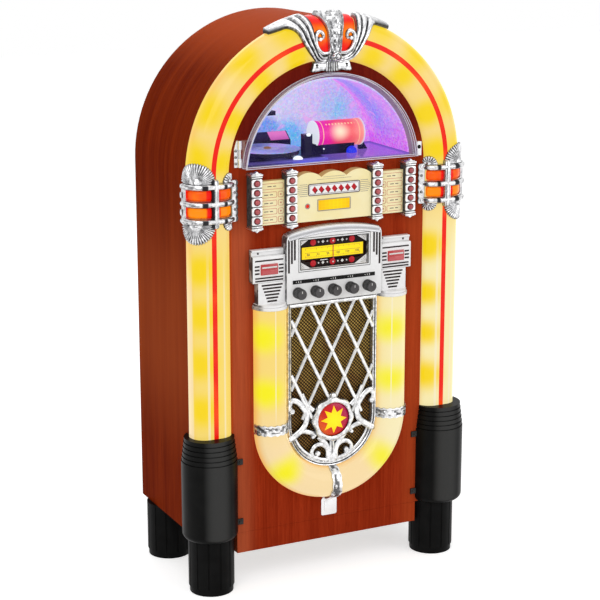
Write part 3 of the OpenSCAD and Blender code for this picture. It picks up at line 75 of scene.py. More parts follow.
class Sock:
    """A shader socket on which Python operators add Math nodes."""

    def __init__(self, graph: "Graph", socket: bpy.types.NodeSocket) -> None:
        """Keeps the socket and the graph that it belongs to."""
        self.graph = graph
        self.socket = socket

    def math(self, operation: str, *others: Operand) -> "Sock":
        """Adds a Math node that starts with this socket.

        Args:
            operation: Operation of the Math node.
            others: The operands after this one.

        Returns:
            The socket of the result.
        """
        return self.graph.node("ShaderNodeMath", {"operation": operation}, dict(enumerate((self, *others))))

    __add__, __radd__ = operator("ADD"), operator("ADD", True)
    __sub__, __rsub__ = operator("SUBTRACT"), operator("SUBTRACT", True)
    __mul__, __rmul__ = operator("MULTIPLY"), operator("MULTIPLY", True)
    __truediv__ = operator("DIVIDE")

    def step(self, low: float, high: float) -> "Sock":
        """Rises smoothly from 0 at low to 1 at high.

        Args:
            low: Value at which the result is still 0.
            high: Value from which the result is 1.

        Returns:
            The socket of the result.
        """
        return self.graph.node("ShaderNodeMapRange", {"interpolation_type": "SMOOTHSTEP"},
                               {0: self, 1: low, 2: high, 3: 0.0, 4: 1.0})


class Graph:
    """The nodes of one material or of the world."""

    def __init__(self, tree: bpy.types.NodeTree, shader: str, output: str) -> None:
        """Empties the tree and joins one shader to its output.

        Args:
            tree: Node tree to fill.
            shader: Type of the shader node.
            output: Type of the output node.
        """
        tree.nodes.clear()
        self.tree = tree
        self.shader = tree.nodes.new(shader)
        self.output = tree.nodes.new(output)
        tree.links.new(self.shader.outputs[0], self.output.inputs["Surface"])

    def feed(self, socket: bpy.types.NodeSocket, value: Value) -> None:
        """Links a socket or sets its value.

        Args:
            socket: Input to feed.
            value: Another socket, a number, a colour or a vector.
        """
        if isinstance(value, Sock):
            self.tree.links.new(value.socket, socket)
        elif socket.type == "RGBA":
            socket.default_value = (*value, 1.0)
        else:
            socket.default_value = value

    def node(self, kind: str, settings: dict | None = None, sockets: dict | None = None,
             output: int | str = 0) -> Sock:
        """Adds any node.

        Args:
            kind: Type of the node.
            settings: Its own settings, with "stops" for those of a colour ramp.
            sockets: Values or links of its inputs by name or number.
            output: The output to hand back.

        Returns:
            That output.
        """
        node = self.tree.nodes.new(kind)
        for key, value in (settings or {}).items():
            if key == "stops":
                ramp = node.color_ramp
                while len(ramp.elements) < len(value):
                    ramp.elements.new(1.0)
                for element, (place, colour) in zip(ramp.elements, value):
                    element.position = place
                    element.color = (*colour, 1.0)
            else:
                setattr(node, key, value)
        for key, value in (sockets or {}).items():
            self.feed(node.inputs[key], value)
        return Sock(self, node.outputs[output])

    def surface(self, sockets: dict[str, Value]) -> None:
        """Feeds the shader's own sockets by name."""
        for key, value in sockets.items():
            self.feed(self.shader.inputs[key], value)

    def place(self) -> Sock:
        """Gives Object coordinates."""
        return self.node("ShaderNodeTexCoord", output="Object")

    def axes(self, vector: Sock | None = None) -> tuple[Sock, Sock, Sock]:
        """Splits a vector, or Object coordinates, into three values.

        Args:
            vector: The vector to split.

        Returns:
            Its x, y and z.
        """
        first = self.node("ShaderNodeSeparateXYZ", None, {0: vector or self.place()})
        outputs = first.socket.node.outputs
        return first, Sock(self, outputs[1]), Sock(self, outputs[2])

    def join(self, x: Value, y: Value, z: Value) -> Sock:
        """Makes a vector of three values."""
        return self.node("ShaderNodeCombineXYZ", None, {0: x, 1: y, 2: z})

    def normal(self) -> tuple[Sock, Sock, Sock]:
        """Gives the surface's direction as three values."""
        return self.axes(self.node("ShaderNodeNewGeometry", output="Normal"))

    def noise(self, stretch: Point | float, detail: float = 3.0, rough: float = 0.5, warp: float = 0.0,
              vector: Sock | None = None) -> Sock:
        """Adds a noise texture.

        Args:
            stretch: Lumps to the metre, one or one for each axis.
            detail: Detail of the noise.
            rough: Share of the fine detail.
            warp: Distortion of the noise.
            vector: Coordinates to use in place of Object coordinates.

        Returns:
            The noise's value.
        """
        lumps = (stretch,) * 3 if isinstance(stretch, float) else stretch
        scaled = self.node("ShaderNodeVectorMath", {"operation": "MULTIPLY"}, {0: vector or self.place(), 1: lumps})
        return self.node("ShaderNodeTexNoise", None, {"Vector": scaled, "Scale": 1.0, "Detail": detail,
                                                      "Roughness": rough, "Distortion": warp})

    def cells(self, scale: float, output: str = "Distance") -> Sock:
        """Adds a cell texture and gives one of its outputs."""
        return self.node("ShaderNodeTexVoronoi", None, {"Vector": self.place(), "Scale": scale}, output)

    def near(self, point: Point, reach: float) -> Sock:
        """Falls smoothly from 1 at a point to 0 at a distance.

        Args:
            point: The point, in metres.
            reach: The distance, in metres.

        Returns:
            The socket of the result.
        """
        gap = self.node("ShaderNodeVectorMath", {"operation": "DISTANCE"}, {0: self.place(), 1: point}, "Value")
        return 1.0 - gap.step(0.0, reach)

    def seen(self) -> Sock:
        """Tells the rays of the camera, of mirrors and of glass from the rest.

        Returns:
            1 for these rays and 0 for the others.
        """
        path = self.node("ShaderNodeLightPath", output="Is Camera Ray")
        outs = path.socket.node.outputs
        mirrored = path.math("MAXIMUM", Sock(self, outs["Is Glossy Ray"]))
        return mirrored.math("MAXIMUM", Sock(self, outs["Is Transmission Ray"]))

    def mix(self, share: Value, first: Value, second: Value) -> Sock:
        """Mixes two colours.

        Args:
            share: Share of the second colour.
            first: First colour.
            second: Second colour.

        Returns:
            The mixed colour.
        """
        return self.node("ShaderNodeMix", {"data_type": "RGBA"}, {0: share, 6: first, 7: second}, 2)

    def ramp(self, value: Value, stops: Stops) -> Sock:
        """Looks a colour up on a ramp."""
        return self.node("ShaderNodeValToRGB", {"stops": stops}, {0: value})

    def bump(self, height: Sock, strength: float, depth: float) -> Sock:
        """Turns a height into a surface direction."""
        return self.node("ShaderNodeBump", None, {"Height": height, "Strength": strength, "Distance": depth})

    def shade(self) -> Sock:
        """Gives the shade that the meshes carry for each point."""
        return self.node("ShaderNodeAttribute", {"attribute_name": "shade"}, None, "Fac")


class Finish:
    """A finish that makes its material once."""

    made: ClassVar[dict[str, bpy.types.Material]] = {}
    name: str

    def dress(self, g: Graph) -> None:
        """Fills the material's nodes."""
        raise NotImplementedError

    def material(self) -> bpy.types.Material:
        """Gives the finish's material and makes it on the first call.

        Returns:
            The material.
        """
        if self.name not in Finish.made:
            material = bpy.data.materials.new(self.name)
            material.use_nodes = True
            self.dress(Graph(material.node_tree, "ShaderNodeBsdfPrincipled", "ShaderNodeOutputMaterial"))
            Finish.made[self.name] = material
        return Finish.made[self.name]


class Grain(Enum):
    """Way that a veneer's grain runs."""

    UPRIGHT = "upright"
    ROUND_ARCH = "round_arch"


@dataclass(frozen=True)
class Veneer(Finish):
    """Stained wood veneer under a satin lacquer, with painted light and shade on it."""

    name: str
    dark: Colour
    light: Colour
    grain: Grain
    # Height in metres from which the painted shade over the arch starts.
    shade_from: float = 9.0
    # Strength of the painted light from the tubes and from the display.
    glow: float = 0.0
    # Softens the grain's streaks, and sets the strength of the painted light in the side's middle and on its top.
    soft_grain_and_painted_light: float = 0.0
    arch_z: float = 0.782
    arch_r: float = 0.271
    # Colour of the painted shade over the arch.
    shade_and_age: Colour = (0.085, 0.004, 0.006)
    lit_left: Colour = (0.64, 0.15, 0.060)
    lit_right: Colour = (0.56, 0.085, 0.022)
    # Colours of the painted light on the side and of the painted sheen on faces that look up.
    lit_side: Colour = (0.43, 0.080, 0.020)
    sheen_top: Colour = (0.50, 0.072, 0.014)
    # Colours of the display's painted lilac glow round the door.
    lilac_left: Colour = (0.13, 0.05, 0.15)
    lilac_right: Colour = (0.40, 0.31, 0.50)

    def along(self, g: Graph) -> Sock:
        """Gives coordinates whose z follows the grain.

        Args:
            g: Graph of the material.

        Returns:
            The coordinates.
        """
        if self.grain is Grain.UPRIGHT:
            return g.place()
        x, y, z = g.axes()
        over = (z - self.arch_z).math("MAXIMUM", 0.0)
        drop = (self.arch_z - z).math("MAXIMUM", 0.0) * x.math("SIGN")
        return g.join(y, y * 0.3, over.math("ARCTAN2", x) * self.arch_r - drop)

    def dress(self, g: Graph) -> None:
        """Lays streaks, pores and a light bump along the grain, and paints light and shade: painted shade over the
        arch, the tubes' light beside the columns, light in the side's middle with a sheen on its top, and the display's
        lilac glow round the door.
        """
        way = self.along(g)
        fine = g.noise((260.0, 260.0, 8.0), 4.0, 0.6, 0.2, way)
        broad = g.noise((38.0, 38.0, 1.6), 3.0, 0.5, 0.5, way)
        pores = g.noise((1100.0, 1100.0, 42.0), 2.0, 0.5, 0.0, way)
        streak = (fine * 0.5 + broad * 0.5).step(0.36 - self.soft_grain_and_painted_light * 0.06, 0.66 + self.soft_grain_and_painted_light * 0.06)
        stain = g.mix(streak, self.dark, self.light)
        deep = tuple(0.35 * c for c in self.dark)
        colour = g.mix(pores.step(0.56, 0.7) * 0.35, stain, deep)
        x, _, z = g.axes()
        # Painted shade: the wood darkens towards deep maroon above a set height, over the arch.
        shade_and_age = g.mix((z - self.shade_from).step(0.0, 0.06) * 0.7, colour, self.shade_and_age)
        # Painted light: the tubes' glow lightens a band of the front beside the columns, below the arch.
        wide = x.math("ABSOLUTE")
        band = wide.step(0.145, 0.18) * (1.0 - wide.step(0.18, 0.23) * 0.75)
        beside = band * (1.0 - z.step(0.66, 0.8)) * (0.6 + fine * 0.6)
        share = beside * (self.glow * 0.75)
        warm = g.mix(share, shade_and_age, g.mix(x.step(-0.05, 0.05), self.lit_left, self.lit_right))
        # Painted light: the wood lightens in its middle heights, and a painted sheen lies on the faces that look up.
        _, _, up = g.normal()
        middle = z.step(0.2, 0.45) * (1.0 - z.step(0.5, 0.78)) * (0.5 + broad * 0.6)
        share = (middle * 0.75 + up.step(0.6, 0.95) * 0.8) * self.soft_grain_and_painted_light
        lit_middle_and_top = g.mix(share, warm, g.mix(up.step(0.2, 0.6), self.lit_side, self.sheen_top))
        # Painted light: the display's lilac glow on a thin ring of wood at the door's rim.
        far = (x * x + (z - self.arch_z) * (z - self.arch_z)).math("SQRT")
        door_rim_glow = (1.0 - far.step(0.1745, 0.1775)) * z.step(0.794, 0.798) * self.glow
        lilac = g.mix(x.step(-0.1, 0.1), self.lilac_left, self.lilac_right)
        g.surface({"Base Color": g.mix(door_rim_glow, lit_middle_and_top, lilac), "Roughness": 0.45 + fine * 0.12,
                   "Specular IOR Level": 0.004,
                   "Normal": g.bump(fine + pores, 0.08, 0.0004)})


@dataclass(frozen=True)
class RawBoard(Finish):
    """Pressed board without veneer."""

    name: str
    dark: Colour
    light: Colour

    def dress(self, g: Graph) -> None:
        """Scatters chips of two tones."""
        chips = g.noise(420.0, 3.0, 0.7)
        broad = g.noise(25.0, 2.0)
        g.surface({"Base Color": g.mix((chips * 0.7 + broad * 0.3).step(0.35, 0.65), self.dark, self.light),
                   "Roughness": 0.7 + chips * 0.2, "Normal": g.bump(chips, 0.15, 0.0005)})


@dataclass(frozen=True)
class LitTube(Finish):
    """Milky plastic tube with a row of lamps glowing through it."""

    name: str
    cream: Colour
    glow: Colour
    edge: Colour
    lamps: tuple[tuple[float, float, float, float], ...]
    pale: Colour
    pale_x: tuple[float, float]
    pale_z: tuple[float, float]
    # Strength of the painted glint line down the U tube's legs.
    line: float = 0.0
    gleams: tuple[float, ...] = ()
    power: float = 0.78
    right_cream: Colour = (1.0, 0.95, 0.60)
    glint_colour: Colour = (1.0, 0.95, 0.80)
    gleam_colour: Colour = (1.0, 0.93, 0.74)
    unlit: Colour = (0.04, 0.02, 0.002)

    def dress(self, g: Graph) -> None:
        """Warms the tube round each lamp and lets it shine, and paints glint lines on it as painted highlights."""
        heat: Sock | float = 0.0
        for x, y, z, reach in self.lamps:
            spot = g.near((x * MM, y * MM, z * MM), reach * MM)
            heat = spot if isinstance(heat, float) else heat.math("MAXIMUM", spot)
        cloud = g.noise(14.0, 2.0)
        warm = (heat * (0.75 + cloud * 0.6)).step(0.02, 0.98)
        nx, ny, _ = g.normal()
        x, _, z = g.axes()
        faded = x.step(*self.pale_x) * (1.0 - z.step(*self.pale_z))
        turned = (1.0 - ny.math("ABSOLUTE")).step(0.3, 1.0)
        right = x.step(0.06, 0.12) * (1.0 - z.step(0.6, 0.72)) * 0.7
        cream = g.mix(right, g.mix(faded, self.cream, self.pale), self.right_cream)
        milk = g.mix(turned * 0.75, cream, self.edge)
        lit = g.mix(warm * (1.0 - turned * 0.25), milk, self.glow)
        # Painted highlight: a thin glint line down the U tube's legs, set by the surface's direction.
        glint = 1.0 - (nx + 0.06 + x.step(-0.02, 0.02) * 0.26).math("ABSOLUTE").step(0.015, 0.05)
        colour = g.mix(glint * z.step(0.31, 0.36) * self.line, lit, self.glint_colour)
        # Painted highlights: glint lines down the lower columns, set by the surface's direction.
        for way in self.gleams:
            gleam = 1.0 - (nx - way).math("ABSOLUTE").step(0.03, 0.09)
            colour = g.mix(gleam * (1.0 - z.step(0.54, 0.68)) * 0.5, colour, self.gleam_colour)
        body = g.mix(0.85, colour, self.unlit)
        g.surface({"Base Color": body, "Roughness": 0.12 + cloud * 0.06, "Emission Color": colour,
                   "Emission Strength": self.power, "Specular IOR Level": 0.24})


@dataclass(frozen=True)
class LitColour(Finish):
    """Coloured plastic that glows, some of it lit from behind and some of it given painted light, with a shade for each
    point between two colours.
    """

    name: str
    edge: Colour
    middle: Colour
    power: float
    rough: float = 0.2
    mottle: float = 60.0

    def dress(self, g: Graph) -> None:
        """Runs from the edge colour to the middle colour by the mesh's shade."""
        cloud = g.noise(self.mottle, 2.0)
        share = (g.shade() + cloud * 0.3 - 0.15).step(0.05, 0.95)
        colour = g.mix(share, self.edge, self.middle)
        g.surface({"Base Color": g.mix(0.75, colour, (0.03, 0.0, 0.0)), "Roughness": self.rough + cloud * 0.1,
                   "Emission Color": colour, "Emission Strength": self.power, "Specular IOR Level": 0.2})


@dataclass(frozen=True)
class RedStripe(Finish):
    """Red plastic strip lit by the lamps beside it."""

    name: str
    deep: Colour = (0.84, 0.012, 0.003)
    bright: Colour = (1.0, 0.09, 0.004)
    power: float = 0.8

    def dress(self, g: Graph) -> None:
        """Brightens the strip in patches."""
        cloud = g.noise(11.0, 2.0).step(0.42, 0.68)
        colour = g.mix(cloud, self.deep, self.bright)
        g.surface({"Base Color": g.mix(0.8, colour, (0.1, 0.0, 0.0)), "Roughness": 0.22 + cloud * 0.05,
                   "Emission Color": colour, "Emission Strength": self.power, "Specular IOR Level": 0.2})


@dataclass(frozen=True)
class Plated(Finish):
    """Bright plating with painted shade in its grooves and painted dark reflections where it turns."""

    name: str
    bright: Colour = (0.86, 0.86, 0.87)
    dark: Colour = (0.025, 0.025, 0.028)
    mid: Colour = (0.34, 0.34, 0.35)
    rough: float = 0.14
    mottle: float = 0.5
    grain: float = 150.0
    # Strength of the painted dark reflections.
    contrast: float = 0.85

    def dress(self, g: Graph) -> None:
        """Darkens the points with a low shade as painted shade, and the turns that mirror what lies round about as
        painted dark reflections.
        """
        wear = g.noise(70.0, 3.0)
        x, _, z = g.normal()
        blot = g.noise(self.grain, 2.0, 0.5, 0.6).step(0.36, 0.64)
        # Painted reflection: dark streaks where the surface tilts a little down and where it turns half sideways, as if
        # it mirrored dark surroundings.
        under = 1.0 - (z + 0.34 + (wear - 0.5) * 0.3).math("ABSOLUTE").step(0.06, 0.2)
        side_reflection = 1.0 - (x.math("ABSOLUTE") - 0.72).math("ABSOLUTE").step(0.06, 0.2)
        streak = under.math("MAXIMUM", side_reflection * 0.8) * (0.35 + blot * 0.65) * self.contrast
        # Painted shade: the mesh's low shades darken grooves and recesses.
        share = (g.shade() + wear * 0.16 - 0.08).step(0.0, 0.9) * (1.0 - streak)
        tone = g.mix(blot * self.mottle, self.bright, self.mid)
        g.surface({"Base Color": g.mix(share, self.dark, tone), "Metallic": 0.9, "Specular IOR Level": 0.2,
                   "Roughness": self.rough + (1.0 - share) * 0.25 + wear * 0.05})


@dataclass(frozen=True)
class SilverCoat(Finish):
    """Silver-white coating on moulded plastic, which does not read the meshes' shade but paints its own shade by the
    surface's direction.
    """

    name: str
    colour: Colour
    metal: float
    rough: float
    # Strength of the painted shade on turned faces.
    side: float = 0.0

    def dress(self, g: Graph) -> None:
        """Mottles the coating lightly, and paints mottled shade and dark reflections where it turns sideways, faces
        down and faces partly up.
        """
        cloud = g.noise(55.0, 4.0)
        fine = g.noise(900.0, 2.0)
        x, _, z = g.normal()
        blot = g.noise((90.0, 60.0, 60.0), 3.0, 0.6, 0.8).step(0.36, 0.56)
        # Painted shade and reflection: darker, mottled, where the surface turns sideways, faces down and faces partly
        # up.
        turned = x.math("ABSOLUTE").step(0.6, 0.9) * (0.55 + blot * 0.43)
        under = (z * -1.0).step(0.2, 0.7) * 0.7 + z.step(0.25, 0.6) * (1.0 - z.step(0.9, 1.0)) * 0.4
        dull = tuple(0.95 * c for c in self.colour)
        plain = g.mix(cloud.step(0.3, 0.7), dull, self.colour)
        g.surface({"Base Color": g.mix(turned.math("MAXIMUM", under) * self.side, plain, (0.03, 0.03, 0.033)),
                   "Metallic": self.metal,
                   "Roughness": self.rough + cloud * 0.1, "Normal": g.bump(fine, 0.04, 0.0002)})


@dataclass(frozen=True)
class Moulded(Finish):
    """Moulded plastic with a fine grain."""

    name: str
    dark: Colour
    light: Colour
    rough: float = 0.35
    grain: float = 1400.0
    coat: float = 0.0
    shine: float = 0.5
    # Strength of the painted highlight on faces that look to the front.
    face: float = 0.0

    def dress(self, g: Graph) -> None:
        """Gives two close tones and a fine bump, and a painted highlight on the faces that look to the front."""
        cloud = g.noise(28.0, 3.0)
        fine = g.noise(self.grain, 2.0)
        x, y, _ = g.normal()
        # Painted highlight: the faces that look to the front are lightened.
        lit = (x * -0.08 - y * 0.997).step(0.84, 1.0) * self.face
        g.surface({"Base Color": g.mix(lit, g.mix(cloud.step(0.3, 0.7), self.dark, self.light), (0.050, 0.050, 0.049)),
                   "Roughness": self.rough + fine * 0.12 - 0.06, "Coat Weight": self.coat,
                   "Specular IOR Level": self.shine, "Normal": g.bump(fine, 0.08, 0.0002)})


@dataclass(frozen=True)
class Acrylic(Finish):
    """Clear sheet, more opaque in its walls than in its pane, as painted reflection of the walls."""

    name: str
    pane: float
    wall: float
    tint: Colour = (0.80, 0.82, 0.92)

    def dress(self, g: Graph) -> None:
        """Lets the pane through and shows the walls."""
        _, y, _ = g.normal()
        facing = y.math("ABSOLUTE").step(0.3, 0.9)
        haze = g.noise(20.0, 2.0)
        # Painted reflection: the walls are shown more opaque than the pane.
        g.surface({"Base Color": self.tint, "Roughness": 0.05 + haze * 0.04, "Specular IOR Level": 0.12,
                   "Alpha": self.wall + facing * (self.pane - self.wall) + haze * 0.004})


@dataclass(frozen=True)
class Glitter(Finish):
    """Lit foil of the display, in blotches of blue, violet and pink with fine sparkles."""

    name: str
    half: float = 0.16
    arch_z: float = 0.782
    floor_z: float = 0.8015
    power: float = 0.78

    def dress(self, g: Graph) -> None:
        """Blends the colours over the back wall and round the arch, scatters sparkles, and paints the box's floor with
        the display's light and a shadow under the disc.
        """
        x, y, z = g.axes()
        _, turned, _ = g.normal()
        blotch = g.noise((20.0, 20.0, 24.0), 4.0, 0.6, 0.6)
        across = (x + self.half) / (2.0 * self.half) + (blotch - 0.5) * 0.25
        wall = g.ramp(across, ((0.0, (0.30, 0.36, 0.86)), (0.3, (0.70, 0.70, 0.96)), (0.5, (0.64, 0.62, 0.95)),
                               (0.65, (0.66, 0.56, 0.95)),
                               (0.8, (0.50, 0.46, 0.93)), (0.9, (0.58, 0.36, 0.92)), (1.0, (0.72, 0.18, 0.90))))
        blue = g.near((-0.058, 0.03, 0.838), 0.042).step(0.0, 0.7)
        cyan = g.near((-0.012, 0.03, 0.816), 0.062).step(0.0, 0.8)
        tint = g.mix(blue * 0.9, g.mix(g.near((0.087, 0.03, 0.868), 0.05) * blotch.step(0.35, 0.6), wall,
                                       (0.16, 0.60, 0.92)), (0.03, 0.24, 0.84))
        tinted = g.mix(cyan * 0.9, tint, (0.0, 0.46, 1.0))
        deep = (0.029 - y) / 0.147 + (blotch - 0.5) * 0.3
        side = g.ramp(deep, ((0.0, (0.80, 0.20, 0.90)), (0.12, (0.74, 0.16, 0.90)), (0.24, (0.40, 0.20, 0.91)),
                             (0.4, (0.25, 0.19, 0.92)),
                             (0.6, (0.46, 0.22, 0.93)), (0.85, (0.68, 0.23, 0.92)), (1.0, (0.60, 0.24, 0.92))))
        rise = (z - self.arch_z).math("ARCTAN2", x) / math.pi
        bow = g.mix(1.0 - rise.step(0.03, 0.16), side, (0.68, 0.07, 0.88))
        foil = g.mix(turned.math("ABSOLUTE").step(0.4, 0.7), bow, tinted)
        specks = g.mix(0.2, foil, g.cells(330.0, "Color"))
        pink = g.mix(g.noise(45.0, 2.0, 0.5, 0.4).step(0.6, 0.7) * 0.5, specks, (0.86, 0.36, 0.82))
        spark = (1.0 - g.cells(380.0).step(0.1, 0.34)) * g.noise(140.0, 2.0).step(0.46, 0.6)
        lit = g.mix(spark * 0.6, pink, (0.94, 0.95, 1.0))
        # Painted light and shadow: the box's floor glows with the display's light and is dark under the disc.
        floor = (self.floor_z - z).step(-0.0006, 0.0004)
        floor_light_and_shadow = g.ramp(across, ((0.1, (0.012, 0.008, 0.06)), (0.28, (0.03, 0.03, 0.30)), (0.36, (0.06, 0.08, 0.72)),
                                 (0.5, (0.10, 0.06, 0.36)),
                                 (0.75, (0.19, 0.09, 0.40)), (1.0, (0.18, 0.08, 0.46))))
        colour = g.mix(floor, lit, floor_light_and_shadow)
        g.surface({"Base Color": g.mix(0.35, (0.02, 0.015, 0.05), colour), "Roughness": 0.5 - floor * 0.38,
                   "Specular IOR Level": 0.12,
                   "Emission Color": colour, "Emission Strength": self.power})


@dataclass(frozen=True)
class DeckGloss(Finish):
    """Dark gloss plastic that takes up the display's violet light at the front of the floor."""

    name: str
    dark: Colour = (0.004, 0.003, 0.014)
    light: Colour = (0.014, 0.010, 0.052)
    violet: Colour = (0.075, 0.055, 0.22)
    blue: Colour = (0.14, 0.12, 0.58)

    def dress(self, g: Graph) -> None:
        """Lights what lies low and far forward, more so towards the right."""
        x, y, z = g.axes()
        cloud = g.noise((45.0, 45.0, 14.0), 3.0)
        strip = (1.0 - y.step(-0.112, -0.092)) * (1.0 - z.step(0.8045, 0.8085)) * (0.55 + cloud * 0.8)
        glow = g.mix(x.step(-0.15, -0.03), self.violet, self.blue)
        colour = g.mix(strip.step(0.0, 1.0), g.mix(cloud.step(0.3, 0.7), self.dark, self.light), glow)
        g.surface({"Base Color": g.mix(0.6, colour, self.dark), "Roughness": 0.18 + cloud * 0.06,
                   "Emission Color": colour,
                   "Emission Strength": 0.7, "Specular IOR Level": 0.14})


@dataclass(frozen=True)
class DiscSilver(Finish):
    """Play side of a disc, with colours that run round it as painted reflections of the display's light."""

    name: str
    centre: tuple[float, float, float]
    power: float = 0.3

    def dress(self, g: Graph) -> None:
        """Turns blue, violet and silver round the disc's centre as painted reflections, and lets them glow as painted
        light.
        """
        x, y, _ = g.axes()
        turn = (y - self.centre[1]).math("ARCTAN2", x - self.centre[0]) / math.tau + 0.5
        wave = (turn * (4.0 * math.pi)).math("SINE") * 0.5 + 0.5
        sheen = g.noise(35.0, 3.0)
        base = g.ramp(wave * 0.6 + sheen * 0.4, ((0.0, (0.05, 0.03, 0.22)), (0.4, (0.10, 0.12, 0.46)),
                                                 (0.7, (0.26, 0.30, 0.70)), (1.0, (0.58, 0.56, 0.88))))
        specks = g.mix(0.28, base, g.cells(420.0, "Color"))
        spark = (1.0 - g.cells(300.0).step(0.1, 0.3)) * sheen.step(0.4, 0.6)
        colour = g.mix(spark * 0.5, specks, (0.85, 0.88, 1.0))
        # Painted light: the disc glows with its painted reflections.
        g.surface({"Base Color": colour, "Metallic": 0.6, "Roughness": 0.25 + sheen * 0.1,
                   "Emission Color": colour, "Emission Strength": self.power})


@dataclass(frozen=True)
class LitDrum(Finish):
    """Paper drum with a lamp inside, magenta at one end and coral at the other."""

    name: str
    low: float
    high: float
    spot: tuple[float, float, float]
    power: float = 0.85

    def dress(self, g: Graph) -> None:
        """Runs the colours along the drum and brightens its lamp."""
        x, _, _ = g.axes()
        cloud = g.noise(40.0, 3.0)
        along = (x - self.low) / (self.high - self.low)
        base = g.ramp(along + (cloud - 0.5) * 0.25,
                      ((0.0, (0.72, 0.008, 0.42)), (0.22, (0.78, 0.012, 0.30)), (0.45, (0.82, 0.03, 0.12)),
                       (0.75, (0.88, 0.13, 0.13)), (1.0, (0.92, 0.32, 0.28))))
        x, y, z = g.axes()
        rise = (z - 0.8355).math("ARCTAN2", (y + 0.046) * -1.0)
        dots = (x * (math.tau / 0.0066)).math("SINE").step(0.0, 0.5)
        dots = dots * (1.0 - (rise - 0.9).math("ABSOLUTE").step(0.05, 0.1))
        rings = 1.0 - ((along - 0.5).math("ABSOLUTE") - 0.4).math("ABSOLUTE").step(0.006, 0.012)
        marked = g.mix((dots * (1.0 - (along - 0.5).math("ABSOLUTE").step(0.3, 0.34))).math("MAXIMUM", rings * 0.8),
                       base, (0.95, 0.62, 0.30))
        colour = g.mix(g.near(self.spot, 0.026) * 0.9, marked, (1.0, 0.86, 0.60))
        g.surface({"Base Color": g.mix(0.8, colour, (0.1, 0.0, 0.02)), "Roughness": 0.4 + cloud * 0.1,
                   "Emission Color": colour, "Emission Strength": self.power})


@dataclass(frozen=True)
class CreamPanel(Finish):
    """Cream plastic whose upper edges are gold."""

    name: str
    cream: Colour = (0.90, 0.77, 0.38)
    pale: Colour = (0.93, 0.83, 0.50)
    gold: Colour = (0.66, 0.44, 0.14)

    def dress(self, g: Graph) -> None:
        """Mottles the cream and gilds what faces up."""
        _, _, z = g.normal()
        cloud = g.noise(18.0, 3.0)
        fine = g.noise(1200.0, 2.0)
        face = g.mix(cloud.step(0.3, 0.7), self.cream, self.pale)
        g.surface({"Base Color": g.mix(z.step(0.25, 0.7), face, self.gold), "Roughness": 0.34 + fine * 0.1,
                   "Coat Weight": 0.25, "Normal": g.bump(fine, 0.05, 0.0002), "Emission Color": face,
                   "Emission Strength": 0.1})


@dataclass(frozen=True)
class LitDisplay(Finish):
    """Lit yellow display with faint cells, and the red eye beside it."""

    name: str
    eye_edge: float = -0.045
    cell_w: float = 0.0081
    cell_h: float = 0.0062

    def dress(self, g: Graph) -> None:
        """Draws the unlit cells of the display and reddens its eye."""
        x, _, z = g.axes()
        wide = (x / self.cell_w).math("FRACT").math("COMPARE", 0.5, 0.38)
        tall = ((z - 0.7111) / self.cell_h).math("FRACT").math("COMPARE", 0.5, 0.40)
        glow = g.near((0.004, -0.136, 0.7205), 0.045)
        field_colour = g.mix(glow, (0.96, 0.52, 0.002), (1.0, 0.70, 0.004))
        faced = g.mix(wide * tall * 0.16, field_colour, (0.55, 0.36, 0.01))
        colour = g.mix((self.eye_edge - x).step(-0.001, 0.001), faced, (0.75, 0.012, 0.01))
        g.surface({"Base Color": g.mix(0.85, colour, (0.05, 0.02, 0.0)), "Roughness": 0.2 + glow * 0.02,
                   "Specular IOR Level": 0.15,
                   "Emission Color": colour, "Emission Strength": 0.9})


@dataclass(frozen=True)
class Weave(Finish):
    """Loudspeaker cloth woven from brown and gold threads."""

    name: str
    pitch: float = 0.0068
    thread: Colour = (0.56, 0.36, 0.085)
    gap: Colour = (0.020, 0.010, 0.004)
    # Colour of the painted shadow on the lower part.
    low: Colour = (0.20, 0.060, 0.016)

    def dress(self, g: Graph) -> None:
        """Crosses two slanted sets of threads and reddens the lower part as painted shadow."""
        x, _, z = g.axes()
        rising = ((x + z) * (math.tau / self.pitch)).math("SINE")
        falling = ((x - z) * (math.tau / self.pitch)).math("SINE")
        height = (rising * 0.5 + 0.5) * (falling * 0.42 + 0.58)
        cloud = g.noise(30.0, 3.0)
        fibre = g.noise(700.0, 2.0)
        # Painted shadow: the lower part of the cloth turns a dark red-brown.
        red = (0.47 - z + (cloud - 0.5) * 0.1).step(0.0, 0.16)
        shade_and_age = g.mix(cloud.step(0.5, 0.64) * 0.6, self.thread, (0.40, 0.20, 0.05))
        thread = g.mix(red * 0.6, shade_and_age, self.low)
        g.surface({"Base Color": g.mix((height * 0.95 + fibre * 0.2).step(0.14, 0.7), self.gap, thread),
                   "Roughness": 0.75 + fibre * 0.15, "Specular IOR Level": 0.15, "Normal": g.bump(height, 0.5, 0.0008)})


@dataclass(frozen=True)
class MedalRed(Finish):
    """Glossy red disc, orange at its lower left and magenta at its right."""

    name: str
    centre: tuple[float, float, float] = (0.0, -0.14, 0.31)

    def dress(self, g: Graph) -> None:
        """Turns the red across the disc."""
        x, _, z = g.axes()
        cloud = g.noise(45.0, 3.0)
        across = (x - self.centre[0]) * 14.0 + (z - self.centre[2]) * 8.0 + 0.5 + (cloud - 0.5) * 0.4
        colour = g.ramp(across, ((0.0, (0.74, 0.09, 0.002)), (0.4, (0.56, 0.006, 0.002)), (1.0, (0.40, 0.006, 0.07))))
        g.surface({"Base Color": colour, "Roughness": 0.14 + cloud * 0.08, "Specular IOR Level": 0.3,
                   "Emission Color": colour, "Emission Strength": 0.25})


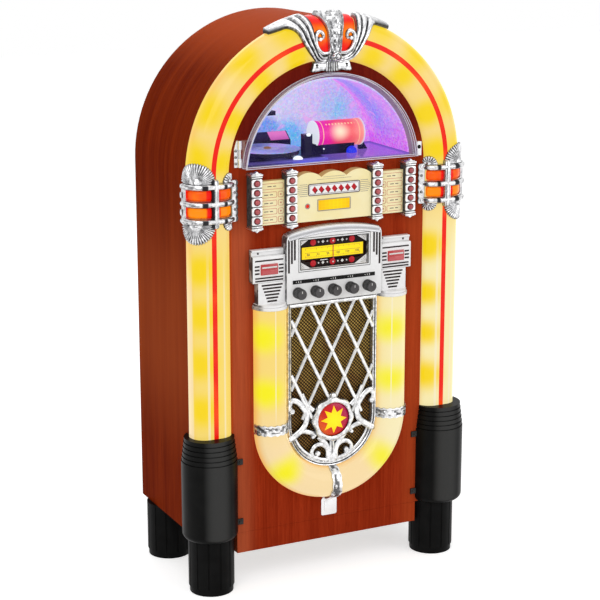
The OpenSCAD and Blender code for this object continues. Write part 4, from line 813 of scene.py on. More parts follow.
@dataclass(frozen=True)
class Floor(Finish):
    """Pale floor that shows white to the camera and keeps the shadow."""

    name: str
    pale: Colour = (0.86, 0.86, 0.86)
    lift: float = 0.56

    def dress(self, g: Graph) -> None:
        """Lifts the floor a little where the camera, metal or glass sees it."""
        cloud = g.noise(3.0, 2.0)
        seen = g.seen()
        g.surface({"Base Color": g.mix(cloud * 0.04, self.pale, (0.8, 0.8, 0.8)), "Roughness": 0.85,
                   "Specular IOR Level": 0.1, "Emission Color": g.mix(seen, (0.0, 0.0, 0.0), (1.0, 1.0, 1.0)),
                   "Emission Strength": self.lift})


SIDE_WOOD = Veneer("side_veneer_stain", (0.15, 0.010, 0.0), (0.27, 0.030, 0.003), Grain.ROUND_ARCH, soft_grain_and_painted_light=1.0)
FRONT_WOOD = Veneer("front_veneer_stain", (0.27, 0.022, 0.005), (0.39, 0.040, 0.010), Grain.UPRIGHT, 0.80, 0.7)
RAW = RawBoard("raw_board_chips", (0.16, 0.10, 0.05), (0.34, 0.24, 0.14))
BACK_BOARD = RawBoard("back_board_fibre", (0.035, 0.022, 0.014), (0.07, 0.045, 0.03))
CHARCOAL = Moulded("charcoal_plastic", (0.003, 0.003, 0.003), (0.006, 0.006, 0.0058), 0.36, 1400.0, 0.0, 0.06, 0.9)
FOOT_BLACK = Moulded("foot_plastic", (0.003, 0.003, 0.003), (0.006, 0.006, 0.006), 0.42, 1400.0, 0.0, 0.05)
KNOB_BLACK = Moulded("knob_plastic", (0.010, 0.009, 0.009), (0.02, 0.018, 0.018), 0.28)
# Painted reflection: a lighter grey copy of the knob plastic, for the faces' satin sheen.
KNOB_FACE = Moulded("knob_face_grey", (0.036, 0.031, 0.032), (0.060, 0.054, 0.056), 0.3)
# Dark colour for the painted shade inside the fascia's slots.
SLOT_DARK = Moulded("slot_maroon", (0.010, 0.004, 0.004), (0.022, 0.009, 0.009), 0.45, 1400.0, 0.0, 0.2)
INK_BLACK = Moulded("black_strip", (0.004, 0.004, 0.004), (0.009, 0.008, 0.008), 0.25, 1400.0, 0.0, 0.12)
INK_GREY = Moulded("grey_print", (0.30, 0.27, 0.22), (0.42, 0.39, 0.33), 0.4)
INK_CORAL = Moulded("coral_print", (0.62, 0.20, 0.11), (0.74, 0.30, 0.18), 0.4)
INK_DARK = Moulded("dark_print", (0.03, 0.012, 0.02), (0.07, 0.03, 0.04), 0.4)
DIAL_WHITE = Moulded("dial_white_print", (0.74, 0.73, 0.70), (0.86, 0.85, 0.82), 0.4)
DIAL_DARK = Moulded("dial_black_field", (0.007, 0.003, 0.002), (0.018, 0.007, 0.005), 0.22, 1400.0, 0.0, 0.12)
RED_PLASTIC = Moulded("red_button_plastic", (0.46, 0.010, 0.016), (0.58, 0.02, 0.024), 0.2, 900.0, 0.5)
KEY_RED = Moulded("key_red_plastic", (0.36, 0.03, 0.04), (0.50, 0.07, 0.08), 0.22, 900.0, 0.4)
RED_WINE = Moulded("dark_red_ring", (0.09, 0.004, 0.008), (0.16, 0.008, 0.012), 0.3)
PINK_LENS = Moulded("pink_button_lens", (0.52, 0.045, 0.055), (0.64, 0.09, 0.10), 0.2, 900.0, 0.4)
# Painted light: the white corners glow, partly as the lit dial's own glow and partly to lift them out of the recess's
# shade.
DIAL_CORNER = LitColour("dial_corner_white", (0.78, 0.78, 0.77), (0.93, 0.93, 0.92), 0.55)
# Painted light: the bare name plate glows to look brighter.
NAME_WHITE = LitColour("name_plate_white", (0.84, 0.83, 0.82), (0.96, 0.96, 0.95), 0.68)
STAR_YELLOW = LitColour("star_yellow", (0.98, 0.62, 0.004), (1.0, 0.86, 0.012), 0.85)
AMBER = LitColour("amber_lens_glow", (0.84, 0.004, 0.001), (1.0, 0.27, 0.0), 0.86)
SCALE_YELLOW = LitColour("scale_yellow", (0.93, 0.62, 0.01), (0.98, 0.77, 0.008), 0.88, 0.3)
JEWEL = LitColour("jewel_red", (0.38, 0.004, 0.01), (0.80, 0.015, 0.03), 0.35, 0.08)
LED_BLUE = LitColour("lamp_blue_white", (0.25, 0.45, 1.0), (0.85, 0.92, 1.0), 1.0)
PALE_RING = LitColour("drum_end_pale", (0.72, 0.52, 0.66), (0.84, 0.92, 0.97), 0.7)
# Painted light: the disc's hub and the spindle cap glow with the display's light.
HUB = LitColour("disc_hub_lilac", (0.16, 0.15, 0.42), (0.40, 0.42, 0.74), 0.45)
SPINDLE = LitColour("spindle_gold", (0.20, 0.07, 0.02), (0.52, 0.26, 0.10), 0.3)
LAMP_BLUE = LitColour("cradle_lamp_blue", (0.0, 0.01, 0.40), (0.0, 0.035, 0.80), 0.8, 0.2)
STRIPE = RedStripe("red_stripe_glow")
CHROME = Plated("bright_plating")
CHROME_CAST = Plated("cast_plating", (0.88, 0.88, 0.885), (0.02, 0.02, 0.022), (0.42, 0.42, 0.43), 0.14, 0.62, 150.0,
                     0.6)
CHROME_SOFT = Plated("soft_plating", (0.86, 0.86, 0.865), (0.06, 0.06, 0.065), (0.30, 0.30, 0.31), 0.2, 0.45)
CHROME_ROLL = Plated("rolled_edge_plating", (0.60, 0.60, 0.62), (0.03, 0.03, 0.03), (0.46, 0.46, 0.47), 0.22, 0.2, 14.0,
                     0.5)
# Painted shade: a dimmer copy of the plating for the lattice's rising bars.
CHROME_SHADED = Plated("dim_plating", (0.66, 0.655, 0.65), (0.03, 0.03, 0.03), (0.40, 0.40, 0.40), 0.2, 0.4, 90.0)
CHROME_FLAT = Plated("flat_plating", (0.88, 0.88, 0.885), (0.012, 0.012, 0.012), (0.42, 0.42, 0.42), 0.16, 0.3, 90.0,
                     0.5)
DARK_METAL = Plated("dark_metal", (0.075, 0.07, 0.068), (0.01, 0.01, 0.01), (0.02, 0.02, 0.02), 0.35)
STEEL = Plated("screw_steel", (0.42, 0.42, 0.43), (0.02, 0.02, 0.02), (0.15, 0.15, 0.15), 0.25)
FITTING = SilverCoat("fitting_silver", (0.80, 0.80, 0.81), 0.85, 0.16)
SILVER = SilverCoat("silver_plastic_coat", (0.99, 0.985, 0.985), 0.0, 0.25, 1.0)
DARK_METAL_PLAIN = SilverCoat("loudspeaker_metal", (0.05, 0.05, 0.05), 0.5, 0.5)
BARE_METAL = SilverCoat("inside_metal", (0.30, 0.30, 0.31), 0.9, 0.35)
BOARD_GREEN = Moulded("circuit_green", (0.01, 0.08, 0.025), (0.02, 0.13, 0.04), 0.4)
CLEAR = Acrylic("clear_acrylic_sheet", 0.002, 0.22)
CLEAR_EDGE = Acrylic("clear_acrylic_edge", 0.72, 0.72, (0.92, 0.90, 0.98))
FOIL = Glitter("display_foil")
DECK = DeckGloss("deck_dark_gloss")
DECK_PINK = LitColour("deck_pink_top", (0.52, 0.10, 0.42), (0.78, 0.20, 0.56), 0.8)
CREAM = CreamPanel("cream_panel_plastic")
LCD = LitDisplay("lit_display_yellow")
CLOTH = Weave("grille_cloth_weave")
MEDAL = MedalRed("medal_red_gloss")


OUT = np.array([0.0, -1.0, 0.0])


def grid(x: np.ndarray | float, y: np.ndarray | float, z: np.ndarray | float) -> np.ndarray:
    """Joins places across, back and up to points."""
    return np.stack(np.broadcast_arrays(x, y, z), -1)


def spline(points: Sequence[Point], count: int) -> np.ndarray:
    """Runs a smooth curve through points.

    Args:
        points: Points to pass through.
        count: Number of points on the curve.

    Returns:
        The curve's points.
    """
    knots = np.asarray(points, float)
    padded = np.vstack([2 * knots[0] - knots[1], knots, 2 * knots[-1] - knots[-2]])
    way = np.linspace(0.0, len(knots) - 1.0, count)
    i = np.minimum(way.astype(int), len(knots) - 2)
    t = (way - i)[:, None]
    a, b, c, d = (padded[i + k] for k in range(4))
    return 0.5 * (2 * b + (c - a) * t + (2 * a - 5 * b + 4 * c - d) * t ** 2 + (3 * b - a - 3 * c + d) * t ** 3)


def half_round(width: float, height: float, steps: int = 8, foot: float = 0.0) -> np.ndarray:
    """Draws the section of a half-round bar.

    Args:
        width: Width of the bar.
        height: Height of the bar.
        steps: Number of points on its back.
        foot: Height of its straight sides.

    Returns:
        The section as pairs across and up.
    """
    turn = np.linspace(0.0, math.pi, steps)
    arc = np.column_stack([np.cos(turn) * width / 2, foot + np.sin(turn) * (height - foot)])
    return np.vstack([arc, [[-width / 2, 0.0], [width / 2, 0.0]]]) if foot else arc


class MeshMaker:
    """Gathers points, faces and shades in millimetres and makes one object of them."""

    def __init__(self) -> None:
        """Starts empty."""
        self.points: list[np.ndarray] = []
        self.shades: list[np.ndarray] = []
        self.faces: list[tuple[int, ...]] = []
        self.count = 0

    def add(self, points: np.ndarray, faces: Sequence[Sequence[int]], shade: float | np.ndarray = 1.0) -> "MeshMaker":
        """Adds a lump of points and faces.

        Args:
            points: Points of the lump.
            faces: Faces that number the lump's own points.
            shade: One shade, or one for each point.

        Returns:
            This maker.
        """
        flat = np.asarray(points, float).reshape(-1, 3)
        tone = np.asarray(shade, float).reshape(-1)
        self.points.append(flat)
        self.shades.append(np.full(len(flat), tone[0]) if len(tone) == 1 else tone)
        self.faces += [tuple(int(i) + self.count for i in face) for face in faces]
        self.count += len(flat)
        return self

    def loft(self, rings: np.ndarray, shade: float | np.ndarray = 1.0, caps: bool = True) -> "MeshMaker":
        """Joins closed rings of points in a row.

        Args:
            rings: Array of rings, points and coordinates.
            shade: One shade, or one for each point.
            caps: Whether the first and last ring are closed.

        Returns:
            This maker.
        """
        n, m = rings.shape[:2]
        faces: list[Sequence[int]] = [(i * m + j, i * m + (j + 1) % m, (i + 1) * m + (j + 1) % m, (i + 1) * m + j)
                                      for i in range(n - 1) for j in range(m)]
        if caps:
            faces += [tuple(range(m))[::-1], tuple(range((n - 1) * m, n * m))]
        return self.add(rings, faces, shade)

    def relief(self, top: np.ndarray, base: np.ndarray, shade: float | np.ndarray = 1.0) -> "MeshMaker":
        """Makes a closed lump of a raised sheet and the flat sheet under it.

        Args:
            top: Rows of points of the raised sheet.
            base: Rows of points of the sheet under it.
            shade: One shade, or one for each point of the raised sheet.

        Returns:
            This maker.
        """
        n, m = top.shape[:2]
        own = n * m
        faces: list[Sequence[int]] = []
        for i in range(n - 1):
            for j in range(m - 1):
                quad = (i * m + j, i * m + j + 1, (i + 1) * m + j + 1, (i + 1) * m + j)
                faces += [quad, tuple(own + k for k in quad[::-1])]
        rim = list(range(m)) + [i * m + m - 1 for i in range(1, n)]
        rim += [(n - 1) * m + j for j in range(m - 2, -1, -1)] + [i * m for i in range(n - 2, 0, -1)]
        faces += [(b, a, a + own, b + own) for a, b in zip(rim, rim[1:] + rim[:1])]
        tone = np.full(own, shade) if np.ndim(shade) == 0 else np.asarray(shade).reshape(-1)
        # The walls and the sheet under take shade 0.3; in the plated finishes this is painted shade on the sides of
        # every relief.
        return self.add(np.concatenate([top.reshape(-1, 3), base.reshape(-1, 3)]), faces,
                        np.concatenate([tone, np.full(own, 0.3)]))

    def prism(self, outline: Sequence[Point], front: float, back: float, shade: float = 1.0) -> "MeshMaker":
        """Stands an outline in the front view up between two depths.

        Args:
            outline: Pairs of x and z.
            front: y of the front.
            back: y of the back.
            shade: Shade of all its points.

        Returns:
            This maker.
        """
        flat = np.asarray(outline, float)
        rings = np.stack([grid(flat[:, 0], y, flat[:, 1]) for y in (front, back)])
        return self.loft(rings, shade)

    def box(self, low: Point, high: Point, shade: float = 1.0) -> "MeshMaker":
        """Adds a block between two corners."""
        return self.prism([(low[0], low[2]), (high[0], low[2]), (high[0], high[2]), (low[0], high[2])], low[1], high[1],
                          shade)

    def frame(self, outer: np.ndarray, inner: np.ndarray, front: float, back: float,
              shade: float | np.ndarray = 1.0) -> "MeshMaker":
        """Stands up the space between two outlines with the same number of points.

        Args:
            outer: Outer outline as pairs of x and z.
            inner: Inner outline as pairs of x and z.
            front: y of the front.
            back: y of the back.
            shade: One shade, or one for each point.

        Returns:
            This maker.
        """
        loops = [grid(loop[:, 0], y, loop[:, 1])
                 for loop, y in ((outer, front), (outer, back), (inner, back), (inner, front), (outer, front))]
        return self.loft(np.stack(loops), shade, caps=False)

    def lathe(self, profile: Sequence[Point], centre: Point, axis: str, steps: int = 40,
              shade: float | np.ndarray = 1.0, wave: float | Sequence[float] = 0.0, waves: int = 0) -> "MeshMaker":
        """Turns a profile round an axis.

        Args:
            profile: Pairs of radius and place along the axis.
            centre: Point from which the profile is measured.
            axis: X, Y or Z; the profile runs along +X, -Y or +Z.
            steps: Number of steps round the axis.
            shade: One shade, or one for each pair of the profile.
            wave: Depth of flutes as a share of the radius, one or one for each pair.
            waves: Number of flutes.

        Returns:
            This maker.
        """
        turn = np.linspace(0.0, math.tau, steps, endpoint=False)
        pairs = np.asarray(profile, float)
        depth = np.broadcast_to(np.asarray(wave, float).reshape(-1, 1), (len(pairs), 1))
        r = pairs[:, :1] * (1.0 - depth * (0.5 - 0.5 * np.cos(turn * waves))[None, :])
        h = np.repeat(pairs[:, 1:2], steps, 1)
        a, b = r * np.cos(turn), r * np.sin(turn)
        rings = {"X": np.stack([h, a, b], -1), "Y": np.stack([a, -h, b], -1), "Z": np.stack([a, b, h], -1)}[axis]
        tone = shade if np.ndim(shade) == 0 else np.repeat(np.asarray(shade, float)[:, None], steps, 1)
        return self.loft(rings + np.asarray(centre, float), tone, not np.allclose(pairs[0], pairs[-1]))

    def sweep(self, path: np.ndarray, up: np.ndarray, section: np.ndarray, width: Sequence[float] | float = 1.0,
              shade: np.ndarray | Sequence[float] | float = 1.0, ring: bool = False) -> "MeshMaker":
        """Runs a section along a path.

        Args:
            path: Points of the path.
            up: Direction of the section's height, one or one for each point.
            section: Pairs across and up.
            width: Size of the section, one or one for each point.
            shade: One shade, one for each point of the section, or such a row for each point of the path.
            ring: Whether the path closes on itself.

        Returns:
            This maker.
        """
        ahead = np.roll(path, -1, 0) - np.roll(path, 1, 0)
        if not ring:
            ahead[0], ahead[-1] = path[1] - path[0], path[-1] - path[-2]
        ahead /= np.linalg.norm(ahead, axis=1, keepdims=True)
        rise = np.broadcast_to(np.asarray(up, float), path.shape)
        side = np.cross(ahead, rise)
        side /= np.linalg.norm(side, axis=1, keepdims=True)
        size = np.broadcast_to(np.asarray(width, float).reshape(-1, 1, 1), (len(path), 1, 1))
        rings = path[:, None, :] + size * (side[:, None, :] * section[None, :, :1] + rise[:, None, :]
                                           * section[None, :, 1:])
        tone = shade if np.ndim(shade) == 0 else np.broadcast_to(np.asarray(shade, float), (len(path), len(section)))
        if ring:
            rings = np.concatenate([rings, rings[:1]])
            tone = tone if np.ndim(tone) == 0 else np.concatenate([tone, tone[:1]])
        return self.loft(rings, tone, caps=not ring)

    def piece(self, name: str, finish: Finish, slot: str, nodes: Sequence[str] = (), bevel: float = 0.0,
              sharp: float = 35.0, body: str = ROOT) -> bpy.types.Object:
        """Makes the object, finishes its edges and hands it to the frame.

        Args:
            name: Name of the object.
            finish: Finish of all its faces.
            slot: Material slot of the record that it belongs to; not used.
            nodes: Nodes that it stands for.
            bevel: Width of its rounded edges.
            sharp: Angle in degrees from which an edge stays sharp.
            body: Body that it rides on.

        Returns:
            The object.
        """
        mesh = bpy.data.meshes.new(name)
        mesh.from_pydata((np.concatenate(self.points) * MM).tolist(), [], self.faces)
        layer = mesh.attributes.new("shade", "FLOAT", "POINT")
        layer.data.foreach_set("value", np.concatenate(self.shades).astype(np.float32))
        bm = bmesh.new()
        bm.from_mesh(mesh)
        bmesh.ops.remove_doubles(bm, verts=bm.verts, dist=2e-6)
        bmesh.ops.dissolve_degenerate(bm, edges=bm.edges, dist=1e-6)
        bmesh.ops.recalc_face_normals(bm, faces=bm.faces)
        bm.to_mesh(mesh)
        bm.free()
        obj = bpy.data.objects.new(name, mesh)
        bpy.context.scene.collection.objects.link(obj)
        if bevel:
            edge = obj.modifiers.new("rounded_edges", "BEVEL")
            edge.width = bevel * MM
            edge.segments = 2
            edge.limit_method = "ANGLE"
            edge.angle_limit = math.radians(40.0)
        return settle(obj, finish, body, nodes, sharp)


def settle(obj: bpy.types.Object, finish: Finish, body: str, nodes: Sequence[str],
           sharp: float = 35.0) -> bpy.types.Object:
    """Applies an object's modifiers, dresses it and hands it to the frame.

    Args:
        obj: The object.
        finish: Finish of all its faces.
        body: Body that it rides on.
        nodes: Nodes that it stands for.
        sharp: Angle in degrees from which an edge stays sharp.

    Returns:
        The object.
    """
    if obj.modifiers:
        graph = bpy.context.evaluated_depsgraph_get()
        made = bpy.data.meshes.new_from_object(obj.evaluated_get(graph))
        obj.modifiers.clear()
        obj.data = made
    obj.data.materials.clear()
    obj.data.materials.append(finish.material())
    obj.data.shade_smooth()
    obj.data.set_sharp_from_angle(angle=math.radians(sharp))
    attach(obj, body)
    if nodes:
        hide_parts(*nodes)
    LOG.info("piece %s on %s with %d faces", obj.name, body, len(obj.data.polygons))
    return obj


def keep(node: str, finish: Finish) -> None:
    """Gives a node that stays showing a finish.

    Args:
        node: Name of the node.
        finish: The finish.
    """
    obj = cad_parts[node]
    for i in range(len(obj.material_slots)):
        obj.material_slots[i].material = finish.material()
    if not obj.material_slots:
        obj.data.materials.append(finish.material())
    LOG.info("node %s takes %s", node, finish.name)


class Shape(Enum):
    """Shape that a repeat puts at each of its places."""

    ROD = "rod"
    BLOCK = "block"
    DOME = "dome"
    SCREW = "screw"


@dataclass
class Repeat:
    """Puts one small shape at many places with a tree of geometry nodes."""

    name: str
    shape: Shape
    finish: Finish
    sides: int = 10
    places: list[Point] = field(default_factory=list)
    sizes: list[Point] = field(default_factory=list)
    turns: list[Point] = field(default_factory=list)

    def at(self, place: Point, size: Point, turn: Point = (0.0, 0.0, 0.0)) -> "Repeat":
        """Adds a place.

        Args:
            place: Middle of the shape, in millimetres.
            size: Its size along its own axes, in millimetres.
            turn: Its turn about x, y and z, in radians.

        Returns:
            This repeat.
        """
        self.places.append(place)
        self.sizes.append(size)
        self.turns.append(turn)
        return self

    def tree(self) -> tuple[bpy.types.NodeTree, dict[str, str]]:
        """Builds the tree.

        Returns:
            The tree, and the identifier of each named input.
        """
        tree = bpy.data.node_groups.new(self.name + "_tree", "GeometryNodeTree")
        face = tree.interface
        face.new_socket("Geometry", in_out="INPUT", socket_type="NodeSocketGeometry")
        named = {name: face.new_socket(name, in_out="INPUT", socket_type=kind).identifier for name, kind in
                 (("Sides", "NodeSocketInt"), ("Unit", "NodeSocketFloat"), ("Slot Width", "NodeSocketFloat"))}
        face.new_socket("Geometry", in_out="OUTPUT", socket_type="NodeSocketGeometry")
        start, end = tree.nodes.new("NodeGroupInput"), tree.nodes.new("NodeGroupOutput")

        def add(kind: str, values: dict, **settings: object) -> bpy.types.Node:
            """Adds a node with its settings, values and links.

            Args:
                kind: Type of the node.
                values: Values or sockets for its inputs.
                **settings: Values of its properties.

            Returns:
                The node.
            """
            node = tree.nodes.new(kind)
            for key, value in settings.items():
                setattr(node, key, value)
            for key, value in values.items():
                if isinstance(value, bpy.types.NodeSocket):
                    tree.links.new(value, node.inputs[key])
                else:
                    node.inputs[key].default_value = value
            return node

        sides, unit, slot = (start.outputs[name] for name in named)
        half = add("ShaderNodeMath", {0: unit, 1: 0.5}, operation="MULTIPLY").outputs[0]
        if self.shape is Shape.BLOCK:
            cube = add("ShaderNodeCombineXYZ", {0: unit, 1: unit, 2: unit}).outputs[0]
            shape = add("GeometryNodeMeshCube", {"Size": cube}).outputs["Mesh"]
        elif self.shape is Shape.ROD:
            shape = add("GeometryNodeMeshCylinder", {"Vertices": sides, "Radius": half, "Depth": unit}).outputs["Mesh"]
        elif self.shape is Shape.DOME:
            shape = add("GeometryNodeMeshUVSphere", {"Segments": sides, "Rings": 7, "Radius": half}).outputs["Mesh"]
        else:
            top = add("ShaderNodeMath", {0: half, 1: 0.74}, operation="MULTIPLY").outputs[0]
            shape = add("GeometryNodeMeshCone", {"Vertices": sides, "Radius Top": top, "Radius Bottom": half,
                                                 "Depth": unit}).outputs["Mesh"]
        if self.shape is Shape.SCREW:
            shape = self.cross(add, shape, unit, slot)
        else:
            shape = add("GeometryNodeStoreNamedAttribute",
                        {"Geometry": shape, "Name": "shade", "Value": 1.0}).outputs[0]
        size = add("GeometryNodeInputNamedAttribute", {"Name": "size"}, data_type="FLOAT_VECTOR").outputs[0]
        turn = add("GeometryNodeInputNamedAttribute", {"Name": "turn"}, data_type="FLOAT_VECTOR").outputs[0]
        spin = add("FunctionNodeEulerToRotation", {0: turn}).outputs[0]
        placed = add("GeometryNodeInstanceOnPoints", {"Points": start.outputs["Geometry"], "Instance": shape,
                                                      "Rotation": spin, "Scale": size}).outputs[0]
        real = add("GeometryNodeRealizeInstances", {"Geometry": placed}).outputs[0]
        dressed = add("GeometryNodeSetMaterial", {"Geometry": real, "Material": self.finish.material()}).outputs[0]
        tree.links.new(dressed, end.inputs[0])
        return tree, named

    def cross(self, add: Callable[..., bpy.types.Node], head: bpy.types.NodeSocket, unit: bpy.types.NodeSocket,
              slot: bpy.types.NodeSocket) -> bpy.types.NodeSocket:
        """Joins the dark cross of a screw to its head, as painted shade in the cross's recess.

        Args:
            add: Function that adds a node to the tree.
            head: Mesh of the head.
            unit: Size of the head.
            slot: Width of the cross's bars.

        Returns:
            The joined mesh.
        """
        plain = add("GeometryNodeStoreNamedAttribute", {"Geometry": head, "Name": "shade", "Value": 1.0}).outputs[0]
        joined = add("GeometryNodeJoinGeometry", {})
        add_link = joined.id_data.links.new
        add_link(plain, joined.inputs[0])
        length = add("ShaderNodeMath", {0: unit, 1: 0.52}, operation="MULTIPLY").outputs[0]
        thick = add("ShaderNodeMath", {0: unit, 1: 0.06}, operation="MULTIPLY").outputs[0]
        lift = add("ShaderNodeMath", {0: unit, 1: 0.99}, operation="MULTIPLY").outputs[0]
        up = add("ShaderNodeCombineXYZ", {0: 0.0, 1: 0.0, 2: lift}).outputs[0]
        for turn in (0.0, math.pi / 2):
            size = add("ShaderNodeCombineXYZ", {0: length, 1: slot, 2: thick}).outputs[0]
            bar = add("GeometryNodeMeshCube", {"Size": size}).outputs["Mesh"]
            put = add("GeometryNodeTransform", {"Geometry": bar, "Translation": up,
                                                "Rotation": (0.0, 0.0, turn)}).outputs[0]
            # Painted shade: the bars of the cross take shade 0.
            dark = add("GeometryNodeStoreNamedAttribute", {"Geometry": put, "Name": "shade", "Value": 0.0}).outputs[0]
            add_link(dark, joined.inputs[0])
        return joined.outputs[0]

    def piece(self, slot: str, nodes: Sequence[str] = ()) -> bpy.types.Object:
        """Makes the repeated shape a plain mesh.

        Args:
            slot: Material slot of the record that it belongs to; not used.
            nodes: Nodes that it stands for.

        Returns:
            The object.
        """
        mesh = bpy.data.meshes.new(self.name)
        mesh.from_pydata((np.asarray(self.places, float) * MM).tolist(), [], [])
        for key, values in (("size", np.asarray(self.sizes, float) * MM), ("turn", np.asarray(self.turns, float))):
            stored = mesh.attributes.new(key, "FLOAT_VECTOR", "POINT").data
            stored.foreach_set("vector", values.astype(np.float32).ravel())
        obj = bpy.data.objects.new(self.name, mesh)
        bpy.context.scene.collection.objects.link(obj)
        tree, named = self.tree()
        modifier = obj.modifiers.new("repeat", "NODES")
        modifier.node_group = tree
        for name, value in (("Sides", self.sides), ("Unit", 1.0), ("Slot Width", 0.12)):
            modifier[named[name]] = value
        return settle(obj, self.finish, ROOT, nodes)


@dataclass(frozen=True)
class Layout:
    """Places that several sub-assemblies share, in millimetres."""

    arch_z: float = 782.0
    tube_x: float = 237.0
    tube_y: float = -132.0
    panel_y: float = -118.0
    seat_y: float = -96.0
    flat: float = 11.0
    bend: float = 28.0
    half: float = 39.0
    gap: float = 0.8
    clasp_z: float = 740.0
    u_z: float = 310.0
    u_x: float = 125.0
    u_y: float = -122.6
    u_r: float = 31.0


LAY = Layout()


class TubeSkin:
    """The skin of a light tube, on which castings and lenses lie."""

    @staticmethod
    def section(s: np.ndarray) -> tuple[np.ndarray, ...]:
        """Follows the tube's section from the middle of its front.

        Args:
            s: Way along the section, outwards.

        Returns:
            Place across, place back, and the skin's direction across and back.
        """
        way = np.abs(s)
        turn = np.clip((way - LAY.flat) / LAY.bend, 0.0, math.pi / 2)
        rest = np.maximum(way - LAY.flat - LAY.bend * math.pi / 2, 0.0)
        sign = np.sign(s)
        return (sign * (np.minimum(way, LAY.flat) + LAY.bend * np.sin(turn)), LAY.bend * (1 - np.cos(turn)) + rest,
                sign * np.sin(turn), -np.cos(turn))

    @staticmethod
    def column(s: np.ndarray, z: np.ndarray, lift: np.ndarray | float, side: int) -> np.ndarray:
        """Places points on a column tube.

        Args:
            s: Way along the section, outwards.
            z: Heights.
            lift: Heights over the skin.
            side: -1 for the left column, 1 for the right.

        Returns:
            The points.
        """
        across, back, nx, ny = TubeSkin.section(s)
        x = side * (LAY.tube_x + across + nx * lift)
        return grid(x, LAY.tube_y + back + ny * lift, z)

    @staticmethod
    def front(x: np.ndarray, z: np.ndarray, lift: np.ndarray | float) -> np.ndarray:
        """Places points of the front view on the arch tube.

        Args:
            x: Places across, from the arch's middle.
            z: Heights over the arch's middle.
            lift: Heights over the skin.

        Returns:
            The points.
        """
        r = np.hypot(x, z)
        across = r - LAY.tube_x
        way = np.abs(across)
        bend = np.arcsin(np.clip((way - LAY.flat) / LAY.bend, 0.0, 1.0))
        over = np.clip((way - LAY.half) * 0.5, 0.0, 8.0)
        s = np.sign(across) * (np.minimum(way, LAY.flat) + LAY.bend * bend + over)
        dx, back, nx, ny = TubeSkin.section(s)
        far = LAY.tube_x + dx + nx * lift
        return grid(far * x / r, LAY.tube_y + back + ny * lift, LAY.arch_z + far * z / r)


@dataclass
class Cabinet:
    """Wooden shell with its boards and back, and what is inside it."""

    nodes: dict[str, Finish] = field(default_factory=lambda: {
        "cabinet_shell": SIDE_WOOD, "front_panel": FRONT_WOOD, "baffle_board": RAW, "base_board": RAW,
        "back_panel": BACK_BOARD, "feet": FOOT_BLACK, "column_boots": CHARCOAL, "speakers": DARK_METAL_PLAIN,
        "circuit_boards": BOARD_GREEN, "power_supply": BARE_METAL, "mains_inlet": INK_BLACK, "grille_cloth": CLOTH})

    def build(self) -> None:
        """Dresses the nodes whose shape is right."""
        for node, finish in self.nodes.items():
            keep(node, finish)


@dataclass
class LightTubes:
    """Lit tubes round the front, their red stripes and the U tube."""

    lamp_y: float = -124.0
    arch_turns: tuple[float, ...] = (-82.0, -63.0, -40.0, -19.0, 22.0, 41.0, 65.0, 84.0)
    arch_reach: float = 62.0
    left_lamps: tuple[float, ...] = (358.0, 448.0, 534.0, 620.0)
    right_lamps: tuple[float, ...] = (365.0, 450.0, 528.0, 622.0)
    column_reach: float = 56.0
    right_less: float = 10.0
    u_lamps: tuple[tuple[float, float], ...] = ((-140.0, 486.0), (-138.0, 381.0), (-101.0, 228.0), (97.0, 228.0),
                                                (120.0, 378.0),
                                                (118.0, 478.0))
    u_reach: float = 55.0

    def build(self) -> None:
        """Places the lamps and dresses the tubes."""
        lamps: list[tuple[float, float, float, float]] = []
        for turn in np.radians(self.arch_turns):
            for r, y in ((LAY.tube_x - 18.0, self.lamp_y), (LAY.tube_x + 26.0, self.lamp_y + 14.0)):
                lamps.append((r * math.sin(turn), y, LAY.arch_z + r * math.cos(turn),
                              self.arch_reach - 14.0 * (r < LAY.tube_x)))
        for z in self.left_lamps:
            lamps.append((-LAY.tube_x - 22.0, self.lamp_y + 4.0, z, self.column_reach))
        for i, z in enumerate(self.right_lamps):
            lamps.append((LAY.tube_x - 26.0, self.lamp_y + 6.0, z, self.column_reach - self.right_less * (i in (1, 2))))
        keep("light_tubes", LitTube("arch_tube_glow", (1.0, 0.74, 0.24), (1.0, 0.72, 0.0), (1.0, 0.56, 0.10),
                                    tuple(lamps),
                                    (1.0, 0.745, 0.17), (-0.5, -0.4), (0.62, 0.70), gleams=(-0.985, -0.11, 0.27)))
        u_lamps = tuple((x, LAY.u_y - 14.0, z, self.u_reach) for x, z in self.u_lamps)
        keep("u_tube", LitTube("u_tube_glow", (1.0, 0.74, 0.20), (1.0, 0.93, 0.0), (1.0, 0.50, 0.10), u_lamps,
                               (1.0, 0.77, 0.42), (-9.0, -8.0), (0.26, 0.40), 0.6))
        keep("red_stripes", STRIPE)


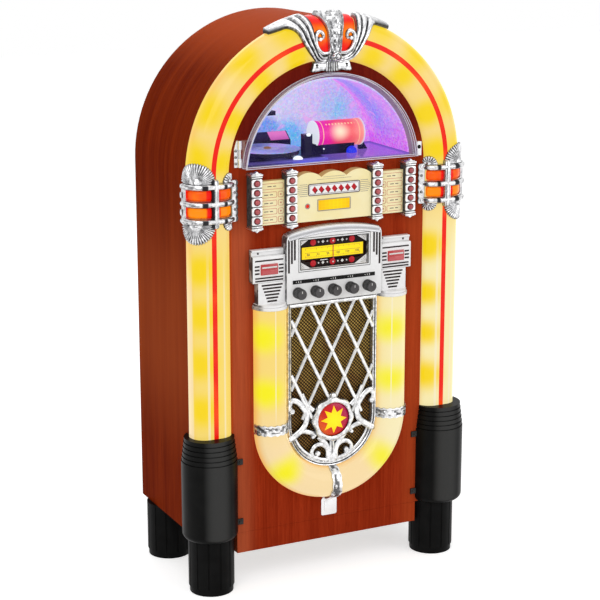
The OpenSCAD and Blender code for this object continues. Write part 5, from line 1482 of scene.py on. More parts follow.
@dataclass
class SideClasps:
    """Plated clasps over the columns, with pleated shells and amber lenses."""

    pitch: float = 31.0
    bar_h: float = 13.0
    proud: float = 13.0
    tall: float = 37.5
    shell_r: float = 37.0
    small_r: float = 16.0
    shell_s: float = 33.0
    plate_t: float = 5.0
    lens_t: float = 4.0
    side: int = -1
    casting: MeshMaker = field(default_factory=MeshMaker)
    lens_set: MeshMaker = field(default_factory=MeshMaker)

    def build(self) -> None:
        """Makes the castings and the lenses of both sides."""
        ovals = Repeat("clasp_ovals", Shape.DOME, CHROME, 12)
        for self.side in (-1, 1):
            self.bars()
            self.upright()
            for up in (-1, 1):
                self.shell(self.shell_s, up, self.shell_r, 23)
                self.shell(-self.shell_s, up, self.small_r, 9)
            self.plates()
            self.lenses()
            for up in (-1, 1):
                ovals.at((self.side * (LAY.tube_x + 51.6), LAY.seat_y - 9.0, LAY.clasp_z + up * self.pitch / 2),
                         (1.4, 8.0, 12.0))
                ovals.at((self.side * (LAY.tube_x - 45.5), LAY.panel_y - 5.2, LAY.clasp_z + up * self.tall * 0.86),
                         (5.0, 1.4, 7.0))
        self.casting.piece("clasp_castings", CHROME, "bright_chrome", ["side_clasps"], 0.0, 42.0)
        self.lens_set.piece("amber_lens_set", AMBER, "lit_amber", ["amber_lenses"])
        ovals.piece("bright_chrome")

    def bars(self) -> None:
        """Wraps three beaded bars round the tube."""
        top = self.proud - LAY.gap
        section = np.array([(-6.5, 0.0), (-6.5, 4.6), (-5.8, 6.4), (-5.1, 5.2), (-4.6, 8.8), (-2.8, 11.4), (0.0, top),
                            (2.8, 11.4), (4.6, 8.8), (5.1, 5.2), (5.8, 6.4), (6.5, 4.6), (6.5, 0.0)])
        shade = [0.3, 0.7, 1.0, 0.02, 0.75, 1.0, 1.0, 1.0, 0.75, 0.02, 1.0, 0.7, 0.3]
        s = np.concatenate([np.linspace(-40.0, 56.0, 36), [59.0, 61.0, 62.4]])
        size = np.concatenate([[0.7, 0.86, 0.95], np.ones(33), [0.95, 0.85, 0.62]])
        # Painted reflection: black on the bars' tops in two places and on their outer ends.
        dark_reflection_patch = ((s > 13.0) & (s < 22.5)) | ((s > -20.0) & (s < -13.0)) | (s > 57.0)
        tone = np.where(dark_reflection_patch[:, None] & (section[:, 0] > -5.0) & (section[:, 0] < 3.4), 0.0, np.asarray(shade))
        for i in (-1, 0, 1):
            z = np.full(len(s), LAY.clasp_z + i * self.pitch)
            path = TubeSkin.column(s, z, LAY.gap, self.side)
            self.casting.sweep(path, TubeSkin.column(s, z, LAY.gap + 1.0, self.side) - path, section, size, tone)

    def upright(self) -> None:
        """Stands the grooved upright over the red stripe."""
        half, top = 6.0, self.proud - LAY.gap
        section = np.array([(-half, 0.0), (-half, 9.4), (-5.2, 10.6), (-3.8, 10.4), (-3.3, 6.5), (-2.8, 11.0),
                            (-1.6, top),
                            (1.6, top), (2.8, 11.0), (3.3, 6.5), (3.8, 10.4), (5.2, 10.6), (half, 9.4), (half, 0.0)])
        # Painted shade: on the left clasp the upright's groove side is black, on the right clasp only its foot and the
        # groove's bottom are dark.
        groove = [0.0, 0.0, 0.0, 0.0, 0.0] if self.side < 0 else [0.2, 0.7, 0.9, 0.7, 0.02]
        shade = [*groove, 0.7, 1.0, 1.0, 1.0, 0.3, 0.8, 1.0, 0.9, 0.3]
        z = LAY.clasp_z + np.array([-44.0, -42.5, -40.0, 40.0, 42.5, 44.0])
        path = TubeSkin.column(np.zeros(6), z, LAY.gap, self.side)
        self.casting.sweep(path, OUT, section, [0.72, 0.9, 1.0, 1.0, 0.9, 0.72], shade)

    def on_tube(self, s: np.ndarray, z: np.ndarray, lift: np.ndarray, shade: np.ndarray) -> None:
        """Lays a lump of the casting on the column.

        Args:
            s: Ways along the section, outwards.
            z: Heights.
            lift: Heights over the lump's own foot.
            shade: Shade of each point.
        """
        self.casting.relief(TubeSkin.column(s, z, LAY.gap + lift, self.side), TubeSkin.column(s, z, LAY.gap, self.side),
                            shade)

    def shell(self, s0: float, up: int, radius: float, pleats: int) -> None:
        """Lays a pleated shell with a dome at its root on the tube.

        Args:
            s0: Way along the section to the shell's middle.
            up: 1 for a shell that opens upwards, -1 for one that opens downwards.
            radius: Radius of the shell.
            pleats: Number of pleats.
        """
        root = LAY.clasp_z + up * (self.tall - 1.0)
        turn = np.linspace(0.0, math.pi, pleats * 6 + 1)
        part = np.concatenate([np.linspace(0.12, 0.9, 8), [0.95, 0.985, 1.0]])
        fold = np.abs(np.sin(turn * pleats)) ** 0.75
        rho, ridge = np.meshgrid(part, fold, indexing="ij")
        far = part[:, None] * (radius * (0.93 + 0.07 * fold))[None, :]
        rim = np.clip((1.0 - rho) / 0.1, 0.0, 1.0) ** 0.6
        height = (1.6 + 2.6 * ridge * rho ** 0.4 + 1.8 * np.sin(rho * math.pi * 0.9)) * (0.35 + 0.65 * rim)
        shade = np.clip(0.3 + 0.7 * ridge ** 1.2, 0.0, 1.0) * (0.3 + 0.7 * rim)
        self.on_tube(s0 + far * np.cos(turn), root + up * far * np.sin(turn), height, shade)
        turn = turn[::4]
        bow = np.linspace(0.0, 1.0, 8)[:, None] * np.ones(len(turn))
        for size, tall in ((0.36, 6.2), (0.22, 7.6)):
            far = radius * size * bow
            lift = tall * np.sqrt(np.clip(1.0 - bow ** 2, 0.0, 1.0))
            # Painted shade: a dark ring at the foot of each dome.
            tone = np.where(bow > 0.9, 0.05, 1.0)
            self.on_tube(s0 + far * np.cos(turn), root + up * far * np.sin(turn), lift, tone)

    def plates(self) -> None:
        """Adds the scalloped plate on the panel and the flange at the outside."""
        z = np.linspace(LAY.clasp_z - self.tall, LAY.clasp_z + self.tall, 61)
        scallop = 1.0 - np.abs(np.sin((z - z[0]) / (z[-1] - z[0]) * math.pi * 7))
        inner = LAY.tube_x - LAY.half - self.proud + 1.8 * scallop
        across = np.linspace(0.0, 1.0, 7)
        x = self.side * (inner[:, None] + (LAY.tube_x - LAY.half - inner)[:, None] * across)
        roll = 3.0 + 2.0 * np.sin(np.clip(across * 1.2, 0, 1) * math.pi / 2)
        top = grid(x, LAY.panel_y - roll, z[:, None])
        base = grid(x, LAY.panel_y, z[:, None])
        self.casting.relief(top, base, np.broadcast_to(np.array([0.35, 0.8, 1.0, 1.0, 1.0, 0.8, 0.3]), x.shape))
        far = LAY.tube_x + LAY.half + self.proud - 2.0
        self.casting.box((min(self.side * far, self.side * (far - self.plate_t)), LAY.seat_y - 16.0,
                          LAY.clasp_z - self.tall + 2.0),
                         (max(self.side * far, self.side * (far - self.plate_t)), LAY.seat_y - 8.0,
                          LAY.clasp_z + self.tall - 2.0), 0.62)

    def lenses(self) -> None:
        """Lays the amber lenses between the bars."""
        for low in (-self.pitch + self.bar_h / 2, self.bar_h / 2):
            v = np.linspace(0.0, 1.0, 9)
            z = LAY.clasp_z + low + v * (self.pitch - self.bar_h)
            for s_low, s_high, ends in ((-37.0, -6.0, True), (6.0, 62.0, False)):
                t = np.linspace(0.0, 1.0, 29)
                s = s_low + t * (s_high - s_low)
                lift = LAY.gap + (self.lens_t - LAY.gap) * (1.0 - np.abs(2 * v - 1.0) ** 4)
                top = TubeSkin.column(s[:, None], z[None, :], lift[None, :], self.side)
                base = TubeSkin.column(s[:, None], z[None, :], LAY.gap, self.side)
                tone = np.interp(t, *((0.0, 0.12, 0.8, 0.86, 1.0), (0.4, 0.9, 0.8, 0.0, 0.0)) if ends else
                                 ((0.0, 0.12, 0.17, 0.5, 0.66, 0.8, 1.0), (0.0, 0.0, 0.8, 1.0, 0.8, 0.1, 0.0)))
                self.lens_set.relief(top, base, np.repeat(tone[:, None], 9, 1) * (1.0 if low < 0.0 else 0.5))


@dataclass
class Crown:
    """Plated crown on the top of the arch, with its two lenses."""

    thick: float = 10.2
    flutes: int = 3
    upper: tuple[tuple[float, float], ...] = ((8, 211), (22, 211), (33, 218), (39, 232), (42, 248), (46, 267),
                                              (58, 286), (82, 283),
                                              (104, 273), (128, 261))
    lower: tuple[tuple[float, float], ...] = ((8, 203), (24, 200), (38, 204), (50, 214), (62, 231), (74, 250),
                                              (87, 256), (100, 253),
                                              (110, 250), (120, 247))
    curl: tuple[tuple[float, float], ...] = ((9, 214), (24, 214), (35, 223), (39, 237), (37, 247), (30, 251), (24, 246),
                                             (25, 239), (31, 238))
    plate_low: float = 178.2
    plate_top: float = 197.0
    plate_w: float = 41.0
    screw_x: float = 30.0
    side: int = -1
    casting: MeshMaker = field(default_factory=MeshMaker)
    lenses: MeshMaker = field(default_factory=MeshMaker)

    def build(self) -> None:
        """Makes the casting, the lenses and the dark discs round the screws, which paint the shade of their holes."""
        holes = MeshMaker()
        for self.side in (-1, 1):
            self.wing()
            self.lens()
            # Painted shade: a dark disc round each screw stands for its hole.
            holes.lathe([(0.0, 0.0), (5.0, 0.0), (5.0, 0.5), (4.2, 0.8), (0.0, 0.8)],
                        (self.side * self.screw_x, LAY.panel_y - 6.8, LAY.arch_z + 187.6), "Y", 24)
        self.band()
        self.plate()
        self.rosette()
        self.casting.piece("crown_casting", CHROME, "bright_chrome", ["crown"], 0.0, 42.0)
        self.lenses.piece("crown_lenses", AMBER, "lit_amber")
        holes.piece("crown_screw_seats", INK_BLACK, "bright_chrome")

    def wing(self) -> None:
        """Bends a bundle of flutes from the rosette up and out over the tube, with a curl inside it."""
        count, across = 80, 45
        a, b = spline(self.upper, count), spline(self.lower, count)
        v = np.linspace(0.0, 1.0, across)
        flat = a[:, None, :] + (b - a)[:, None, :] * v[None, :, None]
        t = np.linspace(0.0, 1.0, count)[:, None]
        ridge = np.abs(np.sin((v + 0.035 * np.sin(t * 9.0)) * math.pi * self.flutes)) ** 0.6
        horn = np.clip((t - 0.66) / 0.1, 0.0, 1.0)
        round_horn = np.sqrt(np.clip(1.0 - (2.0 * v[None, :] - 1.0) ** 2, 0.0, 1.0))
        ridge = ridge * (1.0 - horn * 0.75) + round_horn * horn * 0.75
        ends = np.clip(t / 0.05, 0.4, 1.0) * np.clip((1.0 - t) / 0.012, 0.5, 1.0)
        lift = LAY.gap + self.thick * (0.4 + 0.6 * ridge) * ends
        x, z = self.side * flat[..., 0], flat[..., 1]
        shade = np.clip(0.02 + 1.1 * ridge ** 1.3, 0.0, 1.0) * np.clip((1.0 - t) / 0.03, 0.15, 1.0)
        shade *= 1.0 - horn * 0.8 * np.exp(-((v[None, :] - 0.3) / 0.09) ** 2)
        self.casting.relief(TubeSkin.front(x, z, lift), TubeSkin.front(x, z, LAY.gap), shade)
        path = spline(self.curl, 64)
        over = TubeSkin.front(self.side * path[:, 0], path[:, 1], 2.0)
        size = np.interp(np.linspace(0.0, 1.0, 64), [0.0, 0.1, 0.7, 1.0], [0.7, 1.0, 0.95, 0.55])
        self.casting.sweep(over, OUT, half_round(7.6, 8.4, 10, 3.0), size,
                           [0.1, 0.7, 1.0, 1.0, 1.0, 1.0, 1.0, 1.0, 0.7, 0.1, 0.05, 0.05])
        eye = TubeSkin.front(self.side * path[-1:, 0], path[-1:, 1], 2.0)[0]
        self.casting.lathe([(0.0, 0.0), (4.6, 0.0), (4.4, 5.0), (3.0, 7.6), (0.0, 8.4)], eye, "Y", 20,
                           [0.2, 0.2, 0.8, 1.0, 1.0])

    def band(self) -> None:
        """Runs the beaded band over the tube, wide and embossed at the top."""
        s = np.concatenate([np.linspace(-46.0, 54.0, 67), [55.5, 57.0, 58.5, 60.0, 61.5]])
        across, _, _, _ = TubeSkin.section(s)
        far = LAY.tube_x + across + np.maximum(s - 54.0, 0.0)
        half = np.interp(far, [186.0, 220.0, 250.0, 262.0, 284.0], [10.0, 12.4, 14.8, 19.0, 28.0])
        v = np.linspace(-1.0, 1.0, 41)
        x = half[:, None] * v[None, :]
        lip = np.exp(-((np.abs(v) - 0.86) / 0.1) ** 2)[None, :]
        ridge = np.maximum(lip, SpeakerGrille.pitted(len(s), 41, 3, (3, 6))
                           * np.clip(1.0 - (np.abs(v) / 0.74) ** 6, 0.0, 1.0)[None, :])
        swell = np.clip((s[:, None] + 46.0) / 10.0, 0.3, 1.0) * np.clip((62.5 - s[:, None]) / 4.0, 0.3, 1.0)
        lift = LAY.gap + self.thick * (0.5 + 0.5 * ridge) * swell
        turn = x / (LAY.tube_x + across)[:, None]
        dx, back, nx, ny = (k[:, None] for k in TubeSkin.section(s))

        def put(height: np.ndarray | float) -> np.ndarray:
            """Places the band's rows at a height over the tube."""
            r = LAY.tube_x + dx + nx * height
            return grid(r * np.sin(turn), LAY.tube_y + back + ny * height, LAY.arch_z + r * np.cos(turn))

        self.casting.relief(put(lift), put(LAY.gap), np.clip(0.45 + 0.6 * ridge, 0, 1) * np.ones((len(s), 1)))

    def plate(self) -> None:
        """Spreads the plate with a ribbed middle on the panel under the crown."""
        v = np.linspace(-1.0, 1.0, 97)
        t = np.linspace(0.0, 1.0, 13)
        middle = np.clip(1.0 - (np.abs(v) / 0.34) ** 4, 0.0, 1.0)
        rib = np.abs(np.cos(v * math.pi * 8.0)) ** 0.8
        dip = 2.4 * (1.0 - np.abs(2.0 * np.abs(v) - 1.0)) ** 2
        low = self.plate_low + dip + 1.6 * np.clip(np.abs(v) - 0.9, 0.0, 1.0) * 10.0
        z = low[None, :] + (self.plate_top - low)[None, :] * t[:, None]
        x = v[None, :] * (self.plate_w - 5.0 * np.sin(t[:, None] * math.pi / 2))
        bow = np.sin(np.clip(t[:, None] * 0.9 + 0.1, 0.0, 1.0) * math.pi) ** 0.5
        rise = 4.6 + 3.2 * bow * (1.0 - middle)[None, :] + 4.0 * (rib * middle)[None, :]
        top = grid(x, LAY.panel_y - rise, LAY.arch_z + z)
        base = grid(x, LAY.panel_y, LAY.arch_z + z)
        edge = np.clip(np.minimum(t[:, None] * 7.0, (1.0 - np.abs(v))[None, :] * 12.0) + 0.25, 0.0, 1.0)
        self.casting.relief(top, base, np.where(middle > 0.05, 0.1 + 0.9 * rib, 1.0)[None, :] * edge)

    def rosette(self) -> None:
        """Puts a petalled rosette where the band meets the plate."""
        profile = [(0.0, 0.0), (9.0, 0.0), (9.0, 22.0), (8.4, 25.0), (6.6, 26.2), (5.2, 24.4), (4.6, 26.0), (3.0, 28.6),
                   (0.0, 29.6)]
        self.casting.lathe(profile, (0.0, LAY.panel_y - 6.0, LAY.arch_z + self.plate_top + 10.0), "Y", 48,
                           [0.3, 0.3, 1.0, 1.0, 0.7, 0.02, 0.8, 1.0, 1.0], 0.14, 8)

    def lens(self) -> None:
        """Fills the space between band and wing with a lens."""
        a = spline([(10, 216), (11, 234), (13, 248), (18, 262), (25, 276), (27, 297)], 20)
        b = spline([(26, 216), (36, 228), (41, 246), (44, 262), (49, 278), (56, 294)], 20)
        v = np.linspace(0.0, 1.0, 9)
        flat = a[:, None, :] + (b - a)[:, None, :] * v[None, :, None]
        lift = LAY.gap + 3.2 * (1.0 - np.abs(2 * v - 1) ** 4)[None, :] * np.ones((20, 1))
        x, z = self.side * flat[..., 0], flat[..., 1]
        run = np.interp(np.linspace(0.0, 1.0, 20), [0.0, 0.15, 0.4, 0.55, 0.7, 1.0], [0.0, 0.2, 0.75, 0.45, 0.0, 0.0])
        tone = np.repeat(run[:, None], 9, 1)
        self.lenses.relief(TubeSkin.front(x, z, lift), TubeSkin.front(x, z, LAY.gap), tone)


@dataclass
class WindowDoor:
    """Clear door over the display, with its bright edges, hinge and catch."""

    radius: float = 176.2
    low: float = 796.0
    front: float = -136.5
    back: float = -118.5

    def build(self) -> None:
        """Dresses the door and draws the light in its edges."""
        keep("window_door", CLEAR)
        keep("door_fittings", FITTING)
        # Painted shade: a dark disc stands for the catch's hole.
        hole = MeshMaker().lathe([(0.0, 0.0), (3.7, 0.0), (3.7, 0.4), (2.9, 0.7), (0.0, 0.7)],
                                 (180.6, LAY.panel_y - 12.0, 812.0), "Y", 28)
        hole.piece("catch_hole", INK_BLACK, "bright_chrome")
        edges = MeshMaker()
        start = math.asin((self.low - LAY.arch_z) / self.radius)
        turn = np.linspace(start, math.pi - start, 81)
        square = np.array([(-0.5, -0.5), (0.5, -0.5), (0.5, 0.5), (-0.5, 0.5)])
        for y, inset in ((self.front + 0.5, 0.6), (self.front + 3.2, 3.2), (self.back - 0.5, 0.6)):
            r = self.radius - inset
            path = grid(r * np.cos(turn), y, LAY.arch_z + r * np.sin(turn))
            edges.sweep(path, OUT, square)
            half = (self.radius - inset) * math.cos(start) - 0.4
            line = np.array([(-half, y, self.low + inset), (0.0, y, self.low + inset), (half, y, self.low + inset)])
            edges.sweep(line, OUT, square)
        edges.piece("door_bright_edges", CLEAR_EDGE, "clear_acrylic", body="window_door")


@dataclass
class Display:
    """Lit display behind the door: foil, deck, disc and lamp drum."""

    disc_x: float = -96.0
    disc_y: float = -56.0
    floor: float = 799.5
    drum_x: float = 50.0
    drum_y: float = -46.0
    drum_z: float = 835.5
    drum_r: float = 25.0
    drum_half: float = 47.0

    def build(self) -> None:
        """Dresses the box and makes the disc, the drum and the deck's covers."""
        keep("display_box", FOIL)
        keep("cd_deck", DECK)
        self.disc()
        self.drum()
        self.deck()

    def disc(self) -> None:
        """Turns the platter and the disc with its hub."""
        at = (self.disc_x, self.disc_y, 0.0)
        platter = MeshMaker().lathe([(5.0, 808.0), (56.0, 808.0), (57.6, 809.2), (58.0, 811.0), (57.4, 812.2),
                                     (58.0, 813.4),
                                     (57.6, 815.8), (56.6, 816.6), (5.0, 816.6), (5.0, 808.0)], at, "Z", 72)
        platter.piece("platter_dish", DECK, "deck_dark", ["cd_platter"], body="cd_platter")
        disc = MeshMaker().lathe([(22.0, 816.9), (60.0, 816.9), (60.0, 818.0), (22.0, 818.0), (22.0, 816.9)], at, "Z",
                                 90)
        finish = DiscSilver("disc_play_side", (self.disc_x * MM, self.disc_y * MM, 0.0))
        disc.piece("silver_disc", finish, "disc_silver", body="cd_platter")
        hub = MeshMaker().lathe([(5.0, 816.9), (22.0, 816.9), (22.0, 818.0), (19.0, 818.1), (18.4, 818.0), (9.0, 818.0),
                                 (8.4, 818.2), (5.0, 818.2), (5.0, 816.9)], at, "Z", 60)
        hub.piece("disc_hub", HUB, "disc_silver", body="cd_platter")
        cap = MeshMaker().lathe([(0.0, 816.0), (7.4, 816.0), (7.4, 818.6), (6.0, 820.4), (3.0, 821.4), (0.0, 821.8)],
                                at, "Z", 36)
        cap.piece("spindle_cap", SPINDLE, "disc_silver", body="cd_platter")

    def drum(self) -> None:
        """Rolls the drum with its rims and the cradle under it."""
        low, high, r = self.drum_x - self.drum_half, self.drum_x + self.drum_half, self.drum_r
        at = (0.0, self.drum_y, self.drum_z)
        body = MeshMaker().lathe([(0.0, low), (23.4, low), (r, low + 1.6), (r, low + 5.0), (24.4, low + 5.6),
                                  (24.4, high - 5.6),
                                  (r, high - 5.0), (r, high - 1.6), (23.4, high), (0.0, high)], at, "X", 64)
        finish = LitDrum("lamp_drum_glow", low * MM, high * MM, (0.047, -0.071, 0.842))
        body.piece("lamp_drum_roll", finish, "lit_drum", ["lamp_drum"])
        ends = MeshMaker()
        for x, way in ((low, -1.0), (high, 1.0)):
            ends.lathe([(0.0, x), (r + 0.4, x), (r + 0.4, x + way * 1.6), (23.6, x + way * 2.8), (20.0, x + way * 2.4),
                        (0.0, x + way * 2.0)], at, "X", 56, [0.2, 0.4, 1.0, 1.0, 0.9, 1.0])
        ends.piece("drum_ends", PALE_RING, "lit_drum")
        cradle = MeshMaker()
        turn = np.linspace(math.pi * 1.26, math.pi * 1.74, 17)
        saddle = [(self.drum_y + (r + 0.5) * math.cos(t), self.drum_z + (r + 0.5) * math.sin(t)) for t in turn]
        outline = np.array([(self.drum_y - 17.0, self.floor), (self.drum_y - 17.0, 818.0), *saddle,
                            (self.drum_y + 17.0, 818.0), (self.drum_y + 17.0, self.floor)])
        rings = np.stack([grid(x, outline[:, 0], outline[:, 1]) for x in (0.2, 80.0)])
        cradle.loft(rings)
        cradle.piece("drum_cradle", DECK, "deck_dark", (), 1.2)

    def deck(self) -> None:
        """Adds the pink cover of the wedge, the lamps and small fittings."""
        cover = MeshMaker()
        y0, y1, z0, z1 = 8.6, 25.8, 821.0, 833.8
        x0, x1 = self.disc_x + 38.0, self.disc_x + 75.4
        rows = np.array([[(x0, y0, z0), (x1, y0, z0)], [(x0, y1, z1), (x1, y1, z1)]])
        grid = np.stack([rows[0] + (rows[1] - rows[0]) * t for t in np.linspace(0.0, 1.0, 6)])
        fine = np.stack([grid[:, 0] + (grid[:, 1] - grid[:, 0]) * t for t in np.linspace(0.0, 1.0, 12)], 1)
        shade = np.linspace(0.2, 1.0, 6)[:, None] * np.ones((6, 12))
        cover.relief(fine + np.array([0.0, -0.5, 0.8]), fine, shade)
        cover.piece("wedge_pink_cover", DECK_PINK, "deck_dark")
        lamps = Repeat("deck_lamps", Shape.DOME, LED_BLUE, 16)
        lamps.at((-9.0, -50.2, 836.0), (9.0, 9.0, 6.0)).at((16.0, self.drum_y - 17.4, 810.0), (3.0, 1.6, 3.0))
        lamps.at((-120.0, -57.0, 877.6), (9.0, 9.0, 3.0))
        lamps.piece("lit_drum")
        white = MeshMaker().lathe([(0.0, -0.6), (9.2, -0.6), (9.4, 1.4), (8.4, 4.2), (6.2, 6.4), (3.4, 7.6),
                                   (0.0, 8.0)],
                                  (-57.0, -103.0, 800.4), "Z", 40)
        white.piece("floor_lamp", LED_BLUE, "lit_drum")
        blue = MeshMaker().lathe([(0.0, -0.6), (11.0, -0.6), (11.2, 2.0), (10.2, 6.4), (7.6, 9.6), (4.0, 11.4),
                                  (0.0, 12.0)],
                                 (74.0, self.drum_y - 15.0, 800.2), "Z", 40)
        blue.piece("cradle_lamp", LAMP_BLUE, "lit_drum")
        bracket = MeshMaker()
        bracket.loft(np.stack([np.array([(104.0, y, 799.8), (122.0, y, 799.8), (104.0, y, 826.0)])
                               for y in (-38.0, -30.0)]))
        bracket.piece("drum_bracket", DECK, "deck_dark", (), 0.8)


@dataclass
class KeyRails:
    """Four plated rails with five red keys each."""

    xs: tuple[float, ...] = (-157.0, -87.5, 87.5, 157.0)
    names: str = "abcd"
    rows: int = 5
    top_key: float = 771.0
    pitch: float = 17.0
    low: float = 685.0
    top: float = 789.0
    front: float = -142.0
    half: float = 10.5

    def build(self) -> None:
        """Makes the rails, their ribs and the keys."""
        rails, tips = MeshMaker(), MeshMaker()
        # Painted shade: the ribs on the rails' sides take the dark metal, as the sides' shade.
        ribs = Repeat("rail_ribs", Shape.ROD, DARK_METAL, 10)
        rings = MeshMaker()
        for rail, x in enumerate(self.xs):
            self.rail(rails, x)
            for side in (-1, 1):
                for i in range(6):
                    ribs.at((x + side * (self.half - 0.9), self.front + 4.0 + i * 3.4, (self.low + self.top) / 2),
                            (2.6, 2.6, 92.0))
            for z, way in ((self.low, -1.0), (self.top, 1.0)):
                self.cap(tips, x, z, way)
            for row in range(self.rows):
                z = self.top_key - row * self.pitch
                rings.lathe([(5.05, -0.2), (6.3, -0.2), (6.3, 0.7), (5.9, 1.0), (5.3, 0.9), (5.05, 0.5), (5.05, -0.2)],
                            (x, self.front, z), "Y", 28)
                self.key(rail, row, x, z)
        rails.piece("rail_fronts", CHROME_FLAT, "bright_chrome", ["button_rails"], 0.7)
        tips.piece("rail_caps", CHROME_SOFT, "bright_chrome", (), 0.5)
        ribs.piece("bright_chrome")
        rings.piece("key_rings", RED_WINE, "bright_chrome")

    def rail(self, maker: MeshMaker, x: float) -> None:
        """Stacks the front plates of a rail on its body.

        Args:
            maker: Mesh to add to.
            x: Middle of the rail.
        """
        # Painted shade: the rail's body behind the plates takes a low shade.
        maker.box((x - self.half + 1.2, self.front + 2.2, self.low + 1.0),
                  (x + self.half - 1.2, LAY.panel_y, self.top - 1.0), 0.25)
        for row in range(self.rows):
            z = self.top_key - row * self.pitch
            turn = np.linspace(0.0, math.tau, 32, endpoint=False) + math.pi / 32
            square = np.column_stack([np.cos(turn), np.sin(turn)])
            square /= np.abs(square).max(1, keepdims=True)
            outer = square * np.array([self.half, self.pitch / 2 - 1.0]) + np.array([x, z])
            inner = np.column_stack([x + 5.2 * np.cos(turn), z + 5.2 * np.sin(turn)])
            maker.frame(outer, inner, self.front, self.front + 2.6)

    def cap(self, maker: MeshMaker, x: float, z: float, way: float) -> None:
        """Steps the end of a rail and puts a point on it.

        Args:
            maker: Mesh to add to.
            x: Middle of the rail.
            z: Height of the end.
            way: 1 for the top, -1 for the bottom.
        """
        def slab(inner: float, outer: float, grow: float, front: float, shade: float) -> None:
            """Adds one step of the end, between two distances from its top."""
            low, high = sorted((z - way * inner, z - way * outer))
            maker.box((x - self.half - grow, self.front - front, low), (x + self.half + grow, LAY.panel_y, high), shade)

        slab(8.4, 6.0, 0.0, 0.3, 1.0)
        # Painted shade: the inset second step takes shade 0, a dark recess line.
        slab(6.0, 5.0, -1.2, -1.2, 0.0)
        slab(5.0, 1.6, 0.8, 1.0, 1.0)
        slab(1.6, 0.0, -1.6, -0.6, 0.7)
        tip = np.array([(x - 5.0, z - way * 0.2), (x - 2.2, z + way * 1.6), (x, z + way * 3.9),
                        (x + 2.2, z + way * 1.6), (x + 5.0, z - way * 0.2)])
        maker.prism(tip, self.front + 0.6, self.front + 8.0)

    def key(self, rail: int, row: int, x: float, z: float) -> None:
        """Turns one key with its dome.

        Args:
            rail: Number of the rail.
            row: Number of the key from the top.
            x: Middle of the rail.
            z: Height of the key.
        """
        name = f"select_button_{self.names[rail]}{row + 1}"
        maker = MeshMaker().lathe([(0.0, -16.0), (2.4, -16.0), (2.4, -2.8), (4.6, -2.8), (4.6, 1.6), (4.3, 2.4),
                                   (3.7, 2.9), (2.6, 3.5),
                                   (1.3, 3.75), (0.0, 3.8)], (x, self.front, z), "Y", 28)
        maker.piece(f"key_cap_{self.names[rail]}{row + 1}", KEY_RED, "key_red", [name], body=name)


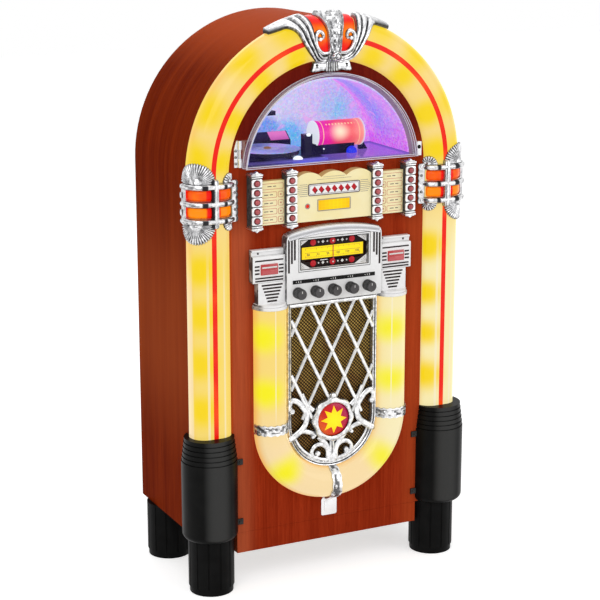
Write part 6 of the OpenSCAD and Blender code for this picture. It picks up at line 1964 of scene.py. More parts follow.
@dataclass
class TitlePanels:
    """Scalloped title panel and label panels with their plain print."""

    front: float = -136.0
    label_front: float = -131.0
    label_in: float = 98.3
    label_out: float = 146.2
    low: float = 692.0
    label_top: float = 772.0

    def build(self) -> None:
        """Dresses the panels and lays the print on them."""
        keep("title_panels", CREAM)
        keep("lcd_display", LCD)
        self.name_plate()
        self.labels()
        self.display_frame()

    def loop(self, low: Point, high: Point, corner: float) -> np.ndarray:
        """Draws a rectangle with round corners.

        Args:
            low: Lowest x and z.
            high: Highest x and z.
            corner: Radius of the corners.

        Returns:
            The outline's points.
        """
        points = []
        for i, (x, z) in enumerate(((high[0], high[1]), (low[0], high[1]), (low[0], low[1]), (high[0], low[1]))):
            sx, sz = (1 if i in (0, 3) else -1), (1 if i in (0, 1) else -1)
            turn = np.linspace(i * math.pi / 2, (i + 1) * math.pi / 2, 6)
            points += [(x - sx * corner + corner * math.cos(t), z - sz * corner + corner * math.sin(t)) for t in turn]
        return np.array(points)

    def name_plate(self) -> None:
        """Puts a bare plate with a rim and lozenges on the title panel, between speed lines."""
        plate = MeshMaker().prism(self.loop((-52.0, 740.0), (52.0, 760.0), 3.0), self.front - 0.9, self.front)
        plate.piece("bare_name_plate", NAME_WHITE, "cream_plastic", (), 0.3)
        marks, shadows = MeshMaker(), MeshMaker()
        for i in range(7):
            x, half, tall = (i - 3) * 13.4, 5.4, 6.4
            kite = np.array([(x - half, 750.0), (x, 750.0 - tall), (x + half, 750.0), (x, 750.0 + tall)])
            marks.prism(kite, self.front - 1.5, self.front - 0.8)
            shadows.prism(kite + np.array([1.2, -1.2]), self.front - 1.1, self.front - 0.8)
        # Painted light: the lozenges take the glowing jewel finish.
        marks.piece("plate_lozenges", JEWEL, "cream_plastic")
        shadows.piece("lozenge_shadows", INK_BLACK, "cream_plastic")
        rim = MeshMaker()
        rim.frame(self.loop((-53.0, 739.0), (53.0, 761.0), 3.6), self.loop((-51.6, 740.4), (51.6, 759.6), 2.6),
                  self.front - 1.3, self.front - 0.1)
        rim.frame(self.loop((-50.4, 741.8), (50.4, 758.2), 2.0), self.loop((-49.7, 742.5), (49.7, 757.5), 1.6),
                  self.front - 1.15, self.front - 0.8)
        rim.piece("name_plate_rim", INK_DARK, "cream_plastic")
        lines = Repeat("speed_lines", Shape.BLOCK, INK_GREY)
        for side in (-1, 1):
            for i in range(7):
                length = 21.0 - abs(i - 3) * 1.8
                lines.at((side * (54.5 + length / 2), self.front - 0.12, 739.5 + i * 3.5), (length, 0.3, 0.9))
        for i in range(2):
            lines.at((0.0, self.front - 0.12, 768.0 + i * 4.0), (70.0 - i * 26.0, 0.3, 0.6))
        lines.piece("cream_plastic")

    def labels(self) -> None:
        """Outlines the empty label boxes and marks them with bullets and dashes."""
        print_lines = MeshMaker()
        width = self.label_out - self.label_in
        for side in (-1, 1):
            edge = -self.label_out if side < 0 else self.label_in
            for row in range(5):
                top = self.label_top - 4.5 - row * 15.2
                cuts = ((0.03, 0.97),) if row == 0 else (((0.03, 0.70), (0.74, 0.97)) if side < 0
                                                         else ((0.03, 0.26), (0.30, 0.97)))
                for a, b in cuts:
                    lo, hi = (edge + a * width, top - 11.0), (edge + b * width, top)
                    inner = self.loop((lo[0] + 0.8, lo[1] + 0.8), (hi[0] - 0.8, hi[1] - 0.8), 2.0)
                    print_lines.frame(self.loop(lo, hi, 2.6), inner, self.label_front - 0.25, self.label_front)
        print_lines.piece("label_box_outlines", INK_CORAL, "cream_plastic")
        studs = Repeat("label_bullets", Shape.DOME, INK_CORAL, 10)
        for side in (-1, 1):
            edge = -self.label_out if side < 0 else self.label_in
            for row in range(1, 5):
                top = self.label_top - 4.5 - row * 15.2
                studs.at((edge + width * (0.855 if side < 0 else 0.145), self.label_front - 0.1, top - 5.5),
                         (3.4, 0.5, 3.4))
        studs.piece("cream_plastic")
        dashes = Repeat("label_dashes", Shape.BLOCK, INK_DARK)
        for side in (-1, 1):
            edge = -self.label_out if side < 0 else self.label_in
            for row in range(5):
                share = 0.5 if row == 0 else (0.365 if side < 0 else 0.635)
                z = self.label_top - 10.0 - row * 15.2
                for shift, length in ((-5.4, 8.0), (4.6, 6.0)):
                    dashes.at((edge + width * share + shift, self.label_front - 0.12, z), (length, 0.3, 1.3))
        dashes.piece("cream_plastic")

    def display_frame(self) -> None:
        """Frames the display and the eye."""
        rim = MeshMaker()
        rim.frame(self.loop((-34.2, 709.4), (34.2, 731.6), 1.6), self.loop((-32.4, 711.1), (32.4, 729.9), 0.6),
                  self.front - 0.7, self.front + 0.2)
        rim.lathe([(3.5, 0.0), (5.2, 0.0), (5.2, 0.5), (4.6, 0.9), (3.6, 0.7), (3.5, 0.0)], (-54.0, self.front, 720.5),
                  "Y", 24)
        rim.piece("display_frame", INK_GREY, "cream_plastic")


@dataclass
class RadioFascia:
    """Silver fascia round the dial with its two wings."""

    half: float = 98.0
    low: float = 543.0
    side_top: float = 671.0
    top: float = 682.0
    front: float = -140.0
    dial_w: float = 140.0
    dial_h: float = 55.0
    dial_z: float = 632.0
    wing_x: float = 163.5
    wing_y: float = -135.0
    wing_low: float = 587.0
    wing_top: float = 636.0
    push_x: float = 130.75
    push_z: float = 611.5
    corner: float = 6.0
    side: int = -1
    body: MeshMaker = field(default_factory=MeshMaker)

    def build(self) -> None:
        """Makes the body, the wings, the slots and the strip over the knobs."""
        outer, inner = self.outlines()
        self.body.frame(outer, inner, self.front, LAY.panel_y)
        for self.side in (-1, 1):
            self.wing()
            self.collar()
        self.body.piece("fascia_body", SILVER, "silver_plastic", ["radio_fascia"], 1.3)
        self.top_roll()
        self.dial_rim()
        self.slots()
        strip = MeshMaker().box((-86.0, self.front - 0.7, 579.4), (84.0, self.front, 586.4))
        strip.piece("knob_strip", INK_BLACK, "silver_plastic", (), 0.25)
        marks = Repeat("knob_marks", Shape.BLOCK, DIAL_WHITE)
        for i in range(5):
            for j, length in enumerate((3.0, 5.0, 7.0)):
                marks.at((-79.0 + i * 35.5 + j * 4.6, self.front - 0.8, 582.9), (1.0, 0.3, length * 0.55))
        marks.piece("silver_plastic")

    def edge(self, turn: np.ndarray, inner: bool) -> np.ndarray:
        """Finds the fascia's or the dial's edge in some directions from the dial's middle.

        Args:
            turn: Directions in radians.
            inner: Whether the dial's edge is wanted.

        Returns:
            Points of the edge.
        """
        c, s = np.cos(turn), np.sin(turn)
        big = np.full(turn.shape, 1e9)
        if inner:
            far = np.minimum(np.divide(self.dial_w / 2, np.abs(c), out=big.copy(), where=np.abs(c) > 1e-9),
                             np.divide(self.dial_h / 2, np.abs(s), out=big.copy(), where=np.abs(s) > 1e-9))
        else:
            rise = self.top - self.side_top
            r = (self.half ** 2 + rise ** 2) / (2 * rise)
            z0 = self.top - r - self.dial_z
            up = z0 * s + np.sqrt(np.maximum((z0 * s) ** 2 - z0 ** 2 + r ** 2, 0.0))
            side = np.divide(self.half, np.abs(c), out=big.copy(), where=np.abs(c) > 1e-9)
            down = np.divide(self.low - self.dial_z, s, out=big.copy(), where=s < -1e-9)
            soft = -self.corner * np.log(np.exp(-up / self.corner) + np.exp(-side / self.corner))
            far = np.minimum(np.where(s > 0.0, soft, side), down)
        return np.column_stack([far * c, self.dial_z + far * s])

    def outlines(self) -> tuple[np.ndarray, np.ndarray]:
        """Draws the fascia and the dial opening with matching points.

        Returns:
            The outer and the inner outline.
        """
        corners = [math.atan2(z, x) for x, z in (
            (self.half, self.side_top - self.dial_z), (-self.half, self.side_top - self.dial_z),
            (self.half, self.low - self.dial_z), (-self.half, self.low - self.dial_z),
            (self.dial_w / 2, self.dial_h / 2), (-self.dial_w / 2, self.dial_h / 2),
            (self.dial_w / 2, -self.dial_h / 2), (-self.dial_w / 2, -self.dial_h / 2))]
        arc = [math.atan2(40.0 + 9.0 * (1 - (x / 98.0) ** 2), x) for x in np.linspace(-66.0, 66.0, 13)]
        bends = [way for turn in np.linspace(0.08, 0.66, 18) for way in (turn, math.pi - turn)]
        turn = np.array(sorted(corners + arc + bends))
        return self.edge(turn, False), self.edge(turn, True)

    def wing(self) -> None:
        """Adds a wing with its ledge and the block over the U tube."""
        def block(x0: float, x1: float, y: float, z0: float, z1: float) -> None:
            """Adds a block on the panel, mirrored for the left self.side."""
            a, b = sorted((self.side * x0, self.side * x1))
            self.body.box((a, y, z0), (b, LAY.panel_y, z1))

        block(98.3, self.wing_x, self.wing_y, self.wing_low, self.wing_top)
        block(98.3, self.wing_x, -128.0, self.wing_top + 0.1, self.wing_top + 11.0)
        block(LAY.u_x - 26.6, LAY.u_x + 28.0, self.wing_y, self.low, self.wing_low - 0.1)
        block(106.0, self.wing_x - 0.1, -130.5, self.wing_top + 7.4, self.wing_top + 11.2)

    def top_roll(self) -> None:
        """Rolls the thick rounded edge over the fascia's top, and lays a flat band under it whose dark middle is a
        painted shadow of the roll.
        """
        maker = MeshMaker()
        x = np.linspace(-self.half + 4.0, self.half - 4.0, 41)
        rise = self.top - self.side_top
        r = (self.half ** 2 + rise ** 2) / (2 * rise)
        z = self.top - r + np.sqrt(r ** 2 - x ** 2)
        for y, drop, size in ((-131.0, 5.4, 5.6), (-123.5, 4.0, 4.4), (self.front + 1.2, 10.8, 2.4)):
            turn = np.linspace(0.0, math.tau, 16, endpoint=False)
            round_bar = np.column_stack([np.cos(turn), np.sin(turn)]) * size
            path = grid(x, y, z - drop)
            maker.sweep(path, OUT, round_bar)
        # Painted shadow: a flat band under the roll, darkest in its middle.
        drop = np.linspace(2.6, 10.2, 7)
        roll_shadow = np.array([0.95, 0.75, 0.55, 0.5, 0.6, 0.8, 0.98])
        band = np.stack([grid(x * (1.0 - d / 700.0), self.front - 0.3, z - d) for d in drop])
        maker.relief(band, band + np.array([0.0, 0.6, 0.0]), roll_shadow[:, None] * np.ones((7, 41)))
        maker.piece("fascia_plated_trim", CHROME_ROLL, "silver_plastic", (), 0.0, 45.0)

    def dial_rim(self) -> None:
        """Frames the dial opening with two dark lines."""
        maker = MeshMaker()
        for grow, width, lift in ((3.2, 0.9, 0.3), (-0.6, 1.2, 0.3)):
            a, b = self.dial_w / 2 + grow, self.dial_h / 2 + grow
            path = np.array([(-a, self.front, self.dial_z - b), (a, self.front, self.dial_z - b),
                             (a, self.front, self.dial_z + b),
                             (-a, self.front, self.dial_z + b)])
            outer = path[:, [0, 2]] + np.sign(path[:, [0, 2]] - [0, self.dial_z]) * width
            maker.frame(outer, path[:, [0, 2]], self.front - lift, self.front + 0.4, 0.9)
        maker.piece("dial_frame_lines", INK_BLACK, "silver_plastic")

    def collar(self) -> None:
        """Caps the top of a U tube leg with a half-round collar."""
        turn = np.linspace(0.0, math.pi, 41)
        for low, high, r in ((537.0, 543.0, LAY.u_r + 2.2), (543.0, 547.6, LAY.u_r + 0.8)):
            arc = np.column_stack([self.side * LAY.u_x + r * np.cos(turn), LAY.u_y - r * np.sin(turn)])
            ring = np.vstack([[(self.side * LAY.u_x + r, LAY.panel_y)], arc, [(self.side * LAY.u_x - r, LAY.panel_y)]])
            self.body.loft(np.stack([grid(ring[:, 0], ring[:, 1], z) for z in (low, high)]))

    def slots(self) -> None:
        """Lays the dark slots of the wings, the blocks and the dial's sides, as flat blocks that paint the shade inside
        the slots.
        """
        slots = Repeat("fascia_slots", Shape.BLOCK, SLOT_DARK)
        for side in (-1, 1):
            for i in range(6):
                slots.at((side * LAY.u_x, self.wing_y - 0.05, self.wing_low - 5.0 - i * 6.0),
                         (42.0 - i * 4.6, 0.5, 3.1))
            for z in (self.push_z + 16.6, self.push_z - 15.4, self.push_z - 20.6):
                slots.at((side * self.push_x, self.wing_y - 0.05, z), (56.0, 0.5, 2.7))
            for i in range(3):
                for x in (self.push_x - 24.0, self.push_x + 24.0):
                    slots.at((side * x, self.wing_y - 0.05, self.push_z - 6.6 + i * 6.6), (9.4, 0.5, 3.0))
            for i, length in enumerate((62.0, 45.0, 39.0)):
                slots.at((side * (93.6 - i * 6.0), self.front - 0.05, self.dial_z + 31.0 - length / 2),
                         (3.6, 0.5, length))
            slots.at((side * 150.0, -128.05, self.wing_top + 4.6), (3.4, 0.5, 3.4))
        slots.piece("silver_plastic")


@dataclass
class Dial:
    """Dial with its yellow scale, jewels, rays and numbers."""

    face: float = -131.0
    mid: float = 632.0
    scale_w: float = 126.0
    scale_h: float = 23.0
    numbers: tuple[str, ...] = ("88", "92", "96", "100", "104", "108")

    def build(self) -> None:
        """Dresses the face and lays the scale and the ornament on it."""
        keep("dial_face", DIAL_DARK)
        keep("dial_pointer", RED_PLASTIC)
        scale = MeshMaker()
        x = np.linspace(-self.scale_w / 2, self.scale_w / 2, 25)
        z = np.linspace(self.mid - self.scale_h / 2 + 1.0, self.mid + self.scale_h / 2, 7)
        top = np.stack(np.meshgrid(x, [self.face - 0.7], z, indexing="ij"), -1)[:, 0]
        base = top + np.array([0.0, 0.7, 0.0])
        scale.relief(top, base, (1.0 - np.abs(x) / self.scale_w)[:, None] * np.ones((25, 7)))
        scale.piece("dial_scale", SCALE_YELLOW, "dial_black")
        self.ticks()
        self.ornament()
        self.figures()

    def ticks(self) -> None:
        """Rules the scale with long and short ticks."""
        ticks = Repeat("dial_ticks", Shape.BLOCK, INK_DARK)
        for i in range(51):
            length = 4.2 if i % 10 == 0 else (3.0 if i % 5 == 0 else 1.8)
            at = -56.0 + i * 2.24
            ticks.at((at, self.face - 0.72, self.mid + 10.0 - length / 2), (0.5, 0.24, length))
            ticks.at((at, self.face - 0.72, self.mid - 8.4 + length / 2), (0.5, 0.24, length))
        ticks.at((0.0, self.face - 0.72, self.mid + 0.8), (114.0, 0.24, 0.5))
        ticks.piece("dial_black")

    def ornament(self) -> None:
        """Sets red jewels, pale diamonds and corner rays round the scale."""
        jewels = Repeat("dial_jewels", Shape.DOME, JEWEL, 20)
        diamonds = Repeat("dial_diamonds", Shape.BLOCK, DIAL_WHITE)
        rays, corners = MeshMaker(), MeshMaker()
        for up in (-1, 1):
            z = self.mid + up * 19.6
            for x in (-40.0, 0.0, 40.0):
                jewels.at((x, self.face, z), (12.0, 4.6, 12.0))
                if x == 0.0:
                    diamonds.at((x, self.face - 2.3, z), (2.6, 0.6, 2.6), (0.0, math.pi / 4, 0.0))
            for x in (-29.0, -20.0, -11.0, 11.0, 20.0, 29.0):
                size = 4.4 if abs(x) == 20.0 else 2.6
                diamonds.at((x, self.face - 0.2, z), (size, 0.5, size), (0.0, math.pi / 4, 0.0))
            for side in (-1, 1):
                corner = [(side * 70.2, self.mid + up * 27.7), (side * 46.0, self.mid + up * 27.7),
                          (side * 70.2, self.mid + up * 12.5)]
                corners.prism(corner, self.face - 0.4, self.face)
                for i in range(4):
                    turn = 0.22 + i * 0.32
                    self.ray(rays, (side * 71.0, self.mid + up * 28.6),
                             math.atan2(-up * math.sin(turn), -side * math.cos(turn)))
        corners.piece("dial_corners", DIAL_CORNER, "dial_black")
        rays.piece("dial_rays", INK_GREY, "dial_black")
        jewels.piece("dial_black")
        diamonds.piece("dial_black")

    def ray(self, maker: MeshMaker, start: Point, turn: float) -> None:
        """Adds one tapered ray.

        Args:
            maker: Mesh to add to.
            start: Corner that the ray comes from, as x and z.
            turn: Direction of the ray.
        """
        way, side = np.array([math.cos(turn), math.sin(turn)]), np.array([-math.sin(turn), math.cos(turn)])
        at = np.array(start)
        far = 13.0
        outline = np.array([at + way * 4.6 - side * 0.2, at + way * far - side * 0.5, at + way * far + side * 0.5,
                            at + way * 4.6 + side * 0.2])
        maker.prism(outline, self.face - 0.6, self.face - 0.3)

    def figures(self) -> None:
        """Prints plain numbers on the scale."""
        pieces = []
        for i, number in enumerate(self.numbers):
            curve = bpy.data.curves.new("figure", "FONT")
            curve.body = number
            curve.align_x, curve.align_y = "CENTER", "CENTER"
            curve.size = 0.0062
            curve.extrude = 0.00012
            curve.resolution_u = 3
            holder = bpy.data.objects.new("figure", curve)
            bpy.context.scene.collection.objects.link(holder)
            mesh = bpy.data.meshes.new_from_object(holder.evaluated_get(bpy.context.evaluated_depsgraph_get()))
            pieces.append((mesh, -50.0 + i * 20.0))
            bpy.data.objects.remove(holder)
        bm = bmesh.new()
        for mesh, x in pieces:
            start = len(bm.verts)
            bm.from_mesh(mesh)
            bm.verts.ensure_lookup_table()
            for v in bm.verts[start:]:
                px, py, pz = v.co
                v.co = (px + x * MM, (self.face - 0.8) * MM - pz, py + (self.mid - 3.2) * MM)
        bmesh.ops.remove_doubles(bm, verts=bm.verts, dist=1e-6)
        bmesh.ops.recalc_face_normals(bm, faces=bm.faces)
        mesh = bpy.data.meshes.new("dial_numbers")
        bm.to_mesh(mesh)
        bm.free()
        obj = bpy.data.objects.new("dial_numbers", mesh)
        bpy.context.scene.collection.objects.link(obj)
        settle(obj, INK_DARK, ROOT, ())


@dataclass
class Knobs:
    """Five fluted knobs and the two push buttons."""

    names: tuple[str, ...] = ("volume", "treble", "tuning", "bass", "band")
    first_x: float = -76.0
    pitch: float = 36.0
    z: float = 563.0
    front: float = -140.0
    push_x: float = 130.75
    push_z: float = 611.5
    push_y: float = -135.0

    def build(self) -> None:
        """Makes the knobs and the buttons on their bodies."""
        for i, name in enumerate(self.names):
            self.knob(f"{name}_knob", self.first_x + i * self.pitch)
        for name, side in (("power_button", -1), ("light_button", 1)):
            self.push(name, side)

    def knob(self, node: str, x: float) -> None:
        """Turns a knob with its face and its mark.

        Args:
            node: Node and body of the knob.
            x: Middle of the knob.
        """
        at = (x, self.front, self.z)
        skirt = MeshMaker().lathe([(0.0, -8.0), (3.0, -8.0), (3.0, 0.3), (10.4, 0.3), (10.5, 2.0), (10.2, 5.6),
                                   (9.4, 7.0), (8.8, 7.4),
                                   (8.8, 8.0), (0.0, 8.0)], at, "Y", 72)
        skirt.lathe([(0.0, 6.0), (10.2, 6.0), (10.2, 17.4), (9.7, 19.2), (8.8, 19.8), (0.0, 19.6)], at, "Y", 144, 1.0,
                    0.08, 24)
        skirt.piece(node + "_grip", KNOB_BLACK, "knob_black", [node], body=node)
        # Painted reflection: the face takes the lighter grey copy of the knob plastic.
        face = MeshMaker().lathe([(0.0, 19.0), (8.2, 19.0), (8.3, 19.8), (7.7, 20.0), (7.1, 19.8), (0.0, 19.8)], at,
                                 "Y", 48)
        face.piece(node + "_face", KNOB_FACE, "knob_black", body=node)
        mark = MeshMaker().box((x - 0.6, self.front - 20.05, self.z + 2.2), (x + 0.6, self.front - 19.4, self.z + 6.6))
        mark.piece(node + "_mark", DIAL_WHITE, "knob_black", (), 0.15, body=node)

    def push(self, node: str, side: int) -> None:
        """Makes a push button with a paler lower half.

        Args:
            node: Node and body of the button.
            side: -1 for the left button, 1 for the right.
        """
        x, half, tall = side * self.push_x, 17.0, 9.8
        cap = MeshMaker().box((x - half, self.push_y - 2.6, self.push_z - tall),
                              (x + half, self.push_y + 5.0, self.push_z + tall))
        cap.box((x - half - 1.8, self.push_y + 3.6, self.push_z - tall - 1.8),
                (x + half + 1.8, self.push_y + 5.2, self.push_z + tall + 1.8))
        cap.piece(node + "_cap", RED_PLASTIC, "key_red", [node], 0.9, body=node)
        lens = MeshMaker().box((x - half + 2.0, self.push_y - 3.0, self.push_z - tall + 1.6),
                               (x + half - 2.0, self.push_y - 2.2, self.push_z - 1.0))
        lens.piece(node + "_lens", PINK_LENS, "key_red", (), 0.35, body=node)
        line = MeshMaker().box((x - half + 2.0, self.push_y - 2.9, self.push_z + 2.6),
                               (x + half - 2.0, self.push_y - 2.3, self.push_z + 5.4))
        line.piece(node + "_line", DIAL_WHITE, "key_red", (), 0.2, body=node)


@dataclass
class SpeakerGrille:
    """Plated casting in front of the loudspeakers, with its bands and medallion."""

    front: float = -134.0
    back: float = -128.0
    radius: float = 93.7
    top: float = 542.0
    rim: float = 9.0
    bar: float = 7.4
    diamond_w: float = 52.0
    diamond_h: float = 105.0
    lattice_z: float = 442.35
    medal_r: float = 32.0
    star_tips: int = 8
    casting: MeshMaker = field(default_factory=MeshMaker)

    def build(self) -> None:
        """Makes the rim, the lattice, the scrolls, the medallion and the bands."""
        self.edge()
        self.scrolls()
        self.ring()
        self.casting.piece("grille_casting", CHROME_CAST, "bright_chrome", ["speaker_grille"], 0.0, 45.0)
        self.lattice()
        self.medallion()
        self.bands()

    def edge(self) -> None:
        """Runs the rounded rim round the grille."""
        r = self.radius - self.rim / 2
        turn = np.linspace(0.0, -math.pi, 61)
        low = grid(r * np.cos(turn), self.back, LAY.u_z + r * np.sin(turn))
        right = grid(r, self.back, np.linspace(self.top, LAY.u_z + 10, 20))
        path = np.vstack([right, low, right[::-1] * np.array([-1.0, 1.0, 1.0])])
        section = np.array([(-4.5, -8.0), (-4.5, 3.0), (-3.8, 5.2), (-2.4, 6.2), (-1.0, 5.4), (-0.5, 3.4), (0.2, 3.4),
                            (0.8, 5.0), (2.2, 6.0),
                            (3.7, 5.0), (4.5, 2.8), (4.5, -8.0)])
        self.casting.sweep(path, OUT, section, 1.0, [0.3, 0.8, 1.0, 1.0, 0.8, 0.1, 0.1, 0.9, 1.0, 1.0, 0.7, 0.3])
        turn = np.linspace(math.radians(-18.0), math.radians(-162.0), 49)
        inner = grid(81.5 * np.cos(turn), self.back, LAY.u_z + 81.5 * np.sin(turn))
        self.casting.sweep(inner, OUT, half_round(8.0, 5.4, 9, 2.0),
                           np.sin(np.linspace(0.06, 0.94, 49) * math.pi) ** 0.4)
        bar = grid(np.linspace(-r, r, 12), self.back, self.top - 5.0)
        self.casting.sweep(bar, OUT, half_round(10.0, 7.0, 8, 2.0))

    def lattice(self) -> None:
        """Crosses the slanted bars above the medallion."""
        # Painted shade: the rising bars take the dimmer copy of the plating, the falling bars the bright one.
        rising = Repeat("grille_lattice_rising", Shape.ROD, CHROME_SHADED, 12)
        falling = Repeat("grille_lattice_falling", Shape.ROD, CHROME_FLAT, 12)
        angle = math.atan(self.diamond_w / self.diamond_h)
        limit = self.radius - self.rim + 1.0
        for tilt, bars in ((-1, rising), (1, falling)):
            for i in range(-5, 6):
                way = np.array([tilt * -math.sin(angle), math.cos(angle)])
                start = np.array([i * self.diamond_w, self.lattice_z])
                t = np.linspace(-300.0, 300.0, 1201)
                run = start + t[:, None] * way
                inside = (np.abs(run[:, 0]) < limit) & (run[:, 1] < self.top - 4.0) & (run[:, 1] > LAY.u_z + 6.0)
                inside &= np.hypot(run[:, 0], run[:, 1] - LAY.u_z) > self.medal_r + 8.0
                if inside.sum() < 8:
                    continue
                a, b = run[inside][0], run[inside][-1]
                mid = (a + b) / 2
                bars.at((mid[0], self.front + 2.6, mid[1]), (self.bar, 5.4, float(np.linalg.norm(b - a))),
                        (0.0, tilt * -angle, 0.0))
        rising.piece("bright_chrome")
        falling.piece("bright_chrome")
        knots = Repeat("lattice_knots", Shape.DOME, CHROME_FLAT, 14)
        for i in range(-1, 2):
            for z in (self.lattice_z, self.lattice_z + self.diamond_h / 2, self.lattice_z - self.diamond_h / 2):
                x = i * self.diamond_w + (0.0 if z == self.lattice_z else self.diamond_w / 2)
                if abs(x) < limit - 4.0 and LAY.u_z + 50.0 < z < self.top - 8.0:
                    knots.at((x, self.front + 1.2, z), (7.6, 4.6, 7.6))
        knots.piece("bright_chrome")

    def scrolls(self) -> None:
        """Curls the scrolls from the rim round the medallion."""
        section = half_round(1.0, 1.0, 11, 0.5)
        shade = [0.2, 0.75, *([1.0] * 7), 0.75, 0.2, 0.05, 0.05]
        for side in (-1, 1):
            for knots, width, ends in (
                    (((85, 334), (89, 345), (83, 355), (71, 351), (60, 338), (53, 324), (54, 310), (61, 298), (71, 290),
                      (85, 281)), 13.0, (0.8, 1.0)),
                    (((77, 286), (68, 292), (58, 292), (45, 288), (34, 281)), 11.0, (0.9, 0.9)),
                    (((8, 231), (8, 246), (14, 257), (25, 262), (36, 259), (42, 250), (40, 241), (33, 238), (28, 243)),
                     11.0, (1.0, 0.6)),
                    (((28, 279), (15, 263), (6, 244), (3, 226)), 12.0, (1.0, 0.9)),
                    (((40, 331), (50, 341), (58, 352)), 11.0, (1.0, 0.7)),
                    (((48, 334), (55, 350), (63, 367)), 6.6, (1.0, 1.0))):
                flat = spline([(side * x, z) for x, z in knots], 52)
                path = grid(flat[:, 0], self.back, flat[:, 1])
                shaped = np.column_stack([section[:, 0] * width, section[:, 1] * 7.0])
                self.casting.sweep(path, OUT, shaped, np.linspace(*ends, 52), shade)
            for x, z, r in ((84.0, 335.0, 6.0), (30.0, 245.0, 5.6), (41.0, 279.0, 4.2), (86.0, 281.0, 7.0)):
                self.casting.lathe([(0.0, 0.0), (r, 0.0), (r, 4.4), (r * 0.75, 6.8), (0.0, 7.8)],
                                   (side * x, self.back, z), "Y", 24, [0.2, 0.2, 0.8, 1.0, 1.0])
        leaf = np.array([(0.0, self.back, z) for z in np.linspace(270.0, 220.0, 16)])
        wide = np.interp(np.linspace(0, 1, 16), [0.0, 0.3, 0.8, 1.0], [0.8, 1.2, 0.9, 0.6])
        section = np.array([(-5.0, 0.0), (-4.6, 4.2), (-2.0, 5.6), (0.0, 4.4), (2.0, 5.6), (4.6, 4.2), (5.0, 0.0)])
        self.casting.sweep(leaf, OUT, section, wide, [0.4, 1.0, 1.0, 0.05, 1.0, 1.0, 0.4])

    def ring(self) -> None:
        """Turns the broad lobed ring of the medallion."""
        self.casting.lathe([(32.3, -6.0), (44.5, -6.0), (44.5, 2.6), (43.2, 4.8), (40.6, 6.6), (37.4, 7.6), (34.4, 7.4),
                            (32.7, 6.0), (32.3, 4.6),
                            (32.3, -6.0)], (0.0, self.front, LAY.u_z), "Y", 96,
                           [0.3, 0.3, 0.5, 0.9, 1.0, 1.0, 1.0, 0.8, 0.2, 0.3],
                           [0.0, 0.08, 0.08, 0.07, 0.05, 0.02, 0.0, 0.0, 0.0, 0.0], 8)
        self.casting.lathe([(0.0, 0.0), (6.6, 0.0), (6.2, 5.0), (3.6, 8.0), (0.0, 8.6)],
                           (0.0, self.front, LAY.u_z + 46.0), "Y", 24)

    def medallion(self) -> None:
        """Domes the red disc and sets the star on it."""
        disc = MeshMaker().lathe([(0.0, -6.0), (32.0, -6.0), (32.0, 2.8), (31.0, 3.6), (24.0, 5.2), (14.0, 6.6),
                                  (0.0, 7.2)],
                                 (0.0, self.front, LAY.u_z), "Y", 72)
        disc.piece("medal_disc", MEDAL, "medal_red", ["medallion"])
        star = MeshMaker()
        tips = 2 * self.star_tips
        turn = np.arange(tips) * math.tau / tips + math.pi / 2
        far = np.where(np.arange(tips) % 2 == 0, 27.0, 14.5)
        rim = np.column_stack([far * np.cos(turn),
                               np.where(np.arange(tips) % 2 == 0, self.front - 5.4, self.front - 7.2),
                               LAY.u_z + far * np.sin(turn)])
        low = rim + np.array([0.0, 1.6, 0.0])
        points = np.vstack([rim, low, [[0.0, self.front - 8.0, LAY.u_z]]])
        faces = [(i, (i + 1) % tips, 2 * tips) for i in range(tips)]
        faces += [(i, i + tips, (i + 1) % tips + tips, (i + 1) % tips) for i in range(tips)]
        faces += [tuple(range(tips, 2 * tips))]
        star.add(points, faces, np.concatenate([np.where(np.arange(tips) % 2 == 0, 0.2, 0.7)] * 2 + [np.array([1.0])]))
        star.piece("medal_star", STAR_YELLOW, "medal_red", (), 0.0, 8.0)

    @staticmethod
    def pitted(rows: int, columns: int, seed: int, cell: tuple[int, int] = (1, 1)) -> np.ndarray:
        """Gives the heights of a rough cast surface.

        Args:
            rows: Number of rows.
            columns: Number of columns.
            seed: Seed of the pattern.
            cell: Rows and columns of one pit.

        Returns:
            Heights from 0 to 1.
        """
        draw = np.random.default_rng(seed).random((rows // cell[0] + 1, columns // cell[1] + 1))
        raw = np.kron(draw, np.ones(cell))[:rows, :columns]
        soft = (raw + np.roll(raw, 1, 0) + np.roll(raw, 1, 1) + np.roll(np.roll(raw, 1, 0), 1, 1)) / 4
        return np.clip((soft - 0.32) / 0.3, 0.0, 1.0)

    def bands(self) -> None:
        """Wraps embossed bands round the legs and a strap under the bend."""
        maker = MeshMaker()
        for side in (-1, 1):
            turn = np.linspace(0.12, math.pi - 0.12, 73)
            v = np.linspace(0.0, 1.0, 13)
            lip = ((v < 0.22) | (v > 0.78))[None, :]
            rough = np.where(lip, 0.9, self.pitted(73, 13, 5 + side, (4, 2)))
            wavy = 0.8 * np.sin(turn * 17.0)[:, None] * np.where(v < 0.5, -1.0, 1.0)[None, :] * lip

            def put(lift: np.ndarray | float) -> np.ndarray:
                """Places the band's rows at a height over the tube.

                Args:
                    lift: Height of each point.

                Returns:
                    The points.
                """
                r = LAY.u_r + 0.8 + lift * np.ones((73, 13))
                x = side * LAY.u_x + r * np.cos(turn)[:, None]
                y = np.minimum(LAY.u_y - r * np.sin(turn)[:, None], LAY.panel_y - 0.4)
                return grid(x, y, LAY.u_z - 9.5 + v * 19.0 + wavy)

            maker.relief(put(1.0 + 1.8 * rough), put(0.0), 0.2 + 0.8 * rough)
        turn = np.linspace(0.12, math.pi - 0.12, 57)
        v = np.linspace(-1.0, 1.0, 13)
        lip = (np.abs(v) > 0.82)[None, :]
        rough = np.where(lip, 0.95, self.pitted(57, 13, 11, (4, 3)))
        wide = np.interp(turn, [0.0, 1.4, math.pi], [8.4, 9.6, 12.2])[:, None]
        x = wide * v[None, :] * (1.0 + 0.06 * np.sin(turn * 13.0)[:, None])

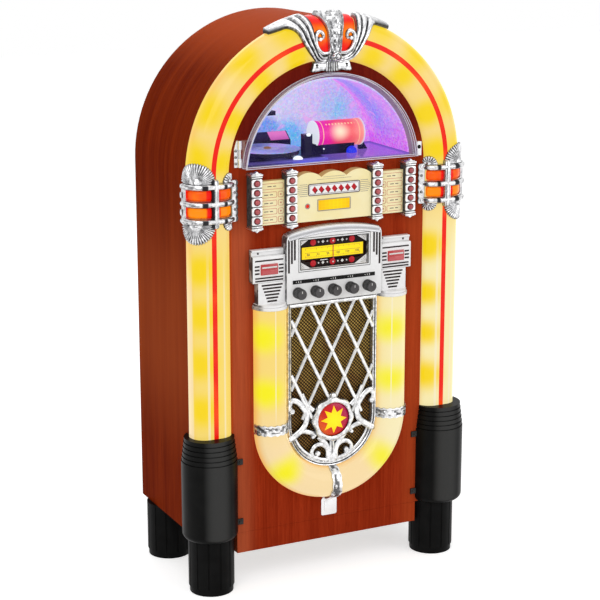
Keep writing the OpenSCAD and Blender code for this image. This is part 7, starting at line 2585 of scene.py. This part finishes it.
        def lay(height: np.ndarray | float) -> np.ndarray:
            """Places the strap's rows at a height over the tube.

            Args:
                height: Height of each point.

            Returns:
                The points.
            """
            r = LAY.u_r + 0.8 + height * np.ones((57, 13))
            y = np.minimum(LAY.u_y - r * np.sin(turn)[:, None], LAY.panel_y - 0.4)
            return grid(x, y, 185.0 + r * np.cos(turn)[:, None])

        maker.relief(lay(1.0 + 2.2 * rough), lay(0.0), 0.2 + 0.8 * rough)
        maker.piece("tube_bands", CHROME_SOFT, "bright_chrome", (), 0.0, 60.0)
        tab = MeshMaker()
        outline = np.array([(-16.5, 116.0), (-14.0, 114.0), (14.0, 114.0), (16.5, 116.0), (16.5, 146.0), (11.0, 153.0),
                            (-11.0, 153.0),
                            (-16.5, 146.0)])
        tab.prism(outline, LAY.panel_y - 3.0, LAY.panel_y)
        middle = np.array([0.0, 133.0])
        tab.prism(middle + (outline - middle) * 0.62, LAY.panel_y - 3.9, LAY.panel_y - 2.8)
        tab.piece("strap_tab", FITTING, "bright_chrome", (), 0.7)


@dataclass
class Screws:
    """Cross-head screws of the front fittings and of the back panel."""

    head_r: float = 2.9
    head_h: float = 1.5
    dark_out: float = 3.0
    seed: int = 7
    hinge: Point = (-188.0, -120.0, 805.7)
    hinge_pitch: float = 11.5
    crown: Point = (30.0, -7.4, 187.6)
    boot_x: float = 184.96
    boot_z: tuple[float, ...] = (131.0, 248.0)
    clasp: Point = (191.5, -5.0, 15.5)
    back_r: float = 251.2
    back_y: float = 160.0
    back_z: tuple[float, ...] = (138.0, 452.5, 782.0)
    back_turns: tuple[float, ...] = (math.pi / 4, math.pi / 2, 3 * math.pi / 4)

    def build(self) -> None:
        """Puts a screw at each place with a turn of its own."""
        rng = np.random.default_rng(self.seed)
        screws = Repeat("cross_head_screws", Shape.SCREW, STEEL, 18)
        dark = Repeat("dark_panel_screws", Shape.SCREW, DARK_METAL, 18)
        for x, y, z, way in self.places():
            turn = (way * math.pi / 2, float(rng.uniform(0.0, math.pi)), 0.0)
            bolts = dark if y == LAY.panel_y - self.dark_out else screws
            bolts.at((x, y, z), (2 * self.head_r, 2 * self.head_r, self.head_h), turn)
        screws.piece("screw_steel", ["screws"])
        dark.piece("screw_steel")

    def places(self) -> list[tuple[float, float, float, int]]:
        """Lists the screws.

        Returns:
            Their places, and 1 for the front or -1 for the back.
        """
        x, y, z = self.hinge
        spots = [(x, y, z + i * self.hinge_pitch, 1) for i in range(3)]
        behind = self.back_y - self.head_h
        for side in (-1, 1):
            x, y, z = self.crown
            spots += [(side * x, LAY.panel_y + y, LAY.arch_z + z, 1)]
            spots += [(side * self.boot_x, LAY.panel_y - self.dark_out, z, 1) for z in self.boot_z]
            x, y, z = self.clasp
            spots += [(side * x, LAY.panel_y + y, LAY.clasp_z + way * z, 1) for way in (-1, 1)]
            spots += [(side * self.back_r, behind, z, -1) for z in self.back_z]
        spots += [(self.back_r * math.cos(a), behind, LAY.arch_z + self.back_r * math.sin(a), -1)
                  for a in self.back_turns]
        return spots


@dataclass
class Studio:
    """Pale floor, soft lamps and the camera."""

    eye: tuple[float, float, float] = (-1.4551, -2.9315, 1.328)
    yaw: float = 26.37
    pitch: float = 14.04
    lens: float = 105.54
    dim: float = 0.5

    def build(self) -> None:
        """Sets the stage."""
        scene = bpy.context.scene
        scene.view_settings.view_transform = "Standard"
        self.floor()
        self.sky()
        self.lamp("key_lamp", (-1.9, -2.4, 2.6), 2.2, 34.0)
        self.lamp("fill_lamp", (2.2, -2.6, 1.7), 2.4, 22.0)
        self.lamp("top_lamp", (0.0, 0.4, 3.2), 2.6, 16.0)
        self.lamp("back_lamp", (0.4, 3.0, 1.9), 2.4, 15.0)
        camera = bpy.data.cameras.new("photo_camera")
        camera.lens = self.lens
        camera.sensor_width = 36.0
        camera.clip_end = 50.0
        holder = bpy.data.objects.new("photo_camera", camera)
        holder.location = self.eye
        holder.rotation_euler = (math.radians(90.0 - self.pitch), 0.0, math.radians(-self.yaw))
        scene.collection.objects.link(holder)
        scene.camera = holder

    def floor(self) -> None:
        """Lays the floor as a wide sheet."""
        mesh = bpy.data.meshes.new("studio_floor")
        mesh.from_pydata([(-9, -9, 0), (9, -9, 0), (9, 9, 0), (-9, 9, 0)], [], [(0, 1, 2, 3)])
        obj = bpy.data.objects.new("studio_floor", mesh)
        mesh.materials.append(Floor("studio_floor_pale").material())
        bpy.context.scene.collection.objects.link(obj)

    def sky(self) -> None:
        """Makes the world white to the camera and dimmer as a light."""
        world = bpy.data.worlds.new("studio_world")
        world.use_nodes = True
        bpy.context.scene.world = world
        g = Graph(world.node_tree, "ShaderNodeBackground", "ShaderNodeOutputWorld")
        seen = g.seen()
        g.surface({"Color": (1.0, 1.0, 1.0), "Strength": self.dim + seen * (1.0 - self.dim)})

    def lamp(self, name: str, place: Point, size: float, watts: float) -> None:
        """Adds a soft lamp that faces the object's middle.

        Args:
            name: Name of the lamp.
            place: Its place in metres.
            size: Width of its square.
            watts: Its power.
        """
        light = bpy.data.lights.new(name, "AREA")
        light.size = size
        light.energy = watts
        obj = bpy.data.objects.new(name, light)
        obj.location = place
        way = np.array((0.0, 0.0, 0.55)) - np.array(place)
        flat = math.hypot(way[0], way[1])
        obj.rotation_euler = (math.atan2(flat, -way[2]), 0.0, math.atan2(-way[0], way[1]))
        bpy.context.scene.collection.objects.link(obj)


def main() -> None:
    """Builds every sub-assembly in order."""
    logging.basicConfig(level=logging.INFO, format="%(message)s")
    for assembly in (Studio(), Cabinet(), LightTubes(), SideClasps(), Crown(), WindowDoor(), Display(), KeyRails(),
                     TitlePanels(), RadioFascia(), Dial(), Knobs(), SpeakerGrille(), Screws()):
        assembly.build()
        LOG.info("built %s", type(assembly).__name__)


if __name__ == "__main__":
    main()
